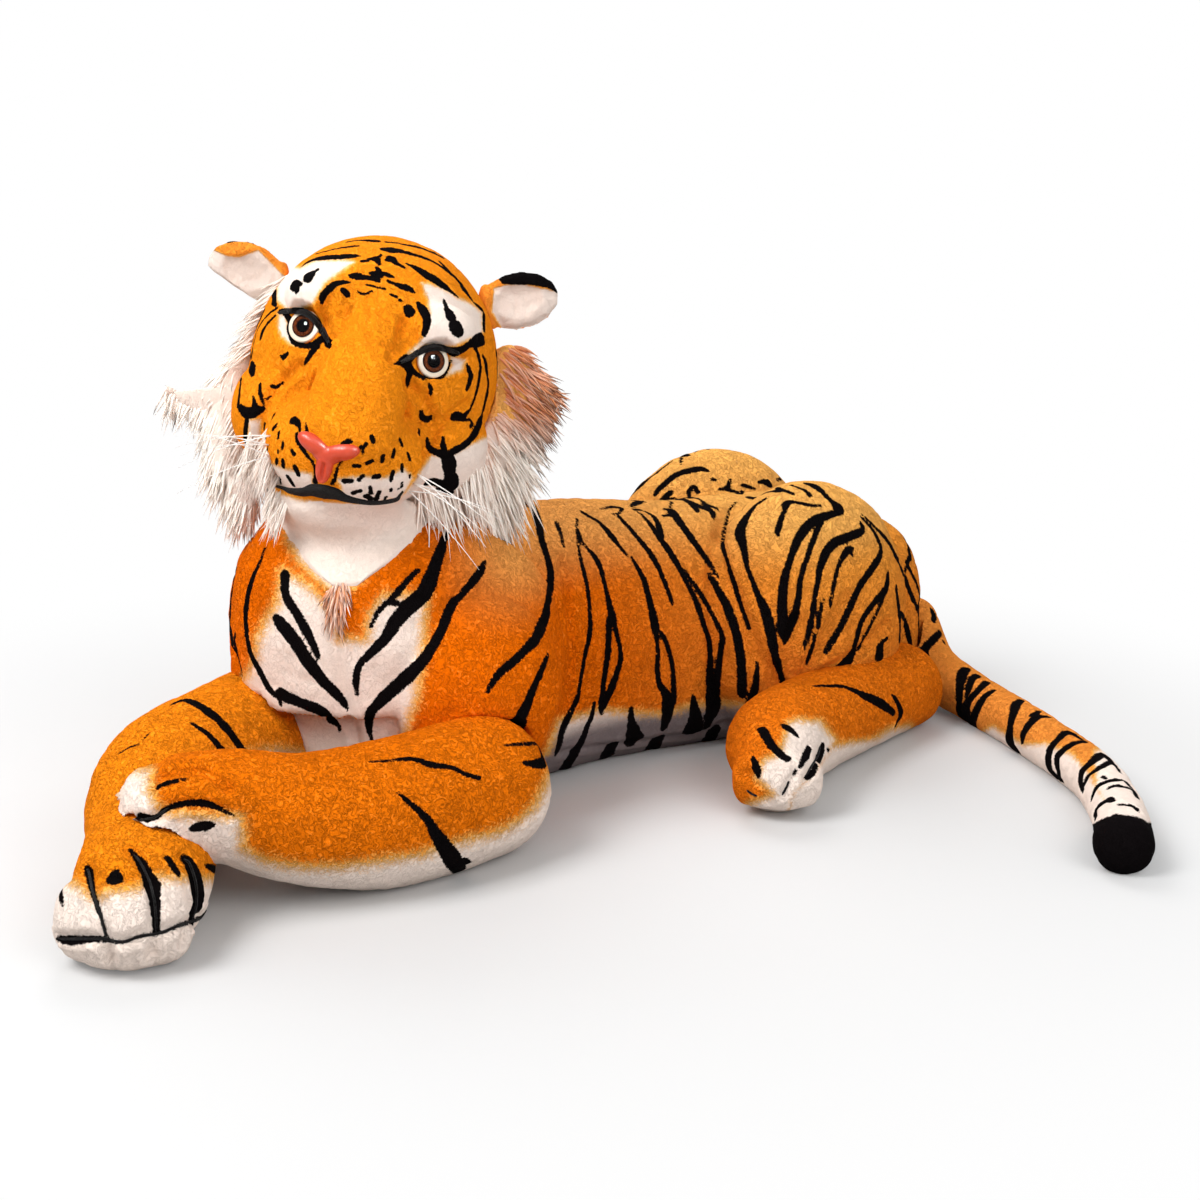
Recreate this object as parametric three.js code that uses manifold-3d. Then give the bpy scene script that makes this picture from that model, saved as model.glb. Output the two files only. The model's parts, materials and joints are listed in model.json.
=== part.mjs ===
// A large plush tiger that lies with its forelegs crossed and its head turned to its left.
// Millimetres, +Z up. It faces -Y, its own left side is +X, and it rests on the plane Z = 0.
// Every stuffed part is a plush cover, open at its seam, round a separate fibre filling.
import * as THREE from "three";
import { mergeVertices } from "three/addons/utils/BufferGeometryUtils.js";
import Module from "manifold-3d";

const wasm = await Module();
wasm.setup();

// Driving dimensions
const bodyLength = 770;
const torsoWidth = 246;
const torsoHeight = 262;
const neckRadius = 92;
const neckHeight = 334;
const headSize = 260;
const forelegGirth = 150;
const hindLegGirth = 106;
const tailGirth = 58;
const earLength = 82;
const earWidth = 58;
const earThickness = 22;
const eyeRadius = 16;
const noseWidth = 58;
const whiskerLength = 105;

// Fabric, fittings and fit
const coverWall = 5;
const fitGap = 0.4;
const turnGap = 1.6;
const swingGap = 9;
const floorSquash = 4;
const bellySquash = 9;
const bellyRoundness = 0.55;
const bellyPanelTop = 44;
const shankRadius = 4;
const washerRadius = 9;
const washerThickness = 2;
const clothSeat = 8;
const stripThickness = 1.6;
const stitchWidth = 4;
const whiskerRadius = 0.9;
const weldDistance = 0.004;
const cutReach = 1100;

// Headings and tilts, in degrees
const rad = THREE.MathUtils.degToRad;
const chestHeading = rad(36);
const headHeading = rad(65.7);
const headRoll = rad(15);
const headPitch = rad(-6);
const haunchSplay = rad(5);
const elbowLean = rad(-35.6);

// Colours
const cloth = (color) => new THREE.MeshStandardMaterial({ color, roughness: 0.95, metalness: 0 });
const plastic = (color) => new THREE.MeshStandardMaterial({ color, roughness: 0.2, metalness: 0 });
const orangePlush = 0xd98a35;
const creamPlush = 0xe6ddd6;
const blackPlush = 0x17130f;
const fibre = 0xf2f1ec;
const coralVinyl = 0xd8583c;
const amber = 0x5a3018;
const clear = 0xffffff;

const Z = new THREE.Vector3(0, 0, 1);
const vec = (x, y, z) => new THREE.Vector3(x, y, z);

// Solids
function solidOf(geometry) {
  const bare = geometry.index ? geometry.toNonIndexed() : geometry.clone();
  bare.deleteAttribute("normal");
  bare.deleteAttribute("uv");
  const merged = mergeVertices(bare, weldDistance);
  const triVerts = new Uint32Array(merged.index.array);
  return new wasm.Manifold(
    new wasm.Mesh({ numProp: 3, vertProperties: merged.attributes.position.array, triVerts }),
  );
}

const union = (solids) => solids.reduce((sum, next) => sum.add(next));
const largest = (solid) => solid.decompose().sort((a, b) => b.volume() - a.volume())[0];
const moved = (solid, matrix) => solid.transform(matrix.toArray());

function meshOf(name, solid, material) {
  const { numProp, numVert, vertProperties, triVerts } = largest(solid).getMesh();
  const position = new Float32Array(numVert * 3);
  for (let i = 0; i < numVert; i++) {
    position.set(vertProperties.subarray(i * numProp, i * numProp + 3), i * 3);
  }
  const geometry = new THREE.BufferGeometry();
  geometry.setAttribute("position", new THREE.BufferAttribute(position, 3));
  geometry.setIndex(new THREE.BufferAttribute(triVerts, 1));
  geometry.computeVertexNormals();
  const mesh = new THREE.Mesh(geometry, material);
  mesh.name = name;
  return mesh;
}

function box(from, to) {
  const size = to.clone().sub(from);
  const middle = to.clone().add(from).multiplyScalar(0.5);
  return solidOf(new THREE.BoxGeometry(size.x, size.y, size.z).translate(middle.x, middle.y, middle.z));
}

function ellipsoid(centre, radii, grow, [around, tall], turn = new THREE.Euler()) {
  const geometry = new THREE.SphereGeometry(1, around, tall);
  geometry.rotateX(Math.PI / 2);
  geometry.scale(radii.x + grow, radii.y + grow, radii.z + grow);
  geometry.applyMatrix4(new THREE.Matrix4().makeRotationFromEuler(turn));
  return solidOf(geometry.translate(centre.x, centre.y, centre.z));
}

const ball = (centre, radius, grow, detail) => ellipsoid(centre, vec(radius, radius, radius), grow, detail);

// A form that turns round its own upright axis needs a socket whose flats clear its corners.
const socketScale = (sides) => 1 / Math.cos(Math.PI / sides);
function socket(centre, radii, spare, detail, turn) {
  const scale = socketScale(detail[0]);
  return ellipsoid(centre, radii.clone().multiply(vec(scale, scale, 1)), spare, detail, turn);
}

// A cylinder or cone from one point to another.
function rod(from, to, startRadius, endRadius, sides) {
  const geometry = new THREE.CylinderGeometry(endRadius, startRadius, from.distanceTo(to), sides);
  const along = to.clone().sub(from).normalize();
  geometry.applyQuaternion(new THREE.Quaternion().setFromUnitVectors(vec(0, 1, 0), along));
  const middle = from.clone().add(to).multiplyScalar(0.5);
  return solidOf(geometry.translate(middle.x, middle.y, middle.z));
}

// A round form that swells and tapers along rows of { at, wide, high, low }, with rounded ends.
// A lower half with a roundness under 1 is boxier, as on a belly that lies on the floor.
function loft(rows, grow, around, options = {}) {
  const { perSpan = 2, capRings = 2, capShare = 0.85, roundness = 1, upright = Z } = options;
  const path = new THREE.CatmullRomCurve3(rows.map((row) => row.at));
  const sizes = new THREE.CatmullRomCurve3(rows.map((row) => vec(row.wide, row.high, row.low ?? row.high)));
  const spans = (rows.length - 1) * perSpan;
  const rings = [];
  for (let i = 0; i <= spans; i++) {
    const along = path.getTangent(i / spans);
    const size = sizes.getPoint(i / spans).addScalar(grow);
    rings.push({ at: path.getPoint(i / spans), along, wide: size.x, high: size.y, low: size.z });
  }
  const reachOf = (ring) => capShare * Math.min(ring.wide, ring.high);
  const cap = (ring, way) =>
    Array.from({ length: capRings }, (_, k) => {
      const angle = ((k + 1) / (capRings + 1)) * (Math.PI / 2);
      const at = ring.at.clone().addScaledVector(ring.along, way * reachOf(ring) * Math.sin(angle));
      const [wide, high, low] = [ring.wide, ring.high, ring.low].map((size) => size * Math.cos(angle));
      return { at, along: ring.along, wide, high, low };
    });
  const pole = (ring, way) => ring.at.clone().addScaledVector(ring.along, way * reachOf(ring));
  const first = rings[0];
  const last = rings[rings.length - 1];
  const all = [...cap(first, -1).reverse(), ...rings, ...cap(last, 1)];
  const points = [pole(first, -1), pole(last, 1)];
  for (const { at, along, wide, high, low } of all) {
    const side = new THREE.Vector3().crossVectors(along, upright).normalize();
    const up = new THREE.Vector3().crossVectors(side, along).normalize();
    for (let j = 0; j < around; j++) {
      const angle = (j / around) * 2 * Math.PI;
      const bend = Math.sin(angle) < 0 ? roundness : 1;
      const across = Math.sign(Math.cos(angle)) * Math.abs(Math.cos(angle)) ** bend;
      const rise = Math.sin(angle) < 0 ? -low * Math.abs(Math.sin(angle)) ** bend : high * Math.sin(angle);
      points.push(at.clone().addScaledVector(side, wide * across).addScaledVector(up, rise));
    }
  }
  const corner = (ring, j) => 2 + ring * around + (j % around);
  const faces = [];
  for (let j = 0; j < around; j++) {
    faces.push(0, corner(0, j), corner(0, j + 1));
    faces.push(1, corner(all.length - 1, j + 1), corner(all.length - 1, j));
    for (let i = 0; i + 1 < all.length; i++) {
      faces.push(corner(i, j), corner(i + 1, j), corner(i + 1, j + 1));
      faces.push(corner(i, j), corner(i + 1, j + 1), corner(i, j + 1));
    }
  }
  const geometry = new THREE.BufferGeometry().setFromPoints(points);
  geometry.setIndex(faces);
  const solid = solidOf(geometry);
  if (solid.volume() > 0) return solid;
  geometry.setIndex(faces.map((_, k) => faces[k - (k % 3) + 2 - (k % 3)]));
  return solidOf(geometry);
}

const belowFloor = box(vec(-cutReach, -cutReach, -cutReach), vec(cutReach, cutReach, 0));
const floorFilling = box(vec(-cutReach, -cutReach, -cutReach), vec(cutReach, cutReach, coverWall + fitGap));
const floorHollow = box(vec(-cutReach, -cutReach, -cutReach), vec(cutReach, cutReach, coverWall));

// A stuffed part from form(grow, level): its outside, the hollow of its cover and its filling.
function stuffed(form, fine, plain) {
  return {
    form,
    fine,
    outside: (grow = 0) => form(grow, fine).subtract(belowFloor),
    hollow: () => form(-coverWall, plain).subtract(floorHollow),
    filling: () => form(-coverWall - fitGap, plain).subtract(floorFilling),
  };
}

// Cover and filling of a stuffed part. Seams are solids that leave both open where it is sewn on,
// and dents are forms that press into the outside, which the cover follows with its full wall.
function sewn(part, { seams = [], dents = [], openings = [], within = null }) {
  const cut = (solid, cutters) => cutters.reduce((left, cutter) => left.subtract(cutter), solid);
  const kept = (solid) => cut(within ? solid.intersect(within) : solid, seams);
  const dented = (solid, depth) => cut(solid, dents.map((dent) => dent(depth)));
  const outside = kept(dented(part.outside(), 0));
  const cover = cut(outside.subtract(dented(part.hollow(), coverWall)), openings);
  const filling = kept(dented(part.filling(), coverWall + fitGap));
  return { outside, cover, filling };
}

// A thin layer that lies on a form, kept only where it meets the solids that shape it.
function layer(part, thickness, shape) {
  const over = part.form(fitGap + thickness, part.fine);
  return over.subtract(part.form(fitGap, part.fine)).intersect(shape).subtract(belowFloor);
}

// Everything ahead of a plane.
function ahead(point, direction) {
  const turn = new THREE.Quaternion().setFromUnitVectors(Z, direction.clone().normalize());
  const place = new THREE.Matrix4().compose(point, turn, vec(1, 1, 1));
  return moved(box(vec(-cutReach, -cutReach, 0), vec(cutReach, cutReach, cutReach)), place);
}

// Torso rows: along and side as shares of bodyLength, centre height, half width and half height
const torsoShares = [
  [0.425, 0.0, 0.5, 0.6, 0.7],
  [0.34, 0.0, 0.49, 0.92, 0.96],
  [0.22, 0.0, 0.5, 1.0, 1.0],
  [0.08, 0.0, 0.5, 0.97, 1.0],
  [-0.08, 0.006, 0.515, 1.0, 1.07],
  [-0.22, 0.035, 0.53, 1.06, 1.08],
  [-0.34, 0.085, 0.54, 1.1, 1.06],
  [-0.43, 0.15, 0.56, 0.9, 0.92],
];
const torsoRows = torsoShares.map(([along, side, centre, wide, high]) => ({
  at: vec(side * bodyLength, along * bodyLength, centre * torsoHeight),
  wide: (wide * torsoWidth) / 2,
  high: (high * torsoHeight) / 2,
  low: centre * torsoHeight + bellySquash,
}));

// Round masses on the torso: a place and half sizes, as shares of bodyLength, torsoWidth and torsoHeight
const haunchPlaceShare = vec(0.142, 0.228, 0.56);
const haunchSizeShare = vec(0.32, 0.172, 0.57);
const leftShoulderPlaceShare = vec(0.185, -0.3, 0.56);
const upperArmPlaceShare = vec(0.275, -0.34, 0.55);
const upperArmSizeShare = vec(0.29, 0.115, 0.36);
const rightShoulderPlaceShare = vec(-0.012, -0.44, 0.54);
const shoulderSizeShare = vec(0.35, 0.125, 0.51);
const placeOf = ({ x, y, z }, side = 1) => vec(side * x * bodyLength, y * bodyLength, z * torsoHeight);
const sizeOf = (share) => vec(share.x * torsoWidth, share.y * bodyLength, share.z * torsoHeight);

// The neck is turned round the axis that the head turns on.
const neckPlaceShare = vec(0.114, -0.416, 0);
const neckAt = placeOf(neckPlaceShare);
const neckProfileShares = [
  [0, 1],
  [0.52, 1],
  [0.95, 0.93],
  [1.25, 0.86],
  [1.5, 0.76],
  [1.62, 0.6],
];
const neckFoot = torsoHeight / 2;

function neckForm(grow, around, rise = grow, scale = 1) {
  const out = (r) => (r > 0 ? r * neckRadius * scale + grow : 0);
  const rim = neckProfileShares.map(([r, z]) => new THREE.Vector2(out(r), z * neckHeight + rise));
  const profile = [new THREE.Vector2(0, neckFoot)];
  profile.push(new THREE.Vector2(rim[rim.length - 1].x, neckFoot));
  profile.push(...rim.reverse());
  const geometry = new THREE.LatheGeometry(profile, around);
  geometry.rotateX(Math.PI / 2);
  return solidOf(geometry.translate(neckAt.x, neckAt.y, 0));
}

const torso = stuffed(
  (grow, level) =>
    union([
      loft(torsoRows, grow, level.around, { perSpan: level.perSpan, roundness: bellyRoundness }),
      ...[1, -1].map((side) => {
        const turn = new THREE.Euler(0, 0, side * haunchSplay);
        return ellipsoid(placeOf(haunchPlaceShare, side), sizeOf(haunchSizeShare), grow, level.ball, turn);
      }),
      ...[leftShoulderPlaceShare, rightShoulderPlaceShare].map((share) => {
        const turn = new THREE.Euler(0, 0, chestHeading);
        return ellipsoid(placeOf(share), sizeOf(shoulderSizeShare), grow, level.ball, turn);
      }),
      ellipsoid(placeOf(upperArmPlaceShare), sizeOf(upperArmSizeShare), grow, level.ball),
      neckForm(grow, level.neck),
    ]),
  { around: 14, perSpan: 1, ball: [12, 8], neck: 12 },
  { around: 10, perSpan: 1, ball: [8, 5], neck: 7 },
);

// Limb rows: side and along as shares of bodyLength, radius and lift off the floor as shares of the girth
const limbRows = (shares, girth, side = 1) =>
  shares.map(([x, y, radius, lift, tall = 1]) => ({
    at: vec(side * x * bodyLength, y * bodyLength, radius * tall * girth + lift * girth - floorSquash),
    wide: radius * girth,
    high: radius * tall * girth,
  }));

const leftForelegShares = [
  [0.365, -0.365, 0.47, 0],
  [0.395, -0.44, 0.47, 0],
  [0.41, -0.53, 0.46, 0.01],
  [0.415, -0.62, 0.4, 0.14],
  [0.41, -0.7, 0.35, 0.32],
  [0.4, -0.755, 0.37, 0.38, 0.85],
];
const rightForelegShares = [
  [0.02, -0.47, 0.52, 0],
  [0.12, -0.605, 0.48, 0.06],
  [0.245, -0.735, 0.47, 0.06],
  [0.365, -0.785, 0.4, 0],
  [0.45, -0.815, 0.4, 0, 0.9],
  [0.485, -0.835, 0.38, 0, 0.85],
];
const hindLegShares = [
  [0.15, 0.41, 0.47, 0],
  [0.195, 0.315, 0.49, 0],
  [0.265, 0.18, 0.51, 0],
  [0.325, 0.09, 0.52, 0],
  [0.36, 0.065, 0.48, 0],
  [0.395, 0.045, 0.42, 0, 1.05],
];

// Toes: across, ahead and up from the last row, and half sizes, as shares of the paw radius
const toeShares = [
  [-0.69, 0.42, -0.1, 0.36, 0.5, 0.62],
  [-0.24, 0.66, -0.06, 0.36, 0.54, 0.68],
  [0.24, 0.66, -0.06, 0.36, 0.54, 0.68],
  [0.69, 0.42, -0.1, 0.36, 0.5, 0.62],
];

function pawFrame(rows) {
  const end = rows[rows.length - 1];
  const along = end.at.clone().sub(rows[rows.length - 2].at).setZ(0).normalize();
  return { end, turn: new THREE.Euler(0, 0, Math.atan2(-along.x, along.y)) };
}

function toes(rows, grow, detail) {
  const { end, turn } = pawFrame(rows);
  return toeShares.map(([across, ahead, up, wide, long, high]) => {
    const centre = vec(across, ahead, up).multiplyScalar(end.wide).applyEuler(turn).add(end.at);
    return ellipsoid(centre, vec(wide, long, high).multiplyScalar(end.wide), grow, detail, turn);
  });
}

const limb = (rows) =>
  stuffed(
    (grow, level) =>
      union([
        loft(rows, grow, level.around, level),
        ...(level.toe ? toes(rows, grow, level.toe) : []),
      ]),
    { around: 10, perSpan: 1, capRings: 1, toe: [7, 5] },
    { around: 6, perSpan: 1, capRings: 1 },
  );

const leftForelegRows = limbRows(leftForelegShares, forelegGirth);
const rightForelegRows = limbRows(rightForelegShares, forelegGirth);
const leftForeleg = limb(leftForelegRows);
const rightForeleg = limb(rightForelegRows);
const leftHindRows = limbRows(hindLegShares, hindLegGirth, 1);
const rightHindRows = limbRows(hindLegShares, hindLegGirth, -1);
const leftHindLeg = limb(leftHindRows);
const rightHindLeg = limb(rightHindRows);

// Tail
const tailShares = [
  [0.015, 0.5, 0.64, 0.9],
  [0.09, 0.495, 0.56, 0.3],
  [0.182, 0.51, 0.5, 0.03],
  [0.27, 0.505, 0.48, 0],
  [0.4, 0.487, 0.47, 0],
  [0.545, 0.455, 0.46, 0],
  [0.675, 0.39, 0.47, 0],
  [0.765, 0.325, 0.5, 0],
];
const tailRows = limbRows(tailShares, tailGirth);
const tail = stuffed(
  (grow, level) => loft(tailRows, grow, level.around, { capRings: 1 }),
  { around: 9 },
  { around: 6 },
);

// Head, as shares of headSize from its middle: place, then half sizes
const headLumpShares = [
  [0, 0.04, 0.055, 0.475, 0.48, 0.515],
  [0.27, -0.08, -0.17, 0.235, 0.27, 0.24],
  [-0.25, -0.08, -0.17, 0.235, 0.27, 0.24],
  [0, -0.37, -0.24, 0.3, 0.27, 0.22],
  [0, -0.25, -0.43, 0.24, 0.24, 0.16],
  [0.21, -0.29, 0.27, 0.155, 0.115, 0.11],
  [-0.21, -0.29, 0.27, 0.155, 0.115, 0.11],
];
const headBridgeShares = [
  [0, -0.33, 0.17, 0.15, 0.13],
  [0, -0.46, -0.04, 0.175, 0.15],
  [0, -0.54, -0.18, 0.185, 0.14],
];
const headRiseShare = 0.385;
const headAt = vec(neckAt.x, neckAt.y, neckHeight + headRiseShare * headSize);
const headPlace = new THREE.Matrix4()
  .makeTranslation(headAt)
  .multiply(new THREE.Matrix4().makeRotationZ(headHeading))
  .multiply(new THREE.Matrix4().makeRotationY(headRoll))
  .multiply(new THREE.Matrix4().makeRotationX(headPitch));
const inHead = (x, y, z) => vec(x, y, z).multiplyScalar(headSize).applyMatrix4(headPlace);

const head = stuffed(
  (grow, level) => {
    const lumps = headLumpShares.slice(0, level.lumps).map(([x, y, z, wide, deep, tall]) => {
      const centre = vec(x, y, z).multiplyScalar(headSize);
      return ellipsoid(centre, vec(wide, deep, tall).multiplyScalar(headSize), grow, level.ball);
    });
    const bridge = headBridgeShares.map(([x, y, z, wide, high]) => ({
      at: vec(x, y, z).multiplyScalar(headSize),
      wide: wide * headSize,
      high: high * headSize,
    }));
    return moved(union([...lumps, loft(bridge, grow, level.bridge)]), headPlace);
  },
  { ball: [12, 8], bridge: 9, lumps: headLumpShares.length },
  { ball: [8, 6], bridge: 5, lumps: 4 },
);

// Ears: where the root sits and which way the ear stands, as shares of headSize from the head's middle
const earShares = {
  left: { root: [0.37, 0.08, 0.402], way: [0.88, -0.1, 0.44] },
  right: { root: [-0.445, 0.077, 0.28], way: [-0.96, -0.1, 0.12] },
};
const earRootRadiusShare = 0.13;
const earRootLengthShare = 0.8;
const earSpare = 0.8;
const earDishShare = vec(0.78, 1.1, 0.78);
const earDishRiseShare = 1.05;
const liningThickness = 3;
const earDetail = [10, 7];

function earPlace(side) {
  const { root, way } = earShares[side];
  const outward = vec(...way).normalize();
  const forward = vec(0, -1, 0);
  const across = new THREE.Vector3().crossVectors(forward, outward).normalize();
  const basis = new THREE.Matrix4().makeBasis(across, forward, outward);
  const place = new THREE.Matrix4().makeTranslation(vec(...root).multiplyScalar(headSize));
  return headPlace.clone().multiply(place.multiply(basis));
}

const earRootRadius = earRootRadiusShare * earLength;
const earRootSize = vec(earRootRadius, earRootRadius, (earRootLengthShare * earWidth) / 2);
const lying = new THREE.Euler(0, Math.PI / 2, 0);
const earRoot = (side) => {
  const roll = ellipsoid(vec(0, 0, 0), earRootSize, 0, earDetail, lying);
  return moved(roll, earPlace(side));
};
const earSocket = (side) => {
  const room = socket(vec(0, 0, 0), earRootSize, earSpare, earDetail, lying);
  return moved(room, earPlace(side));
};

function ear(side) {
  const place = earPlace(side);
  const half = vec(earWidth / 2, earThickness / 2, earLength / 2);
  const middle = vec(0, 0, half.z - earRootRadius);
  const dishAt = middle.clone().add(vec(0, earDishRiseShare * half.y, 0));
  const dishSize = half.clone().multiply(earDishShare);
  const blade = ellipsoid(middle, half, 0, earDetail);
  const dish = (grow, lift) => ellipsoid(dishAt.clone().add(vec(0, lift, 0)), dishSize, grow, earDetail);
  const lining = blade.intersect(dish(-fitGap, 0)).subtract(dish(-fitGap, liningThickness));
  return {
    back: moved(blade, place).add(earRoot(side)).subtract(moved(dish(0, 0), place)),
    lining: moved(lining, place),
  };
}

// Frames of the fittings on the face: a point as a share of headSize and the way it faces
function facing(point, way) {
  const outward = vec(...way).normalize();
  const right = new THREE.Vector3().crossVectors(Z, outward).normalize();
  const up = new THREE.Vector3().crossVectors(outward, right);
  const place = new THREE.Matrix4().makeTranslation(vec(...point).multiplyScalar(headSize));
  return headPlace.clone().multiply(place.multiply(new THREE.Matrix4().makeBasis(right, up, outward)));
}
const facePlaceShares = {
  left_eye: { point: [0.222, -0.35, 0.162], way: [0.42, -1, 0.2] },
  right_eye: { point: [-0.26, -0.33, 0.164], way: [-0.42, -1, 0.2] },
  nose: { point: [-0.05, -0.648, -0.232], way: [-0.12, -1, -0.25] },
};
const facePlace = (name) => facing(facePlaceShares[name].point, facePlaceShares[name].way);
const upright = (from, to, radius, sides) => rod(vec(0, 0, from), vec(0, 0, to), radius, radius, sides);
const fittingSides = 14;
const shankSides = 6;

const washerTop = -clothSeat - fitGap;
const washerFoot = washerTop - washerThickness;
const shankFoot = washerFoot - washerThickness;
const shank = (top) => upright(shankFoot, top, shankRadius, shankSides);
const washer = (place) => {
  const disc = upright(washerFoot, washerTop, washerRadius, fittingSides);
  return moved(disc.subtract(upright(shankFoot, 0, shankRadius + fitGap, shankSides)), place);
};
const washerRoomShare = 2;
const padRadius = washerRadius + clothSeat / 2;
const clothPad = (place, spare = 0) =>
  moved(upright(-clothSeat - spare, coverWall, padRadius + spare, fittingSides), place);
const shankHole = (place) => moved(upright(shankFoot, coverWall, shankRadius + fitGap, shankSides), place);
const washerRoom = (place, spare) => {
  const foot = shankFoot - washerRoomShare * washerThickness - spare;
  const radius = washerRadius + washerThickness + spare;
  return moved(upright(foot, -clothSeat + spare, radius, fittingSides), place);
};

// Eyes: a pale cup with the shank, an iris disc and a clear lens over both
const cupThickness = 3.2;
const irisRadiusShare = 0.7;
const irisThickness = 1.2;
const lensRadiusShare = 0.94;
const lensHeightShare = 0.36;
const lensDetail = [fittingSides, 6];
const cupTop = fitGap + cupThickness;
const irisFoot = cupTop + fitGap;
const irisTop = irisFoot + irisThickness;

function eye(place) {
  const cup = upright(fitGap, cupTop, eyeRadius, fittingSides).add(shank(cupTop / 2));
  const iris = upright(irisFoot, irisTop, irisRadiusShare * eyeRadius, fittingSides);
  const lensSize = vec(lensRadiusShare, lensRadiusShare, lensHeightShare).multiplyScalar(eyeRadius);
  const lens = ellipsoid(vec(0, 0, irisFoot), lensSize, 0, lensDetail)
    .intersect(box(vec(-cutReach, -cutReach, irisFoot), vec(cutReach, cutReach, cutReach)))
    .subtract(upright(0, irisTop + fitGap, irisRadiusShare * eyeRadius + fitGap, fittingSides));
  return { cup: moved(cup, place), iris: moved(iris, place), lens: moved(lens, place) };
}
const eyeClearance = (place) => moved(upright(0, eyeRadius, eyeRadius + fitGap, fittingSides), place);

// Nose: two arms and a stem with a slit, as shares of noseWidth: place, half sizes and turn in degrees
const noseLobeShares = [
  [0.22, 0.07, -0.02, 0.31, 0.15, 0.13, 20],
  [-0.22, 0.07, -0.02, 0.31, 0.15, 0.13, -20],
  [0, -0.22, -0.02, 0.14, 0.32, 0.13, 0],
];
const noseDetail = [10, 6];
const noseSlitShare = vec(0.018, 0.17, 0.1);
const noseSlitPlaceShare = vec(0, -0.32, 0.1);

function nose(place, headOutside) {
  const lobes = noseLobeShares.map(([x, y, z, wide, tall, deep, turn]) => {
    const size = vec(wide, tall, deep).multiplyScalar(noseWidth);
    const centre = vec(x, y, z).multiplyScalar(noseWidth);
    return ellipsoid(centre, size, 0, noseDetail, new THREE.Euler(0, 0, rad(turn)));
  });
  const slitAt = noseSlitPlaceShare.clone().multiplyScalar(noseWidth);
  const slitSize = noseSlitShare.clone().multiplyScalar(noseWidth);
  const slit = box(slitAt.clone().sub(slitSize), slitAt.clone().add(slitSize));
  const face = moved(union(lobes).subtract(slit), place).subtract(headOutside);
  return face.add(moved(shank(coverWall / 2), place));
}

// Mouth: a thin curved strip under the nose, between two heights, as shares of headSize
const mouthShares = { from: vec(-0.26, -1, -0.435), to: vec(0.26, -0.42, -0.395) };
function mouth() {
  const from = mouthShares.from.clone().multiplyScalar(headSize);
  const to = mouthShares.to.clone().multiplyScalar(headSize);
  return layer(head, stripThickness, moved(box(from, to), headPlace));
}

// Whiskers: strands that fan out of a small pad on each side of the muzzle
const whiskerPadShare = vec(0.235, -0.46, -0.27);
const whiskerPadRadiusShare = 0.05;
const whiskerWayShares = [
  [0.9, -0.35, 0.2],
  [0.95, -0.2, 0.02],
  [0.9, -0.3, -0.18],
  [0.8, -0.1, -0.42],
  [0.7, -0.45, -0.1],
  [0.75, -0.35, -0.33],
];
const whiskerSides = 3;
const whiskerPadDetail = [8, 6];

function whiskers(side) {
  const middle = whiskerPadShare.clone().multiply(vec(side, 1, 1)).multiplyScalar(headSize);
  const start = middle.clone().applyMatrix4(headPlace);
  const patch = ball(start, whiskerPadRadiusShare * headSize, 0, whiskerPadDetail);
  const pad = layer(head, stripThickness, patch);
  const strands = whiskerWayShares.map(([x, y, z]) => {
    const tip = middle.clone().add(vec(side * x, y, z).normalize().multiplyScalar(whiskerLength));
    return rod(start, tip.applyMatrix4(headPlace), whiskerRadius, whiskerRadius / 2, whiskerSides);
  });
  return union([pad, ...strands]).subtract(head.form(fitGap, head.fine));
}

// Long-pile ruffs behind the cheeks and the tuft under the chin: place, half width and half depth
const ruffShares = {
  left: [
    [0.47, 0.14, 0.25, 0.07, 0.05],
    [0.55, 0.15, 0.12, 0.15, 0.08],
    [0.52, 0.13, -0.09, 0.14, 0.09],
    [0.5, 0.1, -0.28, 0.14, 0.09],
    [0.44, 0.04, -0.44, 0.13, 0.09],
    [0.35, -0.02, -0.56, 0.07, 0.06],
  ],
  right: [
    [-0.46, 0.12, 0.06, 0.05, 0.04],
    [-0.52, 0.12, -0.1, 0.1, 0.07],
    [-0.5, 0.1, -0.25, 0.13, 0.09],
    [-0.43, 0.05, -0.42, 0.13, 0.09],
    [-0.35, 0, -0.58, 0.07, 0.06],
  ],
};
const ruffTuftShares = { from: [-0.5, 0.12, -0.22], to: [-0.79, 0.1, -0.23], radius: 0.1 };

// The tuft where the throat meets the chest: how far out along throatWay, height, half width and half
// depth, as shares of neckRadius, and the height as a share of neckHeight
const throatTuftShares = [
  [1.315, 0.811, 0.151, 0.084],
  [1.462, 0.754, 0.142, 0.092],
  [1.556, 0.696, 0.059, 0.05],
];
const throatWay = vec(0.83, -0.55, 0).normalize();
const throatTuftRows = throatTuftShares.map(([out, up, wide, deep]) => ({
  at: neckAt.clone().addScaledVector(throatWay, out * neckRadius).setZ(up * neckHeight),
  wide: wide * neckRadius,
  high: deep * neckRadius,
}));
const longPileDetail = { perSpan: 1, capRings: 1 };
const ruffSides = 10;
const tuftSides = 8;

const pile = (rows, upright, sides) => loft(rows, 0, sides, { ...longPileDetail, upright });

function ruff(side) {
  const rows = ruffShares[side].map(([x, y, z, wide, deep]) => ({
    at: vec(x, y, z).multiplyScalar(headSize),
    wide: wide * headSize,
    high: deep * headSize,
  }));
  const fur = pile(rows, vec(0, 1, 0), ruffSides);
  if (side === "left") return moved(fur, headPlace);
  const { from, to, radius } = ruffTuftShares;
  const tuftFrom = vec(...from).multiplyScalar(headSize);
  const tuftTo = vec(...to).multiplyScalar(headSize);
  return moved(fur.add(rod(tuftFrom, tuftTo, radius * headSize, whiskerRadius, tuftSides)), headPlace);
}

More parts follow.
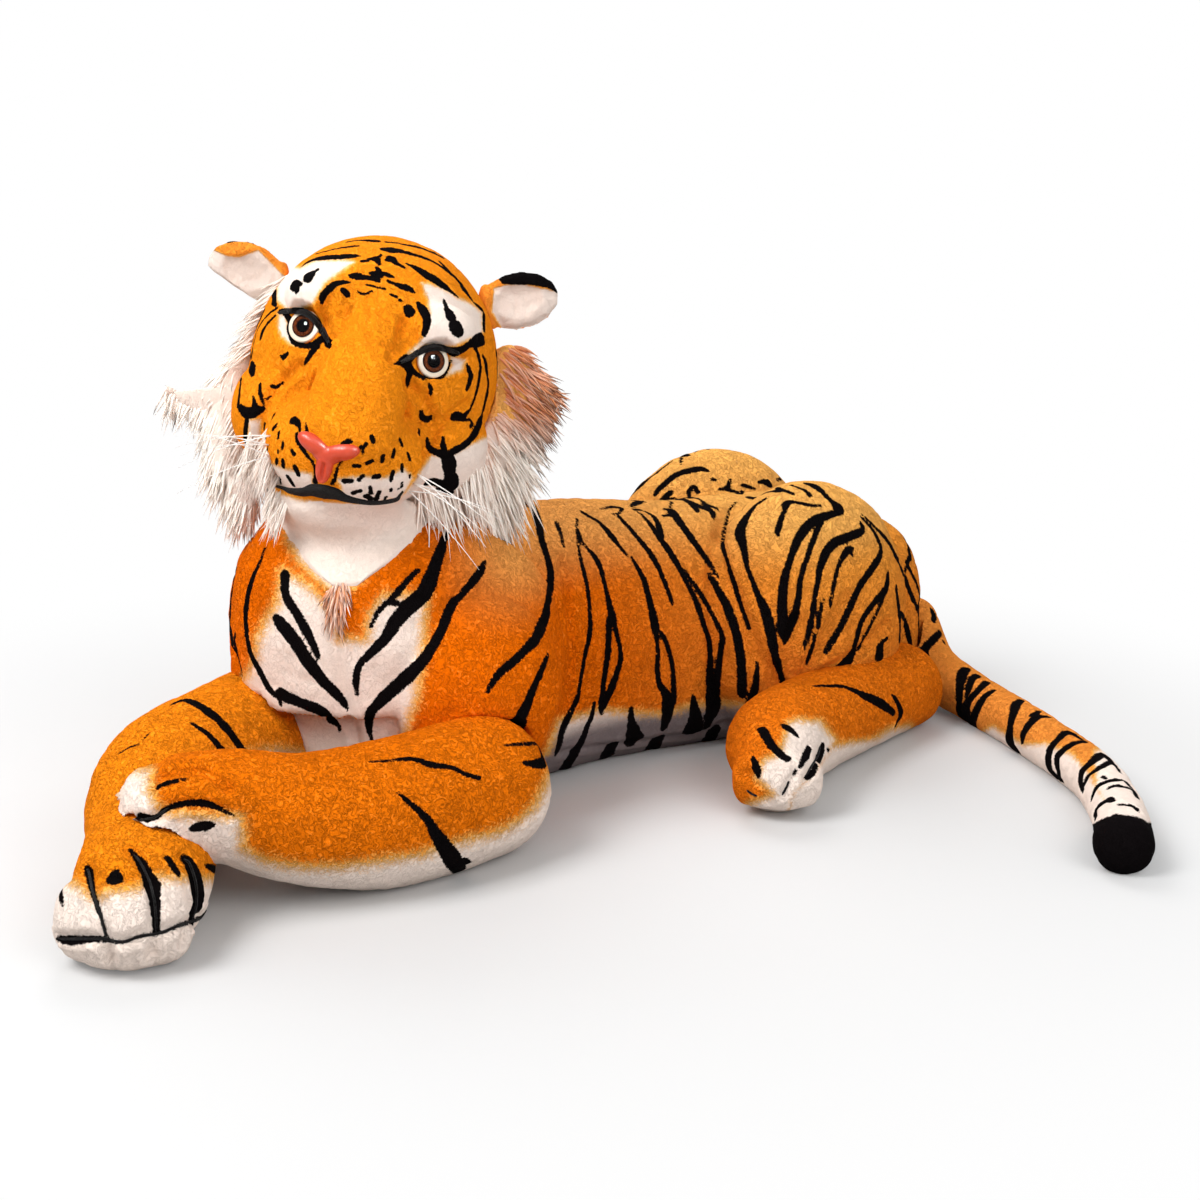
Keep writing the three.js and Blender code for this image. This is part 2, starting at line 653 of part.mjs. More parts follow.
// Joints in the cloth: the elbow, the tail root and the tail's middle are balls in sockets
const elbowAt = leftForelegRows[0].at;
const elbowRadius = leftForelegRows[0].wide;
const elbowTurn = new THREE.Euler(0, elbowLean, 0);
const [rootRow, , , beforeCurlRow, curlRow, afterCurlRow, beforeTipRow, tipRow] = tailRows;
const curlRimShare = 0.5;
const tipBackShare = 0.33;
const tailRootAt = rootRow.at;
const tailRootRadius = rootRow.wide;
const curlAt = curlRow.at;
const curlRadius = curlRow.wide;

const elbow = { at: elbowAt, radii: vec(elbowRadius, elbowRadius, elbowRadius), turn: elbowTurn };
const tailRoot = { at: tailRootAt, radii: vec(tailRootRadius, tailRootRadius, tailRootRadius) };
const curl = { at: curlAt, radii: vec(curlRadius, curlRadius, curlRadius) };
const jointDetail = [16, 8];
const ballOf = ({ at, radii, turn }, grow = 0) => ellipsoid(at, radii, grow, jointDetail, turn);
const socketOf = ({ at, radii, turn }) => socket(at, radii, fitGap, jointDetail, turn);

// Openings in the covers, which the filling shows through at the joints
const openingSides = 12;
const openingShare = 0.33;
const neckOpeningShare = 0.36;
const opening = (from, to, radius) => rod(from, to, radius, radius, openingSides);

// Torso
const torsoSewn = sewn(torso, { seams: [socketOf(elbow), socketOf(tailRoot)] });
const neckOpeningRadius = neckOpeningShare * neckRadius;
const neckOpening = opening(neckAt.clone().setZ(neckFoot), neckAt.clone().setZ(cutReach), neckOpeningRadius);
const bellyZone = (from, to) => box(vec(-cutReach, -cutReach, from), vec(cutReach, cutReach, to));
const torsoCover = torsoSewn.cover
  .subtract(neckOpening)
  .subtract(bellyZone(-cutReach, bellyPanelTop + fitGap));
const bellyPanel = torsoSewn.cover.intersect(bellyZone(-cutReach, bellyPanelTop));
const torsoSkin = torso.outside(fitGap);
const torsoReach = torso.outside(turnGap);
const swingReach = torso.outside(swingGap);

// The closing stitch lies across the seam of the belly panel, on the right side.
const stitchLength = 130;
const stitchRise = 5;
const stitchTicks = 6;
const stitchTickWidth = 2;
function closingStitch() {
  const line = box(
    vec(-cutReach, -stitchLength / 2, bellyPanelTop - stitchTickWidth / 2),
    vec(0, stitchLength / 2, bellyPanelTop + stitchTickWidth / 2),
  );
  const step = (stitchLength - stitchWidth) / (stitchTicks - 1);
  const ticks = Array.from({ length: stitchTicks }, (_, k) => {
    const y = k * step - (stitchLength - stitchWidth) / 2;
    const low = vec(-cutReach, y - stitchTickWidth / 2, bellyPanelTop - stitchRise);
    return box(low, vec(0, y + stitchTickWidth / 2, bellyPanelTop + stitchRise));
  });
  return layer(torso, stripThickness, union([line, ...ticks]));
}

// Limbs
const rightForelegSewn = sewn(rightForeleg, { seams: [torsoSkin] });
const foreleg = (grow) => rightForeleg.form(grow, rightForeleg.fine);
const shoulderAt = placeOf(leftShoulderPlaceShare);
const leftForelegSewn = sewn(leftForeleg, {
  seams: [torsoReach.subtract(ballOf(elbow))],
  dents: [(depth) => foreleg(turnGap + depth)],
  openings: [opening(elbowAt, shoulderAt, openingShare * elbowRadius)],
});
const leftHindSewn = sewn(leftHindLeg, { seams: [torsoSkin] });
const rightHindSewn = sewn(rightHindLeg, { seams: [torsoSkin] });

// The black seams between the toes and the fold under them, as shares of the paw radius
const toeAcrossShares = [-0.47, 0, 0.47];
const toeSeamShares = { back: 0.1, front: 2, side: 2, high: 1.3, low: -0.52, fold: -0.42 };
function toeStitches(part, rows, cutters) {
  const { end, turn } = pawFrame(rows);
  const place = new THREE.Matrix4().makeTranslation(end.at);
  place.multiply(new THREE.Matrix4().makeRotationFromEuler(turn));
  const r = end.wide;
  const { back, front, side, high, low, fold } = toeSeamShares;
  const lines = toeAcrossShares.map((x) =>
    box(vec(x * r - stitchWidth / 2, back * r, low * r), vec(x * r + stitchWidth / 2, front * r, high * r)),
  );
  const under = box(vec(-side * r, back * r, low * r), vec(side * r, front * r, fold * r));
  const strips = layer(part, stripThickness, moved(union([...lines, under]), place));
  return cutters.reduce((left, cutter) => left.subtract(cutter), strips);
}

// Tail, in three lengths of cloth: base, end and black tip
const curlWay = afterCurlRow.at.clone().sub(beforeCurlRow.at);
const curlRim = curlAt.clone().addScaledVector(curlWay.clone().normalize(), -curlRimShare * curlRadius);
const tipWay = tipRow.at.clone().sub(beforeTipRow.at).normalize();
const tipAt = tipRow.at.clone().addScaledVector(tipWay, -tipBackShare * tipRow.wide);
const beyondRim = ahead(curlRim, curlWay);
const beyondCurl = ahead(curlAt, curlWay);
const beyondTip = ahead(tipAt, tipWay);
const tipGap = ahead(tipAt.clone().addScaledVector(tipWay, -fitGap), tipWay);
const tailBaseSewn = sewn(tail, {
  seams: [swingReach.subtract(ballOf(tailRoot)), beyondRim, socketOf(curl)],
  openings: [opening(tailRootAt, tailRootAt.clone().setY(0), openingShare * tailRootRadius)],
});
const grownCurl = (solid, grow) => solid.intersect(beyondCurl).add(ballOf(curl, grow).subtract(belowFloor));
const tailEndOutside = grownCurl(tail.outside(), 0);
const curlOpening = opening(curlAt, curlAt.clone().sub(curlWay), openingShare * curlRadius);
const tailEndCover = tailEndOutside.subtract(grownCurl(tail.hollow(), -coverWall).subtract(floorHollow));
const tailEndFilling = grownCurl(tail.filling(), -coverWall - fitGap).subtract(floorFilling);

// Head
const neckSides = torso.fine.neck;
const neckClearance = neckForm(turnGap, neckSides, fitGap, socketScale(neckSides));
const earSockets = ["left", "right"].map(earSocket);
const places = Object.keys(facePlaceShares).map(facePlace);
const eyeClearances = ["left_eye", "right_eye"].map((name) => eyeClearance(facePlace(name)));
const headSewn = sewn(head, { seams: [neckClearance, ...earSockets] });
const cutAll = (solid, cutters) => cutters.reduce((left, cutter) => left.subtract(cutter), solid);
const headPads = union(places.map((place) => clothPad(place))).intersect(headSewn.outside);
const headCover = cutAll(headSewn.cover.add(headPads), [
  ...eyeClearances,
  ...places.map(shankHole),
  ...places.map((place) => washerRoom(place, 0)),
]);
const headFilling = cutAll(headSewn.filling, [
  ...places.map((place) => clothPad(place, turnGap)),
  ...places.map((place) => washerRoom(place, turnGap)),
]);
const headOutside = head.outside(fitGap);
const headSkin = (solid, cutters = []) => cutAll(solid, [headOutside, neckClearance, ...cutters]);

const root = new THREE.Group();
root.name = "plush_tiger";
const put = (name, solid, material) => root.add(meshOf(name, solid, material));

put("torso_cover", torsoCover, cloth(orangePlush));
put("belly_panel", bellyPanel, cloth(creamPlush));
put("torso_filling", torsoSewn.filling, cloth(fibre));
put("closing_stitch", closingStitch(), cloth(blackPlush));
put("head_cover", headCover, cloth(orangePlush));
put("head_filling", headFilling, cloth(fibre));
for (const side of ["left", "right"]) {
  const { back, lining } = ear(side);
  put(`${side}_ear_back`, back, cloth(orangePlush));
  put(`${side}_ear_lining`, lining, cloth(creamPlush));
  const place = facePlace(`${side}_eye`);
  const { cup, iris, lens } = eye(place);
  put(`${side}_eye_cup`, cup, plastic(creamPlush));
  put(`${side}_eye_iris`, iris, plastic(amber));
  put(`${side}_eye_lens`, lens, plastic(clear));
  put(`${side}_eye_washer`, washer(place), plastic(fibre));
  put(`${side}_whiskers`, whiskers(side === "left" ? 1 : -1), plastic(creamPlush));
  put(`${side}_ruff`, headSkin(ruff(side), [...earSockets, swingReach]), cloth(creamPlush));
}
put("nose", nose(facePlace("nose"), headOutside), plastic(coralVinyl));
put("nose_washer", washer(facePlace("nose")), plastic(fibre));
put("mouth_strip", mouth().subtract(neckClearance), cloth(blackPlush));
const throatTuft = pile(throatTuftRows, throatWay, tuftSides).subtract(torsoSkin);
put("throat_tuft", throatTuft, cloth(creamPlush));
const limbs = {
  left_foreleg: [leftForelegSewn, leftForeleg, leftForelegRows, [foreleg(turnGap)]],
  right_foreleg: [rightForelegSewn, rightForeleg, rightForelegRows, [leftForeleg.outside(turnGap)]],
  left_hind_leg: [leftHindSewn, leftHindLeg, leftHindRows, [torsoSkin]],
  right_hind_leg: [rightHindSewn, rightHindLeg, rightHindRows, [torsoSkin]],
};
for (const [name, [sewnLimb, part, rows, cutters]] of Object.entries(limbs)) {
  put(`${name}_cover`, sewnLimb.cover, cloth(orangePlush));
  put(`${name}_filling`, sewnLimb.filling, cloth(fibre));
  put(`${name}_toe_stitches`, toeStitches(part, rows, cutters), cloth(blackPlush));
}
put("tail_base_cover", tailBaseSewn.cover, cloth(orangePlush));
put("tail_base_filling", tailBaseSewn.filling, cloth(fibre));
put("tail_end_cover", tailEndCover.subtract(tipGap).subtract(curlOpening), cloth(creamPlush));
put("tail_end_filling", tailEndFilling, cloth(fibre));
put("tail_tip_cover", tailEndCover.intersect(beyondTip), cloth(blackPlush));

// The row's frame: the middle of the underside of the whole toy is the origin.
const extent = new THREE.Box3().setFromObject(root);
const middle = extent.getCenter(vec(0, 0, 0));
root.position.set(-middle.x, -middle.y, -extent.min.z);
root.updateMatrixWorld(true);

export default root;
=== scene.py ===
"""The looks of a large plush tiger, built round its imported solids.

Each stuffed part gets a fine skin that is grown from its solid. The coat is painted on the skins from
strokes and zones, which are written as places in the photograph and cast onto the skins.
"""

import json
import math

import bpy
import numpy as np
from mathutils import Matrix, Vector, noise
from mathutils.bvhtree import BVHTree
from mathutils.kdtree import KDTree


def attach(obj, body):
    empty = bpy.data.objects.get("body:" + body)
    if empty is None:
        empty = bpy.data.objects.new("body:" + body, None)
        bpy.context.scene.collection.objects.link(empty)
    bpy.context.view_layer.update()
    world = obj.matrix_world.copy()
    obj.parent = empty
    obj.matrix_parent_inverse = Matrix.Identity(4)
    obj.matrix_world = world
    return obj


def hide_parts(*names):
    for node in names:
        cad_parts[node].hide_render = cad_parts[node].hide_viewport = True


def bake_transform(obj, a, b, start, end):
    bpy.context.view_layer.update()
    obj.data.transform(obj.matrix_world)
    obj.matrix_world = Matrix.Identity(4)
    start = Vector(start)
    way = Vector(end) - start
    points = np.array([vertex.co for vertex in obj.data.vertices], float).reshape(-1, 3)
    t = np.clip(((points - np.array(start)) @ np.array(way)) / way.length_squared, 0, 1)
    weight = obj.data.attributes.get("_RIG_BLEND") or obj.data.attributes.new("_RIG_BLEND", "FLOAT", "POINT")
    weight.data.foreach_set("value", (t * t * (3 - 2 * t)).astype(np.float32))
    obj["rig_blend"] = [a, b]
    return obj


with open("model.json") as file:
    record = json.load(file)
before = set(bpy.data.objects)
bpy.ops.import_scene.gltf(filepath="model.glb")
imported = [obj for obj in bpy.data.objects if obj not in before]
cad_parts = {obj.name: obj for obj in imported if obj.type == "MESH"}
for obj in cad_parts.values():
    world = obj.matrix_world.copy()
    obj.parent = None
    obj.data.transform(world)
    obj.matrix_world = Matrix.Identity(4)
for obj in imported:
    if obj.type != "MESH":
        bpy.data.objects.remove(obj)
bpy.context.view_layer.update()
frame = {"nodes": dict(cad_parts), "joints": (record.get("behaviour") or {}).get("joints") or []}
NODES = frame["nodes"]
JOINTS = {joint["name"]: joint for joint in frame["joints"]}
MM = 0.001
SEED = 7

# Driving sizes of the solids, in metres
BODY_LENGTH = 0.770
TORSO_WIDTH = 0.246
TORSO_HEIGHT = 0.262
NECK_RADIUS = 0.092
NECK_HEIGHT = 0.334
HEAD_SIZE = 0.260
FORELEG_GIRTH = 0.150
HIND_LEG_GIRTH = 0.106
TAIL_GIRTH = 0.058
FLOOR_SQUASH = 0.004
BELLY_SQUASH = 0.009
BELLY_ROUNDNESS = 0.55
CHEST_HEADING = math.radians(36)
HEAD_TURNS = [("Z", math.radians(65.7)), ("Y", math.radians(15)), ("X", math.radians(-6))]
HAUNCH_SPLAY = math.radians(5)

# The photograph's camera
PHOTO_SIZE = 1200
FOCAL_PIXELS = 2000
CAMERA_AT = np.array([1.863212, -0.809102, 0.73])
CAMERA_RIGHT = np.array([0.4226, 0.9063, 0.0])
CAMERA_AHEAD = np.array([-0.9063, 0.4226, 0.0])
CAMERA_PITCH = math.radians(-14.6)
SENSOR_WIDTH = 36.0
UP = np.array([0.0, 0.0, 1.0])
LOOK = CAMERA_AHEAD * math.cos(CAMERA_PITCH) + UP * math.sin(CAMERA_PITCH)
LOOK_UP = np.cross(CAMERA_RIGHT, LOOK)


def rays(pixels):
    """Directions from the camera through pixels of the photograph."""
    off = (np.asarray(pixels, float) - PHOTO_SIZE / 2) / FOCAL_PIXELS
    way = LOOK + off[:, :1] * CAMERA_RIGHT - off[:, 1:2] * LOOK_UP
    return way / np.linalg.norm(way, axis=1, keepdims=True)


def pixels_of(points):
    """Places in the photograph of points in space."""
    away = np.asarray(points, float) - CAMERA_AT
    depth = away @ LOOK
    across = away @ CAMERA_RIGHT / depth
    rise = away @ LOOK_UP / depth
    return np.stack([across, -rise], 1) * FOCAL_PIXELS + PHOTO_SIZE / 2


def smoothstep(low, high, value):
    share = np.clip((value - low) / (high - low), 0, 1)
    return share * share * (3 - 2 * share)


# Forms, as in the solids but fine
def sphere_mesh(centre, radii, turn=Matrix.Identity(3), around=48, tall=32):
    angles = np.linspace(0, 2 * math.pi, around, endpoint=False)
    heights = np.linspace(0, math.pi, tall + 1)[1:-1]
    ring = np.stack([np.cos(angles), np.sin(angles)], 1)
    rows = [np.column_stack([ring * math.sin(h), np.full(around, math.cos(h))]) for h in heights]
    points = np.vstack([[[0, 0, 1]], *rows, [[0, 0, -1]]]) * np.asarray(radii)
    points = points @ np.array(turn).T + np.asarray(centre)
    return points, ring_faces(len(rows), around)


def ring_faces(rings, around):
    """Faces of a tube of rings, closed by a first and a last point."""
    faces = []
    last = 1 + rings * around
    for j in range(around):
        k = (j + 1) % around
        faces.append((0, 1 + j, 1 + k))
        faces.append((last, 1 + (rings - 1) * around + k, 1 + (rings - 1) * around + j))
        for i in range(rings - 1):
            a = 1 + i * around
            faces.append((a + j, a + around + j, a + around + k, a + k))
    return faces


def spline(points, steps):
    """A smooth curve through points, with some steps in each span."""
    points = np.asarray(points, float)
    padded = np.vstack([2 * points[0] - points[1], points, 2 * points[-1] - points[-2]])
    out = []
    for i in range(len(points) - 1):
        a, b, c, d = padded[i : i + 4]
        t = np.linspace(0, 1, steps, endpoint=False)[:, None]
        bend = 2 * a - 5 * b + 4 * c - d
        twist = 3 * b - a - 3 * c + d
        out.append(b + ((c - a) * t + bend * t**2 + twist * t**3) / 2)
    return np.vstack([*out, points[-1:]])


def loft_mesh(rows, around=40, per_span=8, caps=6, cap_share=0.85, roundness=1.0, upright=UP):
    """A round form along rows of (place, half width, height above, height below), with rounded ends."""
    path = spline([row[0] for row in rows], per_span)
    sizes = spline([row[1:] for row in rows], per_span)
    along = np.gradient(path, axis=0)
    along /= np.linalg.norm(along, axis=1, keepdims=True)
    rings = [(path[i], along[i], *sizes[i]) for i in range(len(path))]

    def cap(ring, way):
        at, ahead, wide, high, low = ring
        reach = cap_share * min(wide, high)
        out = []
        for k in range(1, caps + 1):
            angle = k / (caps + 1) * math.pi / 2
            shrink = math.cos(angle)
            middle = at + ahead * way * reach * math.sin(angle)
            out.append((middle, ahead, wide * shrink, high * shrink, low * shrink))
        return out, at + ahead * way * reach

    first, start = cap(rings[0], -1)
    last, end = cap(rings[-1], 1)
    angles = np.arange(around) / around * 2 * math.pi
    under = np.sin(angles) < 0
    bend = np.where(under, roundness, 1.0)
    across = np.sign(np.cos(angles)) * np.abs(np.cos(angles)) ** bend
    rise = np.abs(np.sin(angles)) ** bend
    points = [start[None]]
    every = [*first[::-1], *rings, *last]
    for at, ahead, wide, high, low in every:
        side = np.cross(ahead, upright)
        side /= np.linalg.norm(side)
        up = np.cross(side, ahead)
        up /= np.linalg.norm(up)
        height = np.where(under, -low * rise, high * rise)
        points.append(at + side * (wide * across)[:, None] + up * height[:, None])
    points.append(end[None])
    return np.vstack(points), ring_faces(len(every), around)


# Tables of the forms, as shares of the driving sizes, as in the part's source
TORSO_SHARES = [
    (0.425, 0.0, 0.5, 0.6, 0.7),
    (0.34, 0.0, 0.49, 0.92, 0.96),
    (0.22, 0.0, 0.5, 1.0, 1.0),
    (0.08, 0.0, 0.5, 0.97, 1.0),
    (-0.08, 0.006, 0.515, 1.0, 1.07),
    (-0.22, 0.035, 0.53, 1.06, 1.08),
    (-0.34, 0.085, 0.54, 1.1, 1.06),
    (-0.43, 0.15, 0.56, 0.9, 0.92),
]
HAUNCH_SHARES = ((0.142, 0.228, 0.56), (0.32, 0.172, 0.57))
SHOULDER_PLACE_SHARES = [(0.185, -0.3, 0.56), (-0.012, -0.44, 0.54)]
SHOULDER_SIZE_SHARE = (0.35, 0.125, 0.51)
UPPER_ARM_SHARES = ((0.275, -0.34, 0.55), (0.29, 0.115, 0.36))
NECK_PLACE_SHARE = (0.114, -0.416)
NECK_PROFILE_SHARES = [(0, 1), (0.52, 1), (0.95, 0.93), (1.25, 0.86), (1.5, 0.76), (1.62, 0.6)]
LEFT_FORELEG_SHARES = [
    (0.365, -0.365, 0.47, 0),
    (0.395, -0.44, 0.47, 0),
    (0.41, -0.53, 0.46, 0.01),
    (0.415, -0.62, 0.4, 0.14),
    (0.41, -0.7, 0.35, 0.32),
    (0.4, -0.755, 0.37, 0.38, 0.85),
]
RIGHT_FORELEG_SHARES = [
    (0.02, -0.47, 0.52, 0),
    (0.12, -0.605, 0.48, 0.06),
    (0.245, -0.735, 0.47, 0.06),
    (0.365, -0.785, 0.4, 0),
    (0.45, -0.815, 0.4, 0, 0.9),
    (0.485, -0.835, 0.38, 0, 0.85),
]
HIND_LEG_SHARES = [
    (0.15, 0.41, 0.47, 0),
    (0.195, 0.315, 0.49, 0),
    (0.265, 0.18, 0.51, 0),
    (0.325, 0.09, 0.52, 0),
    (0.36, 0.065, 0.48, 0),
    (0.395, 0.045, 0.42, 0, 1.05),
]
TOE_SHARES = [
    (-0.69, 0.42, -0.1, 0.36, 0.5, 0.62),
    (-0.24, 0.66, -0.06, 0.36, 0.54, 0.68),
    (0.24, 0.66, -0.06, 0.36, 0.54, 0.68),
    (0.69, 0.42, -0.1, 0.36, 0.5, 0.62),
]
TAIL_SHARES = [
    (0.015, 0.5, 0.64, 0.9),
    (0.09, 0.495, 0.56, 0.3),
    (0.182, 0.51, 0.5, 0.03),
    (0.27, 0.505, 0.48, 0),
    (0.4, 0.487, 0.47, 0),
    (0.545, 0.455, 0.46, 0),
    (0.675, 0.39, 0.47, 0),
    (0.765, 0.325, 0.5, 0),
]
HEAD_LUMP_SHARES = [
    (0, 0.04, 0.055, 0.475, 0.48, 0.515),
    (0.27, -0.08, -0.17, 0.235, 0.27, 0.24),
    (-0.25, -0.08, -0.17, 0.235, 0.27, 0.24),
    (0, -0.37, -0.24, 0.3, 0.27, 0.22),
    (0, -0.25, -0.43, 0.24, 0.24, 0.16),
    (0.21, -0.29, 0.27, 0.155, 0.115, 0.11),
    (-0.21, -0.29, 0.27, 0.155, 0.115, 0.11),
]
HEAD_BRIDGE_SHARES = [
    (0, -0.33, 0.17, 0.15, 0.13),
    (0, -0.46, -0.04, 0.175, 0.15),
    (0, -0.54, -0.18, 0.185, 0.14),
]
HEAD_RISE_SHARE = 0.385

NECK_DESIGN = np.array([NECK_PLACE_SHARE[0] * BODY_LENGTH, NECK_PLACE_SHARE[1] * BODY_LENGTH])
ORIGIN = np.append(np.array(JOINTS["head_turn"]["pos_m"][:2]) - NECK_DESIGN, 0.0)


def placed(x, y, z, side=1):
    """A place on the torso, from shares of its length and height."""
    return ORIGIN + np.array([side * x * BODY_LENGTH, y * BODY_LENGTH, z * TORSO_HEIGHT])


def limb_rows(shares, girth, side=1):
    rows = []
    for x, y, radius, lift, *tall in shares:
        high = radius * (tall[0] if tall else 1) * girth
        at = ORIGIN + np.array([side * x * BODY_LENGTH, y * BODY_LENGTH, high + lift * girth - FLOOR_SQUASH])
        rows.append((at, radius * girth, high, high))
    return rows


TOE_STEPS = 5


def toe_meshes(rows):
    """Round toes that run together. Their folds are pressed in afterwards, where the photograph shows them."""
    end = rows[-1][0]
    along = (end - rows[-2][0]) * (1, 1, 0)
    turn = Matrix.Rotation(math.atan2(-along[0], along[1]), 3, "Z")
    width = rows[-1][1]
    for across, ahead, up, *radii in spline(TOE_SHARES, TOE_STEPS):
        centre = end + np.array(turn @ Vector((across, ahead, up))) * width
        yield sphere_mesh(centre, np.array(radii) * width, turn)


def limb_forms(shares, girth, side=1, toes=True):
    rows = limb_rows(shares, girth, side)
    yield loft_mesh(rows)
    if toes:
        yield from toe_meshes(rows)


TORSO_AROUND = 64


def torso_forms():
    rows = []
    for along, side, centre, wide, high in TORSO_SHARES:
        low = centre * TORSO_HEIGHT + BELLY_SQUASH
        rows.append((placed(side, along, centre), wide * TORSO_WIDTH / 2, high * TORSO_HEIGHT / 2, low))
    yield loft_mesh(rows, around=TORSO_AROUND, roundness=BELLY_ROUNDNESS)
    size = np.array([TORSO_WIDTH, BODY_LENGTH, TORSO_HEIGHT])
    place, half = HAUNCH_SHARES
    for side in (1, -1):
        yield sphere_mesh(placed(*place, side), half * size, Matrix.Rotation(side * HAUNCH_SPLAY, 3, "Z"))
    for share in SHOULDER_PLACE_SHARES:
        yield sphere_mesh(placed(*share), SHOULDER_SIZE_SHARE * size, Matrix.Rotation(CHEST_HEADING, 3, "Z"))
    yield sphere_mesh(placed(*UPPER_ARM_SHARES[0]), UPPER_ARM_SHARES[1] * size)
    yield neck_form()


def neck_form(around=64, steps=6):
    rim = spline([(r * NECK_RADIUS, z * NECK_HEIGHT) for r, z in NECK_PROFILE_SHARES], steps)[1:]
    rim = np.vstack([rim, [rim[-1][0], TORSO_HEIGHT / 2]])
    angles = np.linspace(0, 2 * math.pi, around, endpoint=False)
    rings = [np.column_stack([np.cos(angles) * r, np.sin(angles) * r, np.full(around, z)]) for r, z in rim]
    top = [[0, 0, NECK_HEIGHT]]
    foot = [[0, 0, TORSO_HEIGHT / 2]]
    points = np.vstack([top, *rings, foot])
    return points + ORIGIN + np.append(NECK_DESIGN, 0), ring_faces(len(rings), around)


HEAD_RISE = NECK_HEIGHT + HEAD_RISE_SHARE * HEAD_SIZE
HEAD_PLACE = Matrix.Translation(Vector(ORIGIN + np.append(NECK_DESIGN, HEAD_RISE)))
for axis, angle in HEAD_TURNS:
    HEAD_PLACE = HEAD_PLACE @ Matrix.Rotation(angle, 4, axis)
HEAD_TURN = np.array(HEAD_PLACE.to_3x3())
HEAD_AT = np.array(HEAD_PLACE.translation)


def in_head(shares):
    """Places in space of places in the head, given as shares of its size from its middle."""
    return np.asarray(shares, float) * HEAD_SIZE @ HEAD_TURN.T + HEAD_AT


def head_shares(points):
    return (np.asarray(points) - HEAD_AT) @ HEAD_TURN / HEAD_SIZE


def head_forms():
    for x, y, z, *radii in HEAD_LUMP_SHARES:
        yield sphere_mesh(in_head([(x, y, z)])[0], np.array(radii) * HEAD_SIZE, HEAD_PLACE.to_3x3())
    rows = []
    for x, y, z, wide, high in HEAD_BRIDGE_SHARES:
        rows.append((np.array([x, y, z]) * HEAD_SIZE, wide * HEAD_SIZE, high * HEAD_SIZE, high * HEAD_SIZE))
    points, faces = loft_mesh(rows)
    yield points @ HEAD_TURN.T + HEAD_AT, faces


# Skins
FORM_VOXEL = 0.004
FORM_REACH = 0.0075
SNAP_FULL_SHARE = 0.6
LEAST_LENGTH = 1e-12


def mesh_object(name, points, faces):
    mesh = bpy.data.meshes.new(name)
    mesh.from_pydata([tuple(p) for p in points], [], [tuple(f) for f in faces])
    mesh.update()
    thing = bpy.data.objects.new(name, mesh)
    bpy.context.scene.collection.objects.link(thing)
    return thing


def remeshed(thing, voxel):
    """The outer surface of an object as even quads. The object is removed."""
    rule = thing.modifiers.new("even", "REMESH")
    rule.mode = "VOXEL"
    rule.voxel_size = voxel
    graph = bpy.context.evaluated_depsgraph_get()
    mesh = bpy.data.meshes.new_from_object(thing.evaluated_get(graph))
    bpy.data.objects.remove(thing)
    return mesh


def joined(parts):
    points = []
    faces = []
    start = 0
    for part_points, part_faces in parts:
        points.append(part_points)
        faces.extend(tuple(start + i for i in face) for face in part_faces)
        start += len(part_points)
    return np.vstack(points), faces


def points_of(mesh):
    points = np.empty(len(mesh.vertices) * 3)
    mesh.vertices.foreach_get("co", points)
    return points.reshape(-1, 3)


def node_meshes(names):
    for name in names:
        mesh = (NODES.get(name) or bpy.data.objects[name]).data
        yield points_of(mesh), [tuple(face.vertices) for face in mesh.polygons]


def quads_of(mesh):
    corners = np.empty(len(mesh.loops), np.int32)
    mesh.loops.foreach_get("vertex_index", corners)
    return corners.reshape(-1, 4)


def search_tree(points, faces):
    return BVHTree.FromPolygons(points.tolist(), faces.tolist())


def tree_of(parts, voxel=FORM_VOXEL):
    """A search tree of the outer surface of overlapping forms."""
    mesh = remeshed(mesh_object("form", *joined(parts)), voxel)
    tree = search_tree(points_of(mesh), quads_of(mesh))
    bpy.data.meshes.remove(mesh)
    return tree


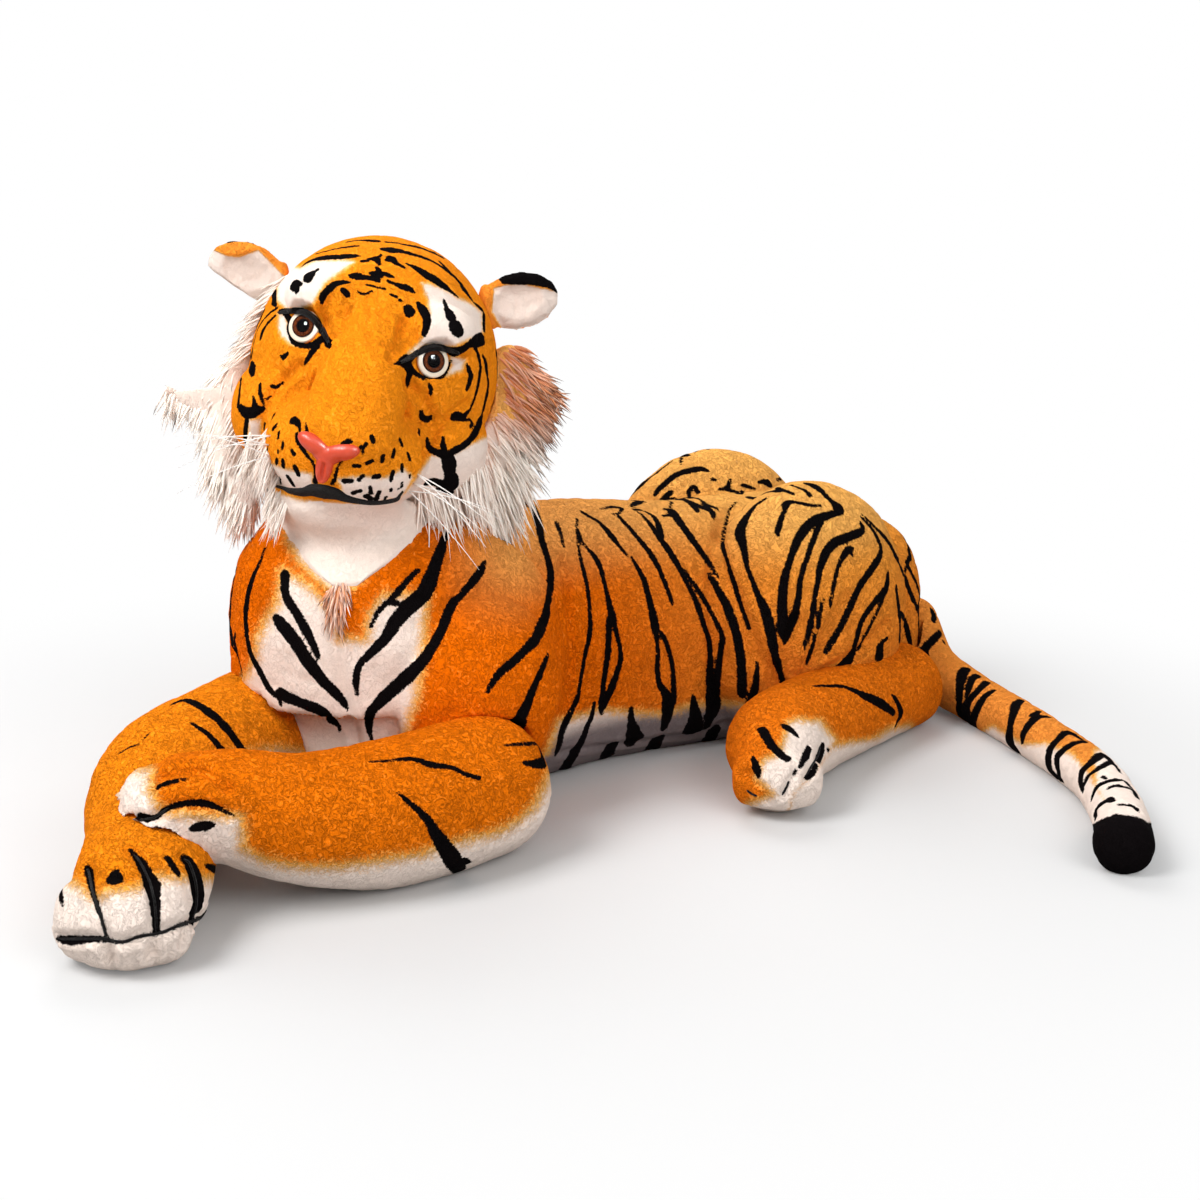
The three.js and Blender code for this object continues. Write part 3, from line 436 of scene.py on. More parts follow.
class Skin:
    """A fine surface grown from solids, which is shaped and painted before it becomes an object."""

    def __init__(self, name, nodes, voxel, forms=None, reach=FORM_REACH, grown=None):
        """Grows from the nodes' solids and snaps to the fine forms, or grows from forms of its own."""
        self.name = name
        self.nodes = nodes
        mesh = remeshed(mesh_object(name, *joined(grown or node_meshes(nodes))), voxel)
        self.points = points_of(mesh)
        self.faces = quads_of(mesh)
        edges = np.empty(len(mesh.edges) * 2, np.int32)
        mesh.edges.foreach_get("vertices", edges)
        self.edges = edges.reshape(-1, 2)
        bpy.data.meshes.remove(mesh)
        self.count = np.bincount(self.edges.ravel(), minlength=len(self.points)).astype(float)
        if forms:
            self.snap(tree_of(forms), reach)
        self.attributes = {}

    def around(self, values):
        """The mean of each vertex's neighbours."""
        a, b = self.edges.T
        out = np.empty_like(values)
        columns = values.reshape(len(values), -1)
        result = out.reshape(len(values), -1)
        for k in range(columns.shape[1]):
            total = np.bincount(a, columns[b, k], len(values)) + np.bincount(b, columns[a, k], len(values))
            result[:, k] = total / self.count
        return out

    def relax(self, rounds, share=0.5, back=0.52, where=None):
        """Smooths without shrinking."""
        weight = 1.0 if where is None else where[:, None]
        for step in range(rounds):
            for amount in (share, -back):
                self.points = self.points + amount * weight * (self.around(self.points) - self.points)

    def snap(self, tree, reach):
        """Moves points that lie near the fine form onto it."""
        near = self.points.copy()
        weight = np.zeros(len(near))
        for i, point in enumerate(self.points):
            hit, _, _, distance = tree.find_nearest(point, 2 * reach)
            if hit is not None:
                near[i] = hit
                weight[i] = 1 - smoothstep(reach * SNAP_FULL_SHARE, reach, distance)
        self.points = self.points + (near - self.points) * weight[:, None]

    def normals(self):
        corners = self.points[self.faces]
        flat = np.cross(corners[:, 2] - corners[:, 0], corners[:, 3] - corners[:, 1])
        out = np.zeros_like(self.points)
        for k in range(3):
            for j in range(4):
                out[:, k] += np.bincount(self.faces[:, j], flat[:, k], len(self.points))
        return out / np.maximum(np.linalg.norm(out, axis=1, keepdims=True), LEAST_LENGTH)

    def tree(self):
        return search_tree(self.points, self.faces)

    def push(self, amount):
        self.points = self.points + self.normals() * np.asarray(amount)[:, None]

    def build(self, material):
        mesh = bpy.data.meshes.new(self.name)
        mesh.vertices.add(len(self.points))
        mesh.vertices.foreach_set("co", self.points.ravel())
        mesh.loops.add(self.faces.size)
        mesh.loops.foreach_set("vertex_index", self.faces.ravel())
        mesh.polygons.add(len(self.faces))
        mesh.polygons.foreach_set("loop_start", np.arange(0, self.faces.size, 4))
        mesh.polygons.foreach_set("use_smooth", np.ones(len(self.faces), bool))
        mesh.update(calc_edges=True)
        mesh.validate()
        for name, values in self.attributes.items():
            layer = mesh.attributes.new(name, "FLOAT", "POINT")
            layer.data.foreach_set("value", np.asarray(values, np.float32))
        mesh.materials.append(material)
        self.object = bpy.data.objects.new(self.name, mesh)
        bpy.context.scene.collection.objects.link(self.object)
        return self.object


# Black strokes, traced in the photograph as (across, down, width) in pixels
HEAD_STROKES = [
    [(358, 246, 2), (340, 248, 2), (315, 254, 1)],
    [(347, 242, 2), (360, 240, 4), (378, 241, 3)],
    [(386, 242, 2), (398, 243, 2)],
    [(301, 267, 1), (308, 262, 4), (320, 258, 5), (338, 257, 5), (352, 256, 5), (360, 256, 1)],
    [(383, 249, 4), (390, 250, 7), (400, 251, 5), (408, 253, 4), (432, 261, 2.5), (452, 275, 3),
     (460, 283, 2)],
    [(401, 244, 2), (412, 246, 3), (424, 249, 4), (440, 256, 4), (448, 260, 3)],
    [(388, 260, 4), (391, 258, 5), (396, 263, 4), (405, 268, 2)],
    [(407, 264, 2), (416, 268, 5), (425, 274, 7), (434, 279, 8), (444, 286, 6), (458, 297, 1)],
    [(440, 262, 2), (448, 270, 3), (460, 283, 3), (464, 289, 5), (472, 300, 2)],
    [(370, 259, 3), (376, 259, 5), (379, 264, 3)],
    [(362, 261, 3), (368, 261, 2)],
    [(377, 258, 3), (381, 255, 2)],
    [(377, 268, 3), (379, 271, 4)],
    [(371, 273, 3), (377, 275, 8), (383, 275, 2)],
    [(372, 279, 3), (380, 282, 2)],
    [(349, 275, 2), (354, 276, 6), (362, 277, 6), (370, 278, 4), (377, 279, 6)],
    [(322, 303, 3), (323, 297, 6), (328, 290, 6), (335, 284, 5), (343, 282, 4), (351, 282, 1)],
    [(383, 273, 3), (388, 275, 4), (393, 277, 2)],
    [(388, 281, 3), (395, 284, 3), (400, 286, 5), (408, 288, 6), (414, 292, 2)],
    [(367, 285, 2), (376, 287, 2), (385, 289, 2)],
    [(344, 291, 6), (347, 294, 6)],
    [(358, 292, 2), (364, 294, 2), (372, 291, 2)],
    [(390, 294, 2), (397, 297, 2)],
    [(400, 300, 3), (403, 301, 1)],
    [(408, 308, 7), (410, 312, 7)],
    [(418, 303, 3), (423, 310, 6), (427, 319, 7), (426, 328, 6), (424, 334, 4), (425, 337, 1)],
    [(444, 300, 2), (446, 306, 3), (449, 312, 6), (451, 317, 8)],
    [(456, 327, 12), (458, 331, 11)],
    [(317, 270, 3), (311, 273, 6), (308, 278, 7), (309, 281, 3)],
    [(300, 284, 4), (295, 282, 4), (293, 286, 6), (297, 289, 5), (296, 293, 2)],
    [(279, 311, 2), (285, 311, 4), (300, 311, 3), (312, 318, 2), (320, 329, 3), (327, 340, 6),
     (330, 346, 4)],
    [(286, 313, 6), (290, 320, 5), (289, 328, 4), (291, 336, 4), (296, 343, 4), (311, 345, 6),
     (324, 338, 5)],
    [(317, 346, 6), (312, 352, 5), (308, 358, 4), (304, 365, 1)],
    [(394, 364, 1), (400, 363, 4), (406, 361, 8), (412, 358, 4), (424, 348, 3), (441, 348, 3),
     (449, 351, 6)],
    [(449, 351, 6), (456, 352, 8), (464, 349, 7), (470, 344, 6), (476, 341, 8), (482, 339, 8)],
    [(484, 330, 3), (484, 320, 4), (484, 313, 3), (479, 307, 3), (474, 303, 2)],
    [(405, 366, 4), (409, 372, 7), (408, 380, 4), (407, 389, 1)],
    [(410, 366, 5), (415, 373, 4), (424, 377, 4), (441, 377, 3), (449, 366, 2), (450, 360, 3)],
    [(475, 345, 4), (480, 362, 3), (480, 372, 3), (477, 390, 3), (471, 408, 2), (466, 414, 4),
     (461, 419, 4)],
    [(452, 419, 3), (457, 416, 8), (463, 418, 3)],
    [(483, 356, 2), (486, 365, 4), (488, 386, 5), (484, 407, 4), (478, 427, 5), (467, 443, 5),
     (452, 452, 6)],
    [(467, 364, 2), (469, 370, 4), (471, 376, 5), (469, 384, 4), (467, 389, 3)],
    [(500, 412, 4), (496, 420, 6), (493, 428, 6), (497, 437, 4), (498, 440, 2)],
    [(496, 352, 4), (499, 365, 5), (500, 378, 4)],
    [(427, 440, 4), (430, 449, 5), (443, 455, 7), (449, 462, 13), (450, 474, 10), (451, 482, 13),
     (452, 487, 10)],
    [(443, 437, 2), (443, 445, 5), (444, 452, 7)],
    [(425, 484, 3), (432, 482, 7), (440, 484, 7), (448, 487, 4)],
    [(437, 489, 2), (445, 491, 3), (452, 493, 3)],
    [(429, 385, 3), (431, 390, 4), (430, 395, 2)],
    [(421, 412, 4), (422, 418, 4), (429, 419, 4), (431, 416, 2)],
    [(463, 420, 2), (470, 420, 2), (472, 424, 3), (470, 427, 2)],
    [(275, 316, 2), (268, 323, 2), (263, 331, 4), (261, 337, 4)],
    [(277, 308, 2), (270, 313, 2), (262, 322, 2), (256, 334, 2), (251, 358, 2)],
    [(277, 275, 7), (275, 283, 5), (274, 300, 5), (276, 306, 2)],
    [(264, 295, 2), (258, 312, 4), (250, 330, 3), (244, 352, 2), (241, 380, 2), (238, 405, 4)],
    [(251, 362, 2), (252, 368, 6), (253, 375, 3)],
    [(260, 384, 2), (260, 392, 3), (262, 399, 3), (264, 405, 1)],
    [(253, 395, 1), (254, 402, 4), (255, 408, 6)],
    [(240, 408, 5), (246, 413, 8), (253, 412, 8), (260, 410, 6), (264, 408, 3)],
    [(247, 418, 4), (245, 437, 4), (247, 446, 3), (250, 452, 2), (260, 454, 2)],
    [(250, 457, 4), (254, 460, 7), (256, 465, 5), (258, 468, 2)],
    [(281, 356, 2), (284, 357, 4), (288, 353, 2)],
    [(272, 386, 3), (276, 387, 3), (283, 383, 2)],
    [(271, 396, 2), (267, 399, 2)],
    [(293, 420, 6), (299, 424, 4), (300, 431, 3)],
    [(306, 424, 2), (307, 432, 3)],
    [(297, 434, 3), (298, 441, 4), (306, 454, 3), (311, 460, 2), (315, 467, 3), (316, 475, 3),
     (315, 482, 4)],
    [(310, 438, 2), (318, 445, 2), (333, 450, 2), (347, 442, 5), (352, 442, 2)],
    [(361, 447, 3), (355, 452, 2), (340, 463, 2), (335, 478, 3), (332, 484, 3)],
]

# Spots on the muzzle: a start, an end and a width
MUZZLE_SPOTS = [
    (275, 414, 272, 419, 2), (265, 424, 264, 429, 3), (276, 425, 273, 429, 4), (279, 432, 278, 438, 3),
    (266, 436, 265, 440, 3), (268, 446, 267, 452, 3), (283, 443, 282, 448, 4), (278, 451, 278, 453, 3),
    (277, 460, 276, 463, 4), (283, 461, 283, 466, 5), (265, 457, 265, 459, 2), (268, 468, 272, 473, 3),
    (292, 451, 294, 454, 5), (295, 467, 298, 474, 6), (288, 477, 293, 485, 5), (280, 478, 281, 483, 3),
    (273, 476, 276, 480, 2), (266, 478, 268, 486, 4), (372, 437, 373, 441, 6), (366, 444, 363, 448, 5),
    (400, 440, 402, 445, 4), (394, 451, 393, 456, 5), (408, 454, 410, 459, 4), (363, 451, 363, 453, 3),
    (383, 456, 382, 461, 5), (367, 463, 372, 461, 5), (354, 466, 359, 466, 5), (402, 465, 402, 471, 4),
    (363, 476, 359, 480, 5), (374, 477, 379, 476, 6), (393, 472, 391, 480, 5), (344, 481, 351, 481, 6),
    (410, 475, 410, 477, 3), (402, 483, 402, 485, 3), (370, 487, 371, 493, 4), (353, 493, 360, 491, 5),
    (366, 496, 371, 499, 6), (379, 492, 376, 500, 5), (386, 497, 384, 501, 3), (391, 489, 391, 491, 3),
    (398, 489, 402, 487, 2), (419, 431, 419, 434, 4),
]

MOUTH_STROKES = [
    [(265, 482, 3), (272, 485, 3), (283, 488, 4), (291, 491, 7), (303, 492, 10), (313, 490, 14),
     (325, 492, 16)],
    [(325, 492, 16), (336, 494, 13), (348, 499, 8), (373, 503, 5), (395, 500, 5), (400, 495, 3),
     (403, 491, 2)],
]
CHEST_STROKES = [
    [(272, 528, 2), (270, 535, 2)],
    [(265, 548, 2), (260, 562, 3), (252, 580, 5), (247, 600, 5), (246, 625, 5), (250, 650, 6),
     (264, 680, 6)],
    [(264, 680, 6), (270, 690, 5), (276, 695, 5)],
    [(281, 694, 10), (301, 703, 9), (321, 712, 10), (337, 724, 5), (340, 731, 1)],
    [(280, 700, 4), (281, 705, 3)],
    [(284, 571, 3), (285, 577, 8), (286, 596, 8), (298, 616, 8), (309, 636, 8), (318, 656, 5)],
    [(275, 617, 4), (279, 622, 10), (294, 640, 12), (308, 662, 12), (325, 683, 10), (342, 700, 7),
     (347, 709, 2)],
    [(226, 634, 3), (227, 655, 4), (231, 675, 3), (234, 683, 2)],
    [(418, 570, 4), (408, 580, 5), (398, 592, 6), (388, 602, 4), (378, 612, 5), (371, 627, 2)],
    [(385, 602, 2), (400, 604, 4), (415, 600, 6)],
    # The upper part of the next stripe, under the ruff, is stripe and painted shadow from the ruff together
    [(447, 530, 4), (440, 552, 8), (432, 575, 12), (425, 592, 14), (410, 606, 14), (397, 620, 13),
     (386, 638, 10)],
    [(386, 638, 10), (372, 652, 8), (360, 664, 6), (356, 680, 6), (357, 695, 2)],
    [(363, 754, 5), (366, 760, 6)],
]
SHOULDER_STROKES = [
    [(485, 562, 3), (478, 575, 7), (461, 595, 6), (451, 606, 8), (439, 635, 9), (420, 664, 11),
     (396, 687, 12)],
    [(396, 687, 12), (384, 698, 11), (371, 712, 8), (369, 723, 7), (370, 733, 4), (374, 746, 1)],
    [(523, 495, 3), (535, 512, 5), (542, 540, 5), (550, 568, 6), (550, 585, 7), (546, 615, 8),
     (535, 640, 7)],
    [(535, 640, 7), (516, 659, 7), (498, 675, 7), (487, 692, 4)],
    [(529, 487, 2), (532, 499, 4)],
    [(548, 655, 3), (543, 667, 5), (533, 690, 7), (522, 715, 11), (512, 727, 10), (487, 741, 7),
     (462, 747, 2)],
    [(556, 522, 3), (560, 532, 3), (564, 547, 1)],
]
FLANK_STROKES = [
    [(577, 519, 2), (577, 530, 2), (580, 555, 3), (587, 585, 4), (590, 615, 4), (590, 632, 5),
     (584, 660, 4)],
    [(584, 660, 4), (579, 690, 4), (576, 702, 5), (563, 728, 6), (559, 742, 6), (556, 753, 4)],
    [(578, 530, 2), (584, 544, 2), (598, 562, 5), (606, 590, 4), (613, 620, 8)],
    [(609, 620, 6), (608, 650, 6), (604, 680, 5), (601, 705, 5), (602, 713, 3)],
    [(614, 622, 5), (617, 635, 4), (620, 648, 4), (620, 662, 5), (612, 686, 7), (604, 706, 6)],
    [(581, 511, 2), (590, 517, 3), (600, 523, 3), (613, 538, 6), (618, 545, 3), (626, 554, 3)],
    [(601, 509, 2), (612, 507, 3), (621, 508, 3), (619, 513, 2), (613, 514, 2)],
    [(617, 514, 2), (622, 520, 3), (638, 538, 4), (652, 556, 5), (662, 576, 4), (671, 599, 4),
     (672, 604, 2)],
    [(632, 558, 3), (643, 578, 5), (650, 602, 6), (655, 626, 8), (657, 640, 4), (658, 655, 4),
     (657, 670, 5)],
    [(657, 670, 5), (659, 683, 5), (665, 693, 7), (668, 703, 11), (667, 715, 9), (664, 728, 5)],
    [(661, 634, 5), (666, 642, 4), (672, 665, 4), (674, 693, 5), (674, 703, 4)],
    [(631, 709, 4), (631, 718, 6), (632, 728, 9), (634, 739, 13)],
    [(630, 507, 2), (637, 503, 5), (643, 501, 2)],
    [(634, 510, 3), (640, 510, 3)],
    [(638, 512, 2), (645, 518, 3), (659, 537, 5), (673, 557, 6), (686, 581, 4), (697, 604, 5),
     (709, 640, 5)],
    [(709, 640, 5), (710, 655, 5), (711, 685, 8), (713, 705, 13), (710, 716, 9), (707, 727, 5)],
    [(646, 512, 2), (653, 516, 3), (658, 524, 4), (661, 535, 5)],
    [(684, 570, 3), (698, 590, 4), (711, 612, 4), (722, 636, 5), (721, 650, 5), (717, 680, 6),
     (716, 692, 6)],
    [(665, 509, 3), (673, 512, 5), (679, 521, 6), (694, 542, 6), (709, 563, 4), (719, 579, 2)],
    [(661, 500, 3), (668, 494, 5), (672, 492, 3)],
    [(662, 498, 2), (675, 499, 3), (685, 500, 4), (693, 505, 5), (698, 512, 3)],
    [(698, 492, 4), (694, 487, 4), (689, 491, 4), (690, 497, 3), (699, 499, 2), (711, 511, 4),
     (714, 519, 2)],
    [(708, 575, 3), (714, 583, 5), (726, 605, 8), (736, 632, 8), (741, 660, 8), (742, 688, 8),
     (742, 696, 5)],
    [(736, 502, 1), (729, 512, 2), (723, 540, 3), (725, 553, 4), (733, 580, 5), (741, 605, 4),
     (749, 628, 4)],
    [(768, 497, 2), (755, 506, 3), (746, 518, 6), (741, 526, 9), (740, 535, 9), (743, 545, 7),
     (747, 567, 4)],
    [(747, 567, 4), (756, 590, 5), (766, 613, 9), (771, 635, 9), (776, 659, 7), (782, 680, 4),
     (783, 687, 3)],
    [(757, 662, 2), (757, 675, 5), (755, 688, 6), (752, 700, 8), (744, 724, 6)],
    [(693, 696, 3), (694, 706, 7), (695, 718, 11), (693, 730, 15)],
    [(594, 703, 3), (592, 715, 4), (588, 725, 5), (583, 738, 6), (570, 760, 10), (558, 778, 6)],
    [(614, 744, 9), (608, 752, 10), (606, 769, 8)],
    [(660, 737, 7), (654, 745, 10), (650, 754, 11), (648, 763, 8)],
    [(716, 729, 8), (710, 738, 9), (705, 747, 8), (699, 757, 6), (690, 759, 3)],
    [(655, 494, 4), (661, 487, 5), (678, 474, 5), (700, 469, 5), (708, 471, 2)],
    [(676, 456, 3), (686, 456, 2)],
    [(712, 479, 3), (716, 480, 2)],
    [(730, 480, 3), (728, 487, 4), (723, 489, 3), (719, 489, 2)],
    [(727, 490, 3), (735, 492, 3), (740, 494, 4), (743, 491, 2)],
    [(742, 485, 3), (749, 487, 3), (755, 489, 2)],
    [(758, 482, 2), (764, 482, 4), (768, 483, 6), (771, 486, 3)],
    [(777, 480, 2), (785, 478, 3), (793, 477, 3)],
    [(777, 488, 3), (785, 491, 3), (794, 494, 2)],
    [(791, 485, 2), (799, 488, 2), (806, 491, 3), (810, 496, 3)],
]
HAUNCH_STROKES = [
    [(804, 483, 2), (812, 485, 5), (820, 490, 5), (833, 503, 4), (838, 508, 8), (842, 512, 4)],
    [(842, 512, 4), (829, 515, 6), (812, 522, 8), (799, 538, 8), (790, 560, 6), (784, 582, 8),
     (782, 606, 9)],
    [(782, 606, 9), (783, 618, 10), (785, 628, 12), (786, 636, 8), (785, 643, 3)],
    [(822, 519, 5), (818, 528, 5), (809, 552, 5), (801, 577, 5), (798, 600, 6), (792, 622, 7),
     (788, 632, 6)],
    [(783, 506, 3), (787, 503, 5), (794, 502, 3), (808, 505, 3), (821, 506, 2)],
    [(787, 506, 4), (783, 514, 4), (778, 530, 5), (778, 535, 2)],
    [(861, 523, 3), (862, 531, 5), (848, 537, 7), (832, 545, 8), (822, 562, 7), (817, 585, 5),
     (813, 609, 5)],
    [(813, 609, 5), (809, 631, 5), (806, 642, 4), (804, 649, 2)],
    [(852, 549, 4), (847, 551, 6), (839, 565, 4), (834, 584, 4), (830, 607, 3)],
    [(849, 549, 3), (853, 556, 2)],
    [(823, 600, 2), (821, 608, 4), (818, 628, 4)],
    [(816, 635, 3), (813, 645, 4), (809, 655, 4), (806, 664, 2)],
    [(861, 517, 2), (874, 532, 3), (881, 551, 4), (873, 567, 6), (860, 586, 6), (850, 607, 6),
     (840, 629, 6)],
    [(840, 629, 6), (828, 648, 6), (824, 655, 3)],
    [(888, 571, 2), (886, 589, 6), (873, 604, 5), (861, 623, 5), (855, 645, 5), (845, 664, 9),
     (826, 679, 7)],
    [(826, 679, 7), (817, 684, 4), (812, 687, 2)],
    [(884, 596, 3), (880, 606, 3), (868, 630, 3), (858, 649, 3)],
    [(862, 515, 2), (871, 523, 2), (889, 543, 4), (901, 568, 4), (910, 592, 4), (920, 616, 3),
     (925, 645, 3)],
    [(925, 645, 3), (927, 660, 3), (926, 675, 3)],
    [(906, 562, 3), (917, 585, 3), (924, 612, 2), (927, 626, 2)],
    [(896, 587, 3), (899, 610, 4), (900, 632, 3), (896, 657, 5), (883, 674, 6), (860, 678, 2),
     (830, 684, 3)],
    [(901, 613, 3), (905, 622, 4), (910, 646, 5), (906, 665, 4), (902, 673, 3)],
    [(919, 660, 3), (918, 678, 5), (921, 688, 5), (923, 696, 2)],
]
HIND_LEG_STROKES = [
    [(813, 686, 2), (830, 686, 3), (845, 687, 3), (865, 696, 6), (880, 703, 7), (894, 713, 4)],
    [(892, 696, 2), (896, 700, 4), (901, 713, 5), (898, 720, 3), (895, 727, 2)],
    [(758, 729, 2), (763, 731, 6), (772, 746, 7), (785, 758, 6), (790, 758, 2)],
    [(783, 725, 3), (788, 728, 6), (793, 732, 5), (798, 737, 2)],
    [(752, 757, 2), (755, 764, 6), (757, 771, 7), (758, 776, 4)],
    [(809, 748, 4), (806, 755, 5), (803, 761, 4), (800, 767, 3)],
    [(796, 770, 3), (794, 774, 3)],
    [(823, 745, 4), (822, 751, 5), (819, 758, 5), (817, 762, 4)],
    [(816, 764, 3), (814, 770, 5), (809, 776, 6), (805, 777, 3)],
    [(827, 749, 2), (829, 751, 2)],
]
RIGHT_FORELEG_STROKES = [
    [(58, 939, 4), (66, 940, 6), (80, 940, 6), (100, 939, 5), (122, 942, 3), (142, 936, 3), (160, 933, 3)],
    [(160, 933, 3), (178, 926, 3), (195, 920, 3), (214, 914, 2)],
    [(171, 705, 2), (180, 701, 4), (190, 701, 6), (209, 712, 8), (225, 727, 8), (247, 756, 7),
     (259, 774, 9)],
    [(259, 774, 9), (260, 783, 9)],
    [(191, 723, 2), (199, 728, 4), (208, 734, 5), (221, 749, 7), (233, 767, 8), (243, 785, 8)],
    [(150, 733, 2), (143, 739, 1)],
    [(139, 744, 2), (128, 748, 1), (120, 753, 2)],
    [(63, 886, 2), (61, 892, 3), (61, 898, 4), (63, 905, 2)],
    [(87, 867, 5), (89, 873, 6), (93, 893, 4), (99, 911, 4), (104, 928, 2), (106, 938, 3)],
    [(115, 875, 10), (115, 881, 10)],
    [(130, 850, 3), (140, 862, 7), (149, 880, 12), (154, 898, 12), (156, 918, 8), (156, 934, 5)],
    [(167, 858, 5), (172, 865, 6), (177, 872, 5), (179, 876, 2)],
    [(183, 857, 5), (190, 865, 10), (197, 885, 14), (196, 905, 14), (191, 919, 8)],
    [(205, 866, 2), (212, 868, 5), (219, 873, 5), (224, 875, 2)],
]
LEFT_FORELEG_STROKES = [
    [(157, 789, 2), (162, 785, 4), (170, 782, 4), (186, 779, 2)],
    [(138, 819, 4), (143, 817, 7), (155, 818, 5), (168, 808, 5), (187, 803, 6), (208, 804, 6),
     (233, 815, 2)],
    [(192, 829, 5), (198, 827, 8), (206, 826, 9), (215, 824, 3)],
    [(157, 828, 3), (155, 833, 5), (153, 842, 2), (156, 846, 2), (159, 849, 1)],
    [(161, 834, 3), (168, 838, 5), (175, 844, 6), (182, 859, 5), (184, 863, 4)],
    [(398, 793, 2), (411, 804, 5), (426, 818, 7), (437, 836, 10), (449, 854, 12), (459, 870, 9),
     (460, 875, 5)],
    [(463, 860, 5), (469, 863, 4)],
    [(370, 762, 1), (385, 761, 2), (412, 759, 4), (432, 765, 6), (450, 767, 4), (465, 774, 4),
     (479, 778, 4)],
    [(505, 745, 2), (525, 744, 3), (540, 744, 3), (553, 753, 6), (552, 760, 7), (535, 764, 6),
     (524, 763, 3)],
]
TAIL_STROKES = [
    [(934, 618, 4), (936, 622, 5), (932, 628, 4), (928, 636, 3)],
    [(943, 640, 3), (936, 652, 5), (931, 662, 6), (931, 670, 8), (938, 690, 9), (938, 705, 5)],
    [(949, 649, 2), (951, 652, 2)],
    [(976, 681, 4), (972, 686, 7), (970, 705, 6), (973, 724, 6), (976, 732, 7)],
    [(985, 688, 5), (981, 692, 5), (979, 700, 5), (977, 709, 3)],
    [(995, 694, 5), (985, 706, 6), (980, 714, 7), (979, 723, 9), (981, 732, 10), (983, 738, 6)],
    [(1004, 702, 3), (994, 710, 6), (987, 725, 6), (984, 735, 5)],
    [(1031, 713, 4), (1026, 718, 6), (1022, 738, 6), (1026, 753, 10), (1034, 760, 6)],
    [(1057, 724, 3), (1045, 727, 6), (1037, 741, 6), (1037, 749, 4)],
    [(1046, 720, 3), (1042, 725, 5)],
    [(1098, 738, 2), (1080, 736, 5), (1073, 740, 5), (1066, 754, 6), (1070, 770, 7), (1084, 781, 3)],
    [(1100, 741, 3), (1087, 746, 5), (1075, 757, 6), (1076, 766, 5), (1079, 774, 4)],
    [(1134, 760, 3), (1117, 756, 6), (1105, 765, 6), (1100, 771, 6), (1100, 780, 5), (1103, 788, 3)],
    [(1143, 769, 2), (1128, 761, 4), (1112, 770, 5), (1106, 775, 4), (1103, 783, 4)],
    [(1120, 775, 3), (1123, 777, 2)],
    [(1151, 787, 3), (1138, 780, 4), (1120, 782, 5), (1114, 788, 4), (1111, 796, 3)],
    [(1125, 787, 2), (1133, 785, 4), (1149, 791, 4), (1154, 798, 4), (1157, 806, 3)],
    [(1130, 800, 3), (1126, 798, 6), (1114, 806, 5), (1111, 814, 3)],
    [(1136, 804, 3), (1148, 811, 5), (1152, 818, 2)],
]

# White parts of the coat: outlines in the photograph, in pixels
FACE_WHITE_ZONES = [
    [(300, 268), (316, 260), (345, 260), (355, 262), (345, 268), (325, 283), (313, 303), (300, 309),
     (285, 308), (277, 300), (277, 285), (280, 273), (292, 266)],
    [(422, 283), (440, 287), (458, 298), (470, 303), (482, 312), (483, 330), (480, 338), (470, 339),
     (455, 346), (440, 346), (425, 345), (405, 357), (420, 342), (428, 330), (430, 315), (428, 300)],
    [(279, 313), (286, 316), (287, 325), (290, 335), (298, 345), (290, 344), (282, 337), (278, 328)],
    [(450, 356), (465, 360), (462, 370), (445, 376), (452, 366)],
    [(248, 420), (260, 420), (260, 450), (250, 452)],
    [(262, 478), (275, 492), (300, 500), (325, 502), (360, 504), (398, 500), (412, 484), (425, 465),
     (432, 455), (445, 458), (500, 430), (530, 470), (480, 540), (350, 560), (240, 530), (230, 470)],
    [(262, 460), (285, 469), (312, 474), (314, 492), (290, 490), (268, 484)],
    [(338, 479), (360, 476), (385, 478), (404, 468), (413, 478), (402, 498), (372, 503), (345, 499)],
]
CHEST_WHITE_ZONES = [
    [(283, 572), (312, 590), (332, 612), (338, 640), (368, 640), (370, 616), (384, 598), (425, 596),
     (422, 640), (415, 700), (398, 750), (375, 790), (330, 800), (290, 790), (245, 760), (230, 720),
     (240, 690), (256, 660), (258, 640), (268, 620), (280, 600)],
    [(283, 505), (290, 540), (300, 560), (315, 575), (335, 592), (350, 585), (375, 560), (400, 540),
     (425, 505), (400, 440), (300, 440)],
]
FLANK_WHITE_ZONE = [
    (560, 722), (575, 718), (600, 711), (640, 714), (665, 714), (690, 707), (720, 704), (748, 706),
    (800, 720), (840, 760), (840, 860), (540, 860), (545, 760),
]
HIND_LEG_WHITE_ZONES = [
    [(790, 722), (800, 720), (820, 722), (835, 740), (830, 757), (815, 770), (805, 785), (795, 797),
     (785, 830), (740, 830), (748, 805), (775, 795), (757, 777), (765, 760), (780, 755), (786, 735)],
    [(830, 747), (850, 743), (875, 739), (890, 730), (910, 726), (920, 800), (800, 830), (812, 772)],
    [(792, 790), (812, 772), (840, 755), (850, 790), (810, 840), (780, 835)],
]
RIGHT_PAW_WHITE_ZONES = [
    [(20, 880), (45, 886), (60, 880), (75, 885), (95, 900), (110, 893), (135, 890), (160, 878), (187, 880),
     (240, 880), (240, 990), (20, 990)],
    [(213, 772), (240, 756), (275, 750), (345, 760), (345, 860), (240, 830)],
]
LEFT_FORELEG_WHITE_ZONES = [
    [(120, 770), (150, 770), (147, 790), (160, 812), (200, 818), (240, 818), (242, 850), (265, 862),
     (300, 868), (340, 868), (380, 862), (420, 856), (450, 846), (500, 833), (520, 822), (535, 808),
     (545, 790), (556, 765), (600, 780), (560, 930), (100, 930), (110, 800)],
]
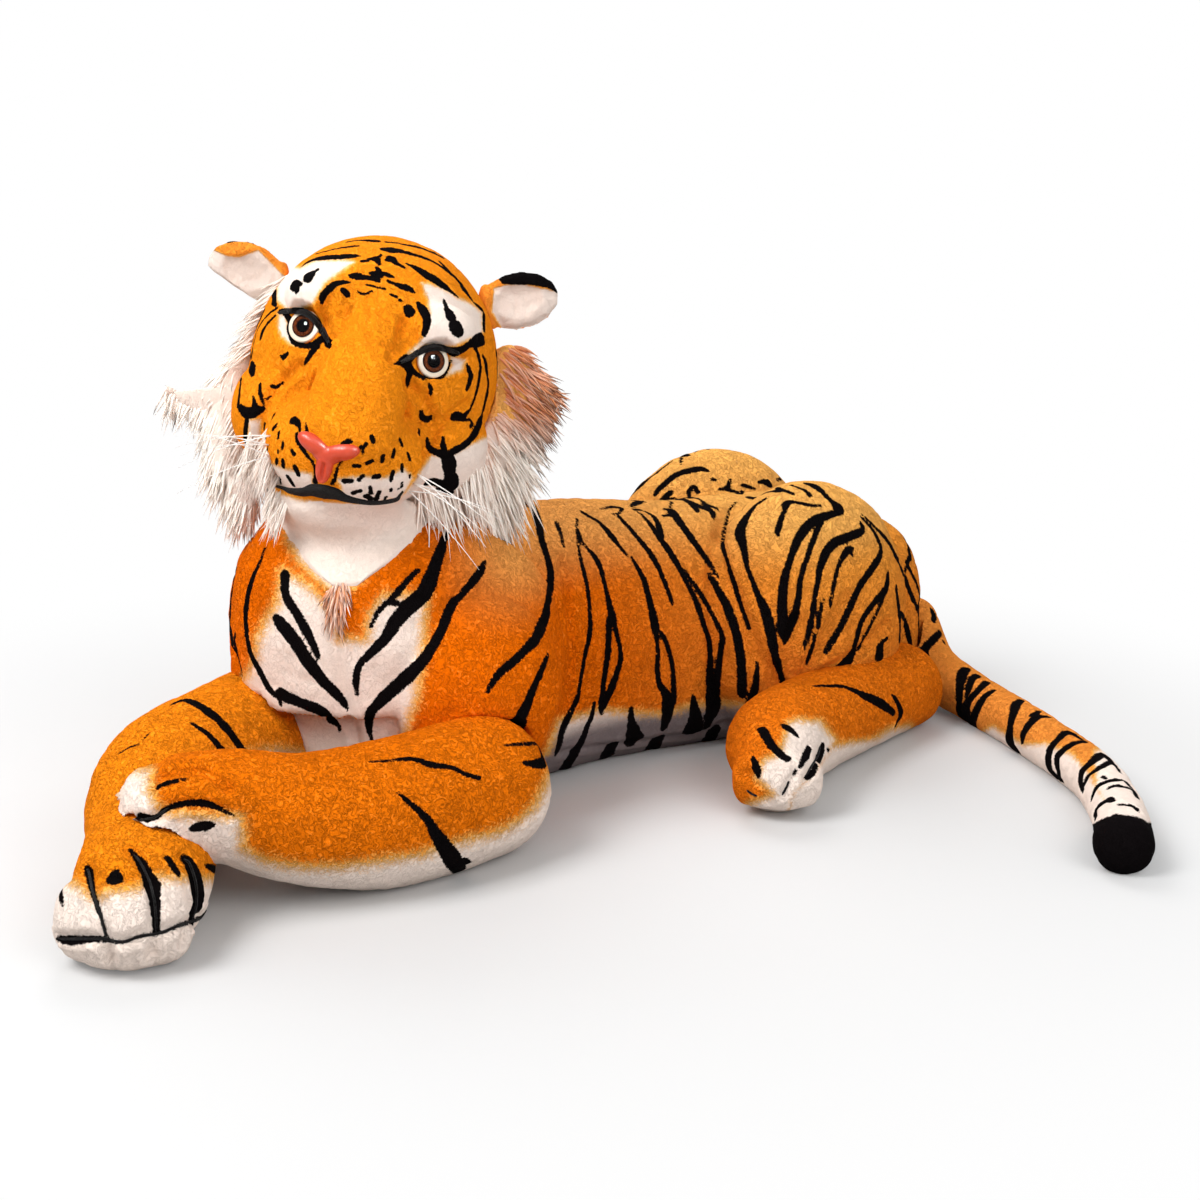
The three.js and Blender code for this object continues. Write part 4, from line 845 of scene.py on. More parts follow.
TAIL_WHITE_ZONES = [
    [(990, 742), (1004, 736), (1020, 746), (1040, 752), (1062, 748), (1088, 756), (1104, 770), (1122, 796),
     (1150, 800), (1200, 840), (1160, 900), (1000, 860)],
    [(1108, 752), (1124, 752), (1150, 772), (1170, 800), (1135, 830), (1116, 790)],
]
TAIL_TIP_ZONE = [
    (1085, 826), (1100, 819), (1115, 814), (1130, 813), (1147, 821), (1162, 836), (1200, 850), (1180, 920),
    (1060, 920),
]

# The middle of the tail as (across, down, half width) in pixels
TAIL_LINE = [
    (931, 671, 26), (947, 688, 26), (967, 700, 25), (994, 714, 22), (1025, 733, 22), (1050, 743, 21),
    (1075, 753, 21), (1100, 767, 21), (1119, 783, 22), (1130, 802, 24), (1133, 821, 26), (1130, 846, 28),
]

# Casting the tables onto the skins
SAMPLE_STEP = 1.4 * MM
FIELD_REACH = 12 * MM
NO_MARK = 20 * MM
RAY_REACH = 4.0
CURVE_STEPS = 10
NEARING_ROUNDS = 3
WIDEN = 1.12
WIDEST = 2.0
WIDEN_POWER = 0.55
SPREAD = 0.35 * MM
GRAZING = 0.13
LEAST_SLANT = 0.01
LEAST_SAMPLES = 3


def cast(tree, pixels):
    """Points where rays through pixels meet a surface. A ray that misses takes the nearest point."""
    out = []
    depth = None
    for way in rays(pixels):
        hit, _, _, distance = tree.ray_cast(CAMERA_AT, way, RAY_REACH)
        if hit is None:
            guess = CAMERA_AT + way * (depth if depth else np.linalg.norm(CAMERA_AT - HEAD_AT))
            for _ in range(NEARING_ROUNDS):
                near = np.array(tree.find_nearest(guess)[0])
                guess = CAMERA_AT + way * ((near - CAMERA_AT) @ way)
            hit = near
        else:
            depth = distance
        out.append(np.array(hit))
    return np.array(out)


def cast_strokes(tree, strokes):
    """Strokes on the surface, as rows of x, y, z and half width, in metres. A crease has no width."""
    out = []
    for stroke in strokes:
        line = spline(stroke, CURVE_STEPS)
        ways = rays(line[:, :2])
        points = cast(tree, line[:, :2])
        depth = (points - CAMERA_AT) @ LOOK
        normals = np.array([tree.find_nearest(point)[1] for point in points])
        slant = np.abs(np.sum(normals * ways, axis=1))
        spread = np.clip(1 / np.maximum(slant, LEAST_SLANT), 1, WIDEST) ** WIDEN_POWER
        width = line[:, 2] if line.shape[1] > 2 else np.zeros(len(line))
        row = np.column_stack([points, WIDEN * spread * width / 2 * depth / FOCAL_PIXELS + SPREAD])
        clear = slant > GRAZING
        out.append(row[clear] if clear.sum() >= LEAST_SAMPLES else row)
    return out


def laid(tree, strokes, place, unit):
    """Strokes given as places on a body and widths in units, laid on its nearest surface."""
    out = []
    for stroke in strokes:
        line = spline(stroke, CURVE_STEPS)
        points = [tree.find_nearest(place(share))[0] for share in line[:, :3]]
        out.append(np.column_stack([np.array(points), line[:, 3] / 2 * unit]))
    return out


def mirrored(tree, strokes, flip):
    """The same strokes on the other side of a body, laid back on its surface."""
    out = []
    for stroke in strokes:
        points = [tree.find_nearest(point)[0] for point in flip(stroke[:, :3])]
        out.append(np.column_stack([np.array(points), stroke[:, 3]]))
    return out


def mark(skin, strokes, least):
    """Each vertex's distance to the nearest stroke, less than 0 inside one."""
    finder = KDTree(len(skin.points))
    for i, point in enumerate(skin.points):
        finder.insert(point, i)
    finder.balance()
    field = np.full(len(skin.points), NO_MARK)
    for stroke in strokes:
        gaps = np.linalg.norm(np.diff(stroke[:, :3], axis=0), axis=1)
        travel = np.append(0, np.cumsum(gaps))
        count = max(2, int(travel[-1] / SAMPLE_STEP) + 1)
        at = np.linspace(0, travel[-1], count)
        dense = np.column_stack([np.interp(at, travel, stroke[:, k]) for k in range(4)])
        for x, y, z, radius in dense:
            radius = max(radius, least)
            for _, i, distance in finder.find_range((x, y, z), radius + FIELD_REACH):
                if distance - radius < field[i]:
                    field[i] = distance - radius
    return field


def zone_depth(pixels, outline):
    """How far pixels lie outside an outline in the photograph, less than 0 inside it."""
    corners = np.asarray(outline, float)
    inside = np.zeros(len(pixels), bool)
    nearest = np.full(len(pixels), np.inf)
    for (x0, y0), (x1, y1) in zip(corners, np.roll(corners, -1, axis=0)):
        edge = np.array([x1 - x0, y1 - y0])
        away = pixels - (x0, y0)
        share = np.clip(away @ edge / (edge @ edge), 0, 1)
        nearest = np.minimum(nearest, np.linalg.norm(away - share[:, None] * edge, axis=1))
        crosses = (y0 > pixels[:, 1]) != (y1 > pixels[:, 1])
        slope = (x1 - x0) * (pixels[:, 1] - y0) / ((y1 - y0) or 1) + x0
        inside ^= crosses & (pixels[:, 0] < slope)
    return np.where(inside, -nearest, nearest)


def zone(points, outlines, soft):
    """Shares from 0 to 1 of how far points lie in outlines, with edges that are soft over some pixels."""
    pixels = pixels_of(points)
    depth = np.min([zone_depth(pixels, outline) for outline in outlines], axis=0)
    return 1 - smoothstep(-soft, soft, depth)


def middle_of_torso(y):
    along = [row[0] * BODY_LENGTH + ORIGIN[1] for row in TORSO_SHARES][::-1]
    across = [row[1] * BODY_LENGTH + ORIGIN[0] for row in TORSO_SHARES][::-1]
    return np.interp(y, along, across)


def flip_torso(points):
    out = np.array(points, float)
    out[:, 0] = 2 * middle_of_torso(out[:, 1]) - out[:, 0]
    return out


CHEST_MIDDLE_SHARE = (0.085, -0.34, 0)
CHEST_MIDDLE = placed(*CHEST_MIDDLE_SHARE)
CHEST_SIDE = np.array([math.cos(CHEST_HEADING), math.sin(CHEST_HEADING), 0.0])


def flip_chest(points):
    out = np.array(points, float)
    return out - 2 * ((out - CHEST_MIDDLE) @ CHEST_SIDE)[:, None] * CHEST_SIDE


def flip_hips(points):
    out = np.array(points, float)
    out[:, 0] = 2 * ORIGIN[0] - out[:, 0]
    return out


def rough(points, scale, seed=0.0):
    """Smooth noise at points, from about -1 to 1."""
    shift = Vector((seed, seed * 2, seed * 3))
    return np.array([noise.noise(Vector(point) * scale + shift) for point in points])


# Materials
NOISE_SPAN = (0.3, 0.7)


def new_material(name):
    material = bpy.data.materials.new(name)
    material.use_nodes = True
    nodes = material.node_tree.nodes
    nodes.clear()
    output = nodes.new("ShaderNodeOutputMaterial")
    shader = nodes.new("ShaderNodeBsdfPrincipled")
    material.node_tree.links.new(shader.outputs["BSDF"], output.inputs["Surface"])
    return material, shader


def add(material, kind, **values):
    node = material.node_tree.nodes.new("ShaderNode" + kind)
    for key, value in values.items():
        if key in node.inputs:
            node.inputs[key].default_value = value
        else:
            setattr(node, key, value)
    return node


def link(material, source, target):
    material.node_tree.links.new(source, target)


def place_of(material):
    return add(material, "TexCoord").outputs["Object"]


def attribute(material, name):
    return add(material, "Attribute", attribute_name=name).outputs["Fac"]


def noise_of(material, scale, detail=2.0, roughness=0.5, twist=0.0):
    node = add(material, "TexNoise", Scale=scale, Detail=detail, Roughness=roughness, Distortion=twist)
    link(material, place_of(material), node.inputs["Vector"])
    return node.outputs["Fac"]


def span(material, value, low, high, to_low=0.0, to_high=1.0, kind="SMOOTHSTEP"):
    node = add(material, "MapRange", interpolation_type=kind)
    for name, number in (("From Min", low), ("From Max", high), ("To Min", to_low), ("To Max", to_high)):
        node.inputs[name].default_value = number
    link(material, value, node.inputs["Value"])
    return node.outputs["Result"]


def maths(material, operation, first, second):
    node = add(material, "Math", operation=operation)
    for socket, value in zip(node.inputs, (first, second)):
        if isinstance(value, (int, float)):
            socket.default_value = value
        else:
            link(material, value, socket)
    return node.outputs[0]


def sway(material, noise_value, low, high):
    """A noise that runs evenly between two values."""
    return span(material, noise_value, *NOISE_SPAN, low, high, "LINEAR")


def total(material, first, *others):
    for other in others:
        first = maths(material, "ADD", first, other)
    return first


def product(material, first, *others):
    for other in others:
        first = maths(material, "MULTIPLY", first, other)
    return first


def mixed(material, share, first, second, blend="MIX"):
    node = add(material, "Mix", data_type="RGBA", blend_type=blend)
    for socket, value in ((node.inputs[0], share), (node.inputs[6], first), (node.inputs[7], second)):
        if isinstance(value, (int, float, tuple)):
            socket.default_value = value
        else:
            link(material, value, socket)
    return node.outputs[2]


def shaded(material, colour, shade):
    """A colour times a shade of grey."""
    tone = add(material, "CombineColor")
    for socket in tone.inputs[:3]:
        link(material, shade, socket)
    return mixed(material, 1.0, colour, tone.outputs[0], "MULTIPLY")


def vector_maths(material, operation, source, value=None):
    node = add(material, "VectorMath", operation=operation)
    if value is not None:
        node.inputs[1].default_value = tuple(value)
    link(material, source, node.inputs[0])
    return node


def rgb(red, green, blue):
    """A colour as a picture shows it, from 0 to 255, as linear values."""
    out = []
    for value in (red, green, blue):
        share = value / 255
        out.append(share / 12.92 if share < 0.04045 else ((share + 0.055) / 1.055) ** 2.4)
    return (*out, 1.0)


def bump(material, shader, height, distance, strength=1.0):
    node = add(material, "Bump")
    node.inputs["Strength"].default_value = strength
    node.inputs["Distance"].default_value = distance
    link(material, height, node.inputs["Height"])
    link(material, node.outputs["Normal"], shader.inputs["Normal"])


def cloth_finish(shader, sheen=0.25, roughness=0.9, sheen_roughness=0.45, gleam=0.01):
    shader.inputs["Roughness"].default_value = roughness
    shader.inputs["Sheen Weight"].default_value = sheen
    shader.inputs["Sheen Roughness"].default_value = sheen_roughness
    shader.inputs["Specular IOR Level"].default_value = gleam


ORANGE = rgb(222, 100, 2)
# Painted light: a brighter orange for the parts that the light falls on
ORANGE_PAINTED_LIT = rgb(240, 140, 22)
TAN = rgb(226, 146, 54)
PALE_TAN = rgb(240, 182, 100)
WHITE = rgb(232, 215, 203)
# A greyed white; on the belly's underside it is painted shade
SHADE_GREY_WHITE = rgb(120, 110, 110)
BLACK = rgb(12, 9, 10)
GOLD = rgb(244, 178, 84)
FUR_ROOT = rgb(58, 38, 28)
FUR_WHITE = rgb(250, 242, 233)
PEACH = rgb(222, 140, 84)
THREAD_COLOURS = (rgb(8, 7, 7), rgb(30, 27, 27))
VINYL_COLOURS = (rgb(186, 52, 26), rgb(212, 76, 42))
CUP_COLOURS = (rgb(236, 222, 200), rgb(216, 196, 172))
NYLON_COLOURS = (rgb(246, 244, 240), rgb(228, 224, 218))
WASHER_COLOURS = (rgb(222, 218, 208), rgb(236, 232, 224))
IRIS_COLOURS = (rgb(58, 24, 12), rgb(124, 62, 26))
IRIS_RIM = rgb(20, 9, 8)
PUPIL_BLACK = rgb(3, 3, 4)

# The coat: noises as scale, detail and roughness, then ranges of tone and shares of relief. The swirl, crush
# and crease tones follow the relief, and so are painted shade in its hollows and creases.
CRUSH_NOISE = (150.0, 3.0, 0.55)
SWIRL_NOISE = (60.0, 3.0, 0.6)
FINE_NOISE = (620.0, 2.0, 0.7)
BROAD_NOISE = (12.0, 2.0)
HAIR_NOISE = {"Scale": 420.0, "Detail": 2.0, "Roughness": 0.6}
CRUSH_TWIST = 1.6
SWIRL_TWIST = 0.8
HAIR_STRETCH = (1.0, 1.0, 0.16)
FEATHER_SHARE = 0.12
FINE_FEATHER_SHARE = 0.1
GOLD_SPAN = (0.04, 0.5)
WHITE_SPAN = (0.3, 0.92)
WHITE_FADE = (0.2, 0.8)
WHITE_KEEP_SHARE = 0.35
BROAD_TONES = (0.95, 1.04)
SWIRL_SPAN = (0.32, 0.68)
SWIRL_PAINTED_SHADE = (0.92, 1.05)
CRUSH_PAINTED_SHADE = (0.88, 1.08)
CREASE_PAINTED_SHADE = (0.8, 1.03)
CREASE_WIDTH = 0.045
RELIEF_SHARES = {"crush": 0.7, "fine": 0.14, "swirl": 0.6, "crease": 0.3}
RELIEF_HEIGHT = 3.6 * MM

# Coats as height of the pile, raggedness of the stripes' edges, share of crush (how much tone and painted shade
# the pile shows) and share of combed hair
COAT_LOOK = (0.75, 0.6 * MM, 0.7, 0.0)
CRUSHED_COAT_LOOK = (1.1, 0.6 * MM, 1.0, 0.0)
SHORT_COAT_LOOK = (0.5, 0.45 * MM, 0.6, 0.4)


def combed_pile(material):
    """Fine hair that lies up and down."""
    stretch = vector_maths(material, "MULTIPLY", place_of(material), HAIR_STRETCH)
    hair = add(material, "TexNoise", **HAIR_NOISE)
    link(material, stretch.outputs[0], hair.inputs["Vector"])
    return hair.outputs["Fac"]


def coat_colour(material, crush, fine):
    """Orange that turns gold and then white, and the share of white. The orange is painted brighter on the lit
    parts as painted light, and the white is greyed, which on the belly's underside is painted shade.
    """
    orange = mixed(material, attribute(material, "tan"), ORANGE, TAN)
    # Painted light: the orange turns brighter on the parts that are lit
    orange = mixed(material, attribute(material, "vivid"), orange, ORANGE_PAINTED_LIT)
    orange = mixed(material, attribute(material, "pale"), orange, PALE_TAN)
    # The white greys where the grey attribute says, which on the belly's underside is painted shade
    white = mixed(material, attribute(material, "grey"), WHITE, SHADE_GREY_WHITE)
    feather = sway(material, crush, -FEATHER_SHARE, FEATHER_SHARE)
    fine_feather = sway(material, fine, -FINE_FEATHER_SHARE, FINE_FEATHER_SHARE)
    blend = total(material, attribute(material, "white"), total(material, feather, fine_feather))
    colour = mixed(material, span(material, blend, *GOLD_SPAN), orange, GOLD)
    return mixed(material, span(material, blend, *WHITE_SPAN), colour, white), blend


def coat_material(name, pile, edge, crushed, combed):
    """Short crushed plush, painted darker in the hollows and creases of its relief as painted shade. Its
    attributes say where it is black, white, tan, pale or greyish; its orange is painted brighter where it is
    lit, as painted light, and its grey on the belly's underside is painted shade.
    """
    material, shader = new_material(name)
    crush = noise_of(material, *CRUSH_NOISE, twist=CRUSH_TWIST)
    swirl = noise_of(material, *SWIRL_NOISE, twist=SWIRL_TWIST)
    fine = noise_of(material, *FINE_NOISE)
    broad = noise_of(material, *BROAD_NOISE)
    colour, blend = coat_colour(material, crush, fine)
    winding = maths(material, "ABSOLUTE", maths(material, "SUBTRACT", crush, 0.5), 0.0)
    crease = span(material, winding, 0.0, CREASE_WIDTH)
    # Painted shade: the swirl, crush and crease tones follow the relief below, so the coat is darker in its
    # hollows and creases
    shade = product(
        material,
        sway(material, broad, *BROAD_TONES),
        span(material, swirl, *SWIRL_SPAN, *SWIRL_PAINTED_SHADE, "LINEAR"),
        sway(material, crush, *CRUSH_PAINTED_SHADE),
        span(material, crease, 0.0, 1.0, *CREASE_PAINTED_SHADE, "LINEAR"),
    )
    # How much of the tone and painted shade is kept, less on white
    keep = span(material, blend, *WHITE_FADE, crushed, WHITE_KEEP_SHARE * crushed)
    shade = product(material, maths(material, "SUBTRACT", shade, 1.0), keep)
    colour = shaded(material, colour, total(material, shade, 1.0))
    ragged = total(material, sway(material, crush, -edge, edge), sway(material, fine, -edge, edge))
    black = span(material, total(material, attribute(material, "black"), ragged), -edge, edge, 1.0, 0.0)
    link(material, mixed(material, black, colour, BLACK), shader.inputs["Base Color"])
    cloth_finish(shader, 0.0)
    reliefs = {"crush": crush, "fine": fine, "swirl": swirl, "crease": crease}
    heights = [product(material, reliefs[key], share) for key, share in RELIEF_SHARES.items()]
    height = total(material, *heights, product(material, combed_pile(material), combed))
    height = product(material, height, span(material, blend, *WHITE_FADE, 1.0, WHITE_KEEP_SHARE))
    bump(material, shader, height, RELIEF_HEIGHT * pile)
    return material


STRAND_TONES = (0.86, 1.06)
STRAND_SHEEN = 0.1
STRAND_ROUGHNESS = 0.65


def fur_material():
    """Long strands. The attribute tip runs along a strand, and shade differs from strand to strand."""
    material, shader = new_material("long_fur")
    base = mixed(material, attribute(material, "peach"), FUR_WHITE, PEACH)
    vary = span(material, attribute(material, "shade"), 0.0, 1.0, *STRAND_TONES, "LINEAR")
    colour = mixed(material, attribute(material, "tip"), shaded(material, base, vary), FUR_ROOT)
    link(material, colour, shader.inputs["Base Color"])
    cloth_finish(shader, STRAND_SHEEN, STRAND_ROUGHNESS)
    return material


TWIST = {"Scale": 900.0, "Distortion": 1.0}
THREAD_SHEEN = 0.1
THREAD_ROUGHNESS = 0.7
THREAD_RELIEF = 0.4 * MM


def thread_material():
    material, shader = new_material("black_thread")
    twist = add(material, "TexWave", **TWIST)
    link(material, place_of(material), twist.inputs["Vector"])
    link(material, mixed(material, twist.outputs["Fac"], *THREAD_COLOURS), shader.inputs["Base Color"])
    cloth_finish(shader, THREAD_SHEEN, THREAD_ROUGHNESS)
    bump(material, shader, twist.outputs["Fac"], THREAD_RELIEF)
    return material


PORES_NOISE = (700.0, 2.0)
VINYL_NOISE = (60.0, 2.0)
VINYL_ROUGHNESS = (0.3, 0.42)
VINYL_DEPTH_SHARE = 0.08
VINYL_GLOW = (0.004, 0.0015, 0.001)
PORES_RELIEF = 0.25 * MM
PORES_STRENGTH = 0.5


def vinyl_material():
    material, shader = new_material("coral_vinyl")
    pores = noise_of(material, *PORES_NOISE)
    broad = noise_of(material, *VINYL_NOISE)
    link(material, mixed(material, broad, *VINYL_COLOURS), shader.inputs["Base Color"])
    link(material, span(material, pores, *NOISE_SPAN, *VINYL_ROUGHNESS), shader.inputs["Roughness"])
    shader.inputs["Subsurface Weight"].default_value = VINYL_DEPTH_SHARE
    shader.inputs["Subsurface Radius"].default_value = VINYL_GLOW
    bump(material, shader, pores, PORES_RELIEF, PORES_STRENGTH)
    return material


MOTTLE_DETAIL = 3.0
MOTTLE_SHARE = 0.15
MOTTLE_RELIEF = 0.1 * MM
MOTTLE_STRENGTH = 0.4


def plastic_material(name, colours, roughness=0.3, scale=260.0):
    material, shader = new_material(name)
    mottle = noise_of(material, scale, MOTTLE_DETAIL)
    link(material, mixed(material, mottle, *colours), shader.inputs["Base Color"])
    spread = roughness * MOTTLE_SHARE
    sheen = span(material, mottle, *NOISE_SPAN, roughness - spread, roughness + spread)
    link(material, sheen, shader.inputs["Roughness"])
    bump(material, shader, mottle, MOTTLE_RELIEF, MOTTLE_STRENGTH)
    return material


SPOKES = {"Scale": 900.0, "Detail": 3.0}
SPOKES_SPAN = (0.35, 0.65)
IRIS_RIM_SPAN = (0.78, 1.0)
PUPIL_SPAN = (0.58, 0.64)
IRIS_ROUGHNESS = 0.5


def iris_material(centre, radius):
    """A brown iris with darker spokes, a dark rim and a black pupil."""
    material, shader = new_material("amber_iris")
    away = vector_maths(material, "SUBTRACT", place_of(material), centre)
    length = vector_maths(material, "LENGTH", away.outputs[0])
    share = maths(material, "DIVIDE", length.outputs["Value"], radius)
    spokes = add(material, "TexNoise", **SPOKES)
    link(material, away.outputs[0], spokes.inputs["Vector"])
    brown = mixed(material, span(material, spokes.outputs["Fac"], *SPOKES_SPAN), *IRIS_COLOURS)
    colour = mixed(material, span(material, share, *IRIS_RIM_SPAN), brown, IRIS_RIM)
    colour = mixed(material, span(material, share, *PUPIL_SPAN, 1.0, 0.0), colour, PUPIL_BLACK)
    link(material, colour, shader.inputs["Base Color"])
    shader.inputs["Roughness"].default_value = IRIS_ROUGHNESS
    shader.inputs["Specular IOR Level"].default_value = 0.0
    return material


DOME_GLEAM = 0.012
GLEAM_HEIGHTS = (5.3 * MM, 6.2 * MM)
HAZE_NOISE = (300.0, 2.0)
HAZE_ROUGHNESS = (0.01, 0.03)
CLEAR = (1.0, 1.0, 1.0, 1.0)


def lens_material(place):
    """A clear dome that gleams on its outer face only."""
    material, shader = new_material("clear_lens")
    away = vector_maths(material, "SUBTRACT", place_of(material), place.translation)
    height = vector_maths(material, "DOT_PRODUCT", away.outputs[0], place.to_3x3().col[2])
    gleam = span(material, height.outputs["Value"], *GLEAM_HEIGHTS, 0.0, DOME_GLEAM, "LINEAR")
    link(material, gleam, shader.inputs["Alpha"])
    haze = noise_of(material, *HAZE_NOISE)
    link(material, span(material, haze, *NOISE_SPAN, *HAZE_ROUGHNESS), shader.inputs["Roughness"])
    shader.inputs["Base Color"].default_value = CLEAR
    shader.inputs["Metallic"].default_value = 1.0
    return material


# Skins of the stuffed parts
LUMP_SCALE = 28.0
FINE_LUMP_SCALE = 75.0
FINE_LUMP_SEED = 5
WINDING_SCALE = 42.0
WINDING_SHARE = 0.16
WINDING_DEPTH_SHARE = 1.6
GROUND = 0.3 * MM
SWELL_SHARE = 0.25
SEAT_EDGE_SHARE = 1.3
SEAT_DEPTH_SHARE = 1.2


def groove(skin, strokes, depth, width):
    """Pulls a skin in along lines, as stitching does, and lets it stand proud a little on both sides."""
    lines = [np.column_stack([stroke[:, :3], np.zeros(len(stroke))]) for stroke in strokes]
    away = np.maximum(mark(skin, lines, 0.0), 0)
    dip = np.exp(-((away / width) ** 2))
    swell = np.exp(-(((away - 2 * width) / width) ** 2))
    skin.push(depth * (SWELL_SHARE * swell - dip))


def press(skin, place, radius, floor):
    """Flattens a round seat into a skin, in a frame whose third axis points out."""
    turn = np.array(place.to_3x3())
    local = (skin.points - np.array(place.translation)) @ turn
    away = np.linalg.norm(local[:, :2], axis=1)
    edge = radius * SEAT_EDGE_SHARE
    limit = floor + smoothstep(radius, edge, away) * radius
    near = (away < edge) & (np.abs(local[:, 2]) < radius * SEAT_DEPTH_SHARE)
    local[:, 2] = np.where(near, np.minimum(local[:, 2], limit), local[:, 2])
    skin.points = local @ turn.T + np.array(place.translation)


def winding_creases(points, seed):
    """Thin winding lines, as in crushed plush, from 0 to 1."""
    return np.clip(1 - np.abs(rough(points, WINDING_SCALE, seed)) / WINDING_SHARE, 0, 1)


def settle(skin, lump, fine, rounds, seed=0.0):
    """Softens what the solids' flat faces left, gives the stuffing its lumps and keeps it off the floor."""
    skin.relax(rounds)
    lumps = lump * rough(skin.points, LUMP_SCALE, seed)
    skin.push(lumps + fine * rough(skin.points, FINE_LUMP_SCALE, seed + FINE_LUMP_SEED))
    skin.push(-WINDING_DEPTH_SHARE * fine * winding_creases(skin.points, seed))
    skin.points[:, 2] = np.maximum(skin.points[:, 2], GROUND)


COAT_ATTRIBUTES = ("white", "grey", "tan", "vivid", "pale")


def paint(skin, strokes, least, **shares):
    """Gives each vertex its shares of the coat's colours. A share is one number or one per vertex."""
    skin.attributes["black"] = mark(skin, strokes, least)
    for name in COAT_ATTRIBUTES:
        skin.attributes[name] = np.broadcast_to(shares.get(name, 0.0), len(skin.points))


def coat_shares(mesh, **shares):
    """The coat's attributes for a piece that is one colour all over."""
    for name in ("black", *COAT_ATTRIBUTES):
        layer = mesh.attributes.new(name, "FLOAT", "POINT")
        value = NO_MARK if name == "black" else shares.get(name, 0.0)
        layer.data.foreach_set("value", np.full(len(mesh.vertices), value, np.float32))


def finish(skin, material, body):
    thing = skin.build(material)
    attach(thing, body)
    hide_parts(*skin.nodes)
    return thing


TORSO_VOXEL = 3.75 * MM
TORSO_LEAST = 2.1 * MM
LIMB_VOXEL = 3.0 * MM
LIMB_LEAST = 1.7 * MM
TAIL_VOXEL = 2.5 * MM
TAIL_LEAST = 1.3 * MM
HEAD_VOXEL = 2.0 * MM
HEAD_LEAST = 1.0 * MM

# Lumps of the stuffing as depth, depth of the fine ones, rounds of smoothing and seed
TORSO_LUMPS = (1.6 * MM, 0.6 * MM, 10)
LIMB_LUMPS = (1.0 * MM, 0.5 * MM, 8)
HIND_LEG_LUMPS = (0.8 * MM, 0.4 * MM, 8, 3)
TAIL_LUMPS = (0.7 * MM, 0.4 * MM, 6, 9)
HEAD_LUMPS = (0.6 * MM, 0.35 * MM, 14)

# Grooves as depth and width
SEAM_GROOVE = (5 * MM, 6 * MM)
PANEL_GROOVE = (3 * MM, 5 * MM)
FOLD_GROOVE = (6 * MM, 9 * MM)
PAW_GROOVE = (6 * MM, 5.5 * MM)
HIND_PAW_GROOVE = (3.5 * MM, 5 * MM)
BAND_GROOVE = (1.5 * MM, 4 * MM)
FACE_GROOVE = (0.8 * MM, 3 * MM)
CHEEK_GROOVE = (5.5 * MM, 6 * MM)
BROW_GROOVE = (2.6 * MM, 3.6 * MM)

# Seams and creases, traced in the photograph as (across, down) in pixels
TORSO_SEAMS = [
    [(333, 596), (334, 637), (337, 655), (343, 690), (349, 715), (360, 745), (366, 758)],
    [(562, 560), (567, 595), (570, 625), (572, 655), (569, 685), (565, 715), (559, 745)],
]
PANEL_SEAM = [(556, 752), (600, 746), (640, 741), (665, 737), (700, 733), (720, 724), (748, 718)]
HAUNCH_CREASES = [
    [(728, 512), (721, 535), (720, 560), (727, 582), (736, 603), (748, 630), (757, 655)],
    [(757, 655), (764, 664), (771, 674), (778, 686), (796, 684)],
    [(800, 680), (815, 655), (832, 628), (846, 600)],
    [(806, 684), (835, 668), (862, 650), (884, 628)],
    [(792, 676), (790, 650), (796, 622)],
]
BREAST_CREASES = [
    [(213, 660), (214, 682), (225, 698), (242, 714), (270, 736), (285, 745)],
]

# Stripes on the hidden side, as shares of the torso's length and height and a width in millimetres
HIDDEN_STROKE_SHARES = [
    [(-0.02, -0.17, 1.05, 6), (-0.12, -0.16, 0.95, 9), (-0.2, -0.17, 0.7, 8), (-0.22, -0.16, 0.42, 4)],
    [(-0.06, -0.25, 1.0, 5), (-0.17, -0.24, 0.88, 9), (-0.24, -0.26, 0.62, 8), (-0.25, -0.25, 0.4, 4)],
    [(-0.14, -0.1, 0.92, 5), (-0.2, -0.1, 0.66, 8), (-0.22, -0.11, 0.42, 4)],
    [(-0.22, -0.33, 0.76, 5), (-0.26, -0.35, 0.55, 8), (-0.26, -0.37, 0.38, 4)],
    [(0.01, 0.42, 0.98, 5), (-0.07, 0.42, 0.96, 9), (-0.14, 0.36, 0.9, 5)],
    [(0.03, 0.5, 0.8, 5), (0.08, 0.48, 0.74, 8), (0.11, 0.44, 0.64, 4)],
    [(-0.02, 0.5, 0.84, 5), (-0.08, 0.5, 0.76, 9), (-0.13, 0.46, 0.66, 4)],
    [(0.02, 0.53, 0.6, 4), (0.07, 0.52, 0.53, 8), (0.1, 0.48, 0.45, 4)],
    [(-0.01, 0.53, 0.62, 4), (-0.07, 0.53, 0.54, 9), (-0.12, 0.5, 0.44, 4)],
    [(-0.03, 0.54, 0.4, 4), (-0.08, 0.53, 0.34, 7), (-0.12, 0.5, 0.26, 3)],
]

# Where the torso's colours start and end along it and up it, in metres. The grey towards the belly's underside
# is painted shade, and the pale along the top of the back is a painted highlight.
CHEST_FRONT = (-0.2, -0.24)
BELLY_WHITE = (0.05, 0.03)
BELLY_PAINTED_SHADE = (0.075, 0.045)
REAR_ALONG = (0.02, 0.32)
REAR_UP = (0.12, 0.27)
REAR_TAN_SHARE = 0.55
# Painted highlight: pale tan along the top of the back, where it is lit
PAINTED_HIGHLIGHT_ALONG = (-0.17, -0.05)
PAINTED_HIGHLIGHT_UP = (0.2, 0.27)
PAINTED_HIGHLIGHT_SHARE = 0.6
CHEST_SOFT = 17
FLANK_SOFT = 13


def torso_strokes(tree):
    """The stripes of the seen side, and the same ones again on the far side."""
    out = cast_strokes(tree, CHEST_STROKES)
    sides = ((SHOULDER_STROKES, flip_chest), (FLANK_STROKES, flip_torso), (HAUNCH_STROKES, flip_hips))
    for strokes, flip in sides:
        seen = cast_strokes(tree, strokes)
        out += seen + mirrored(tree, seen, flip)
    return out + laid(tree, HIDDEN_STROKE_SHARES, lambda share: placed(*share), MM)


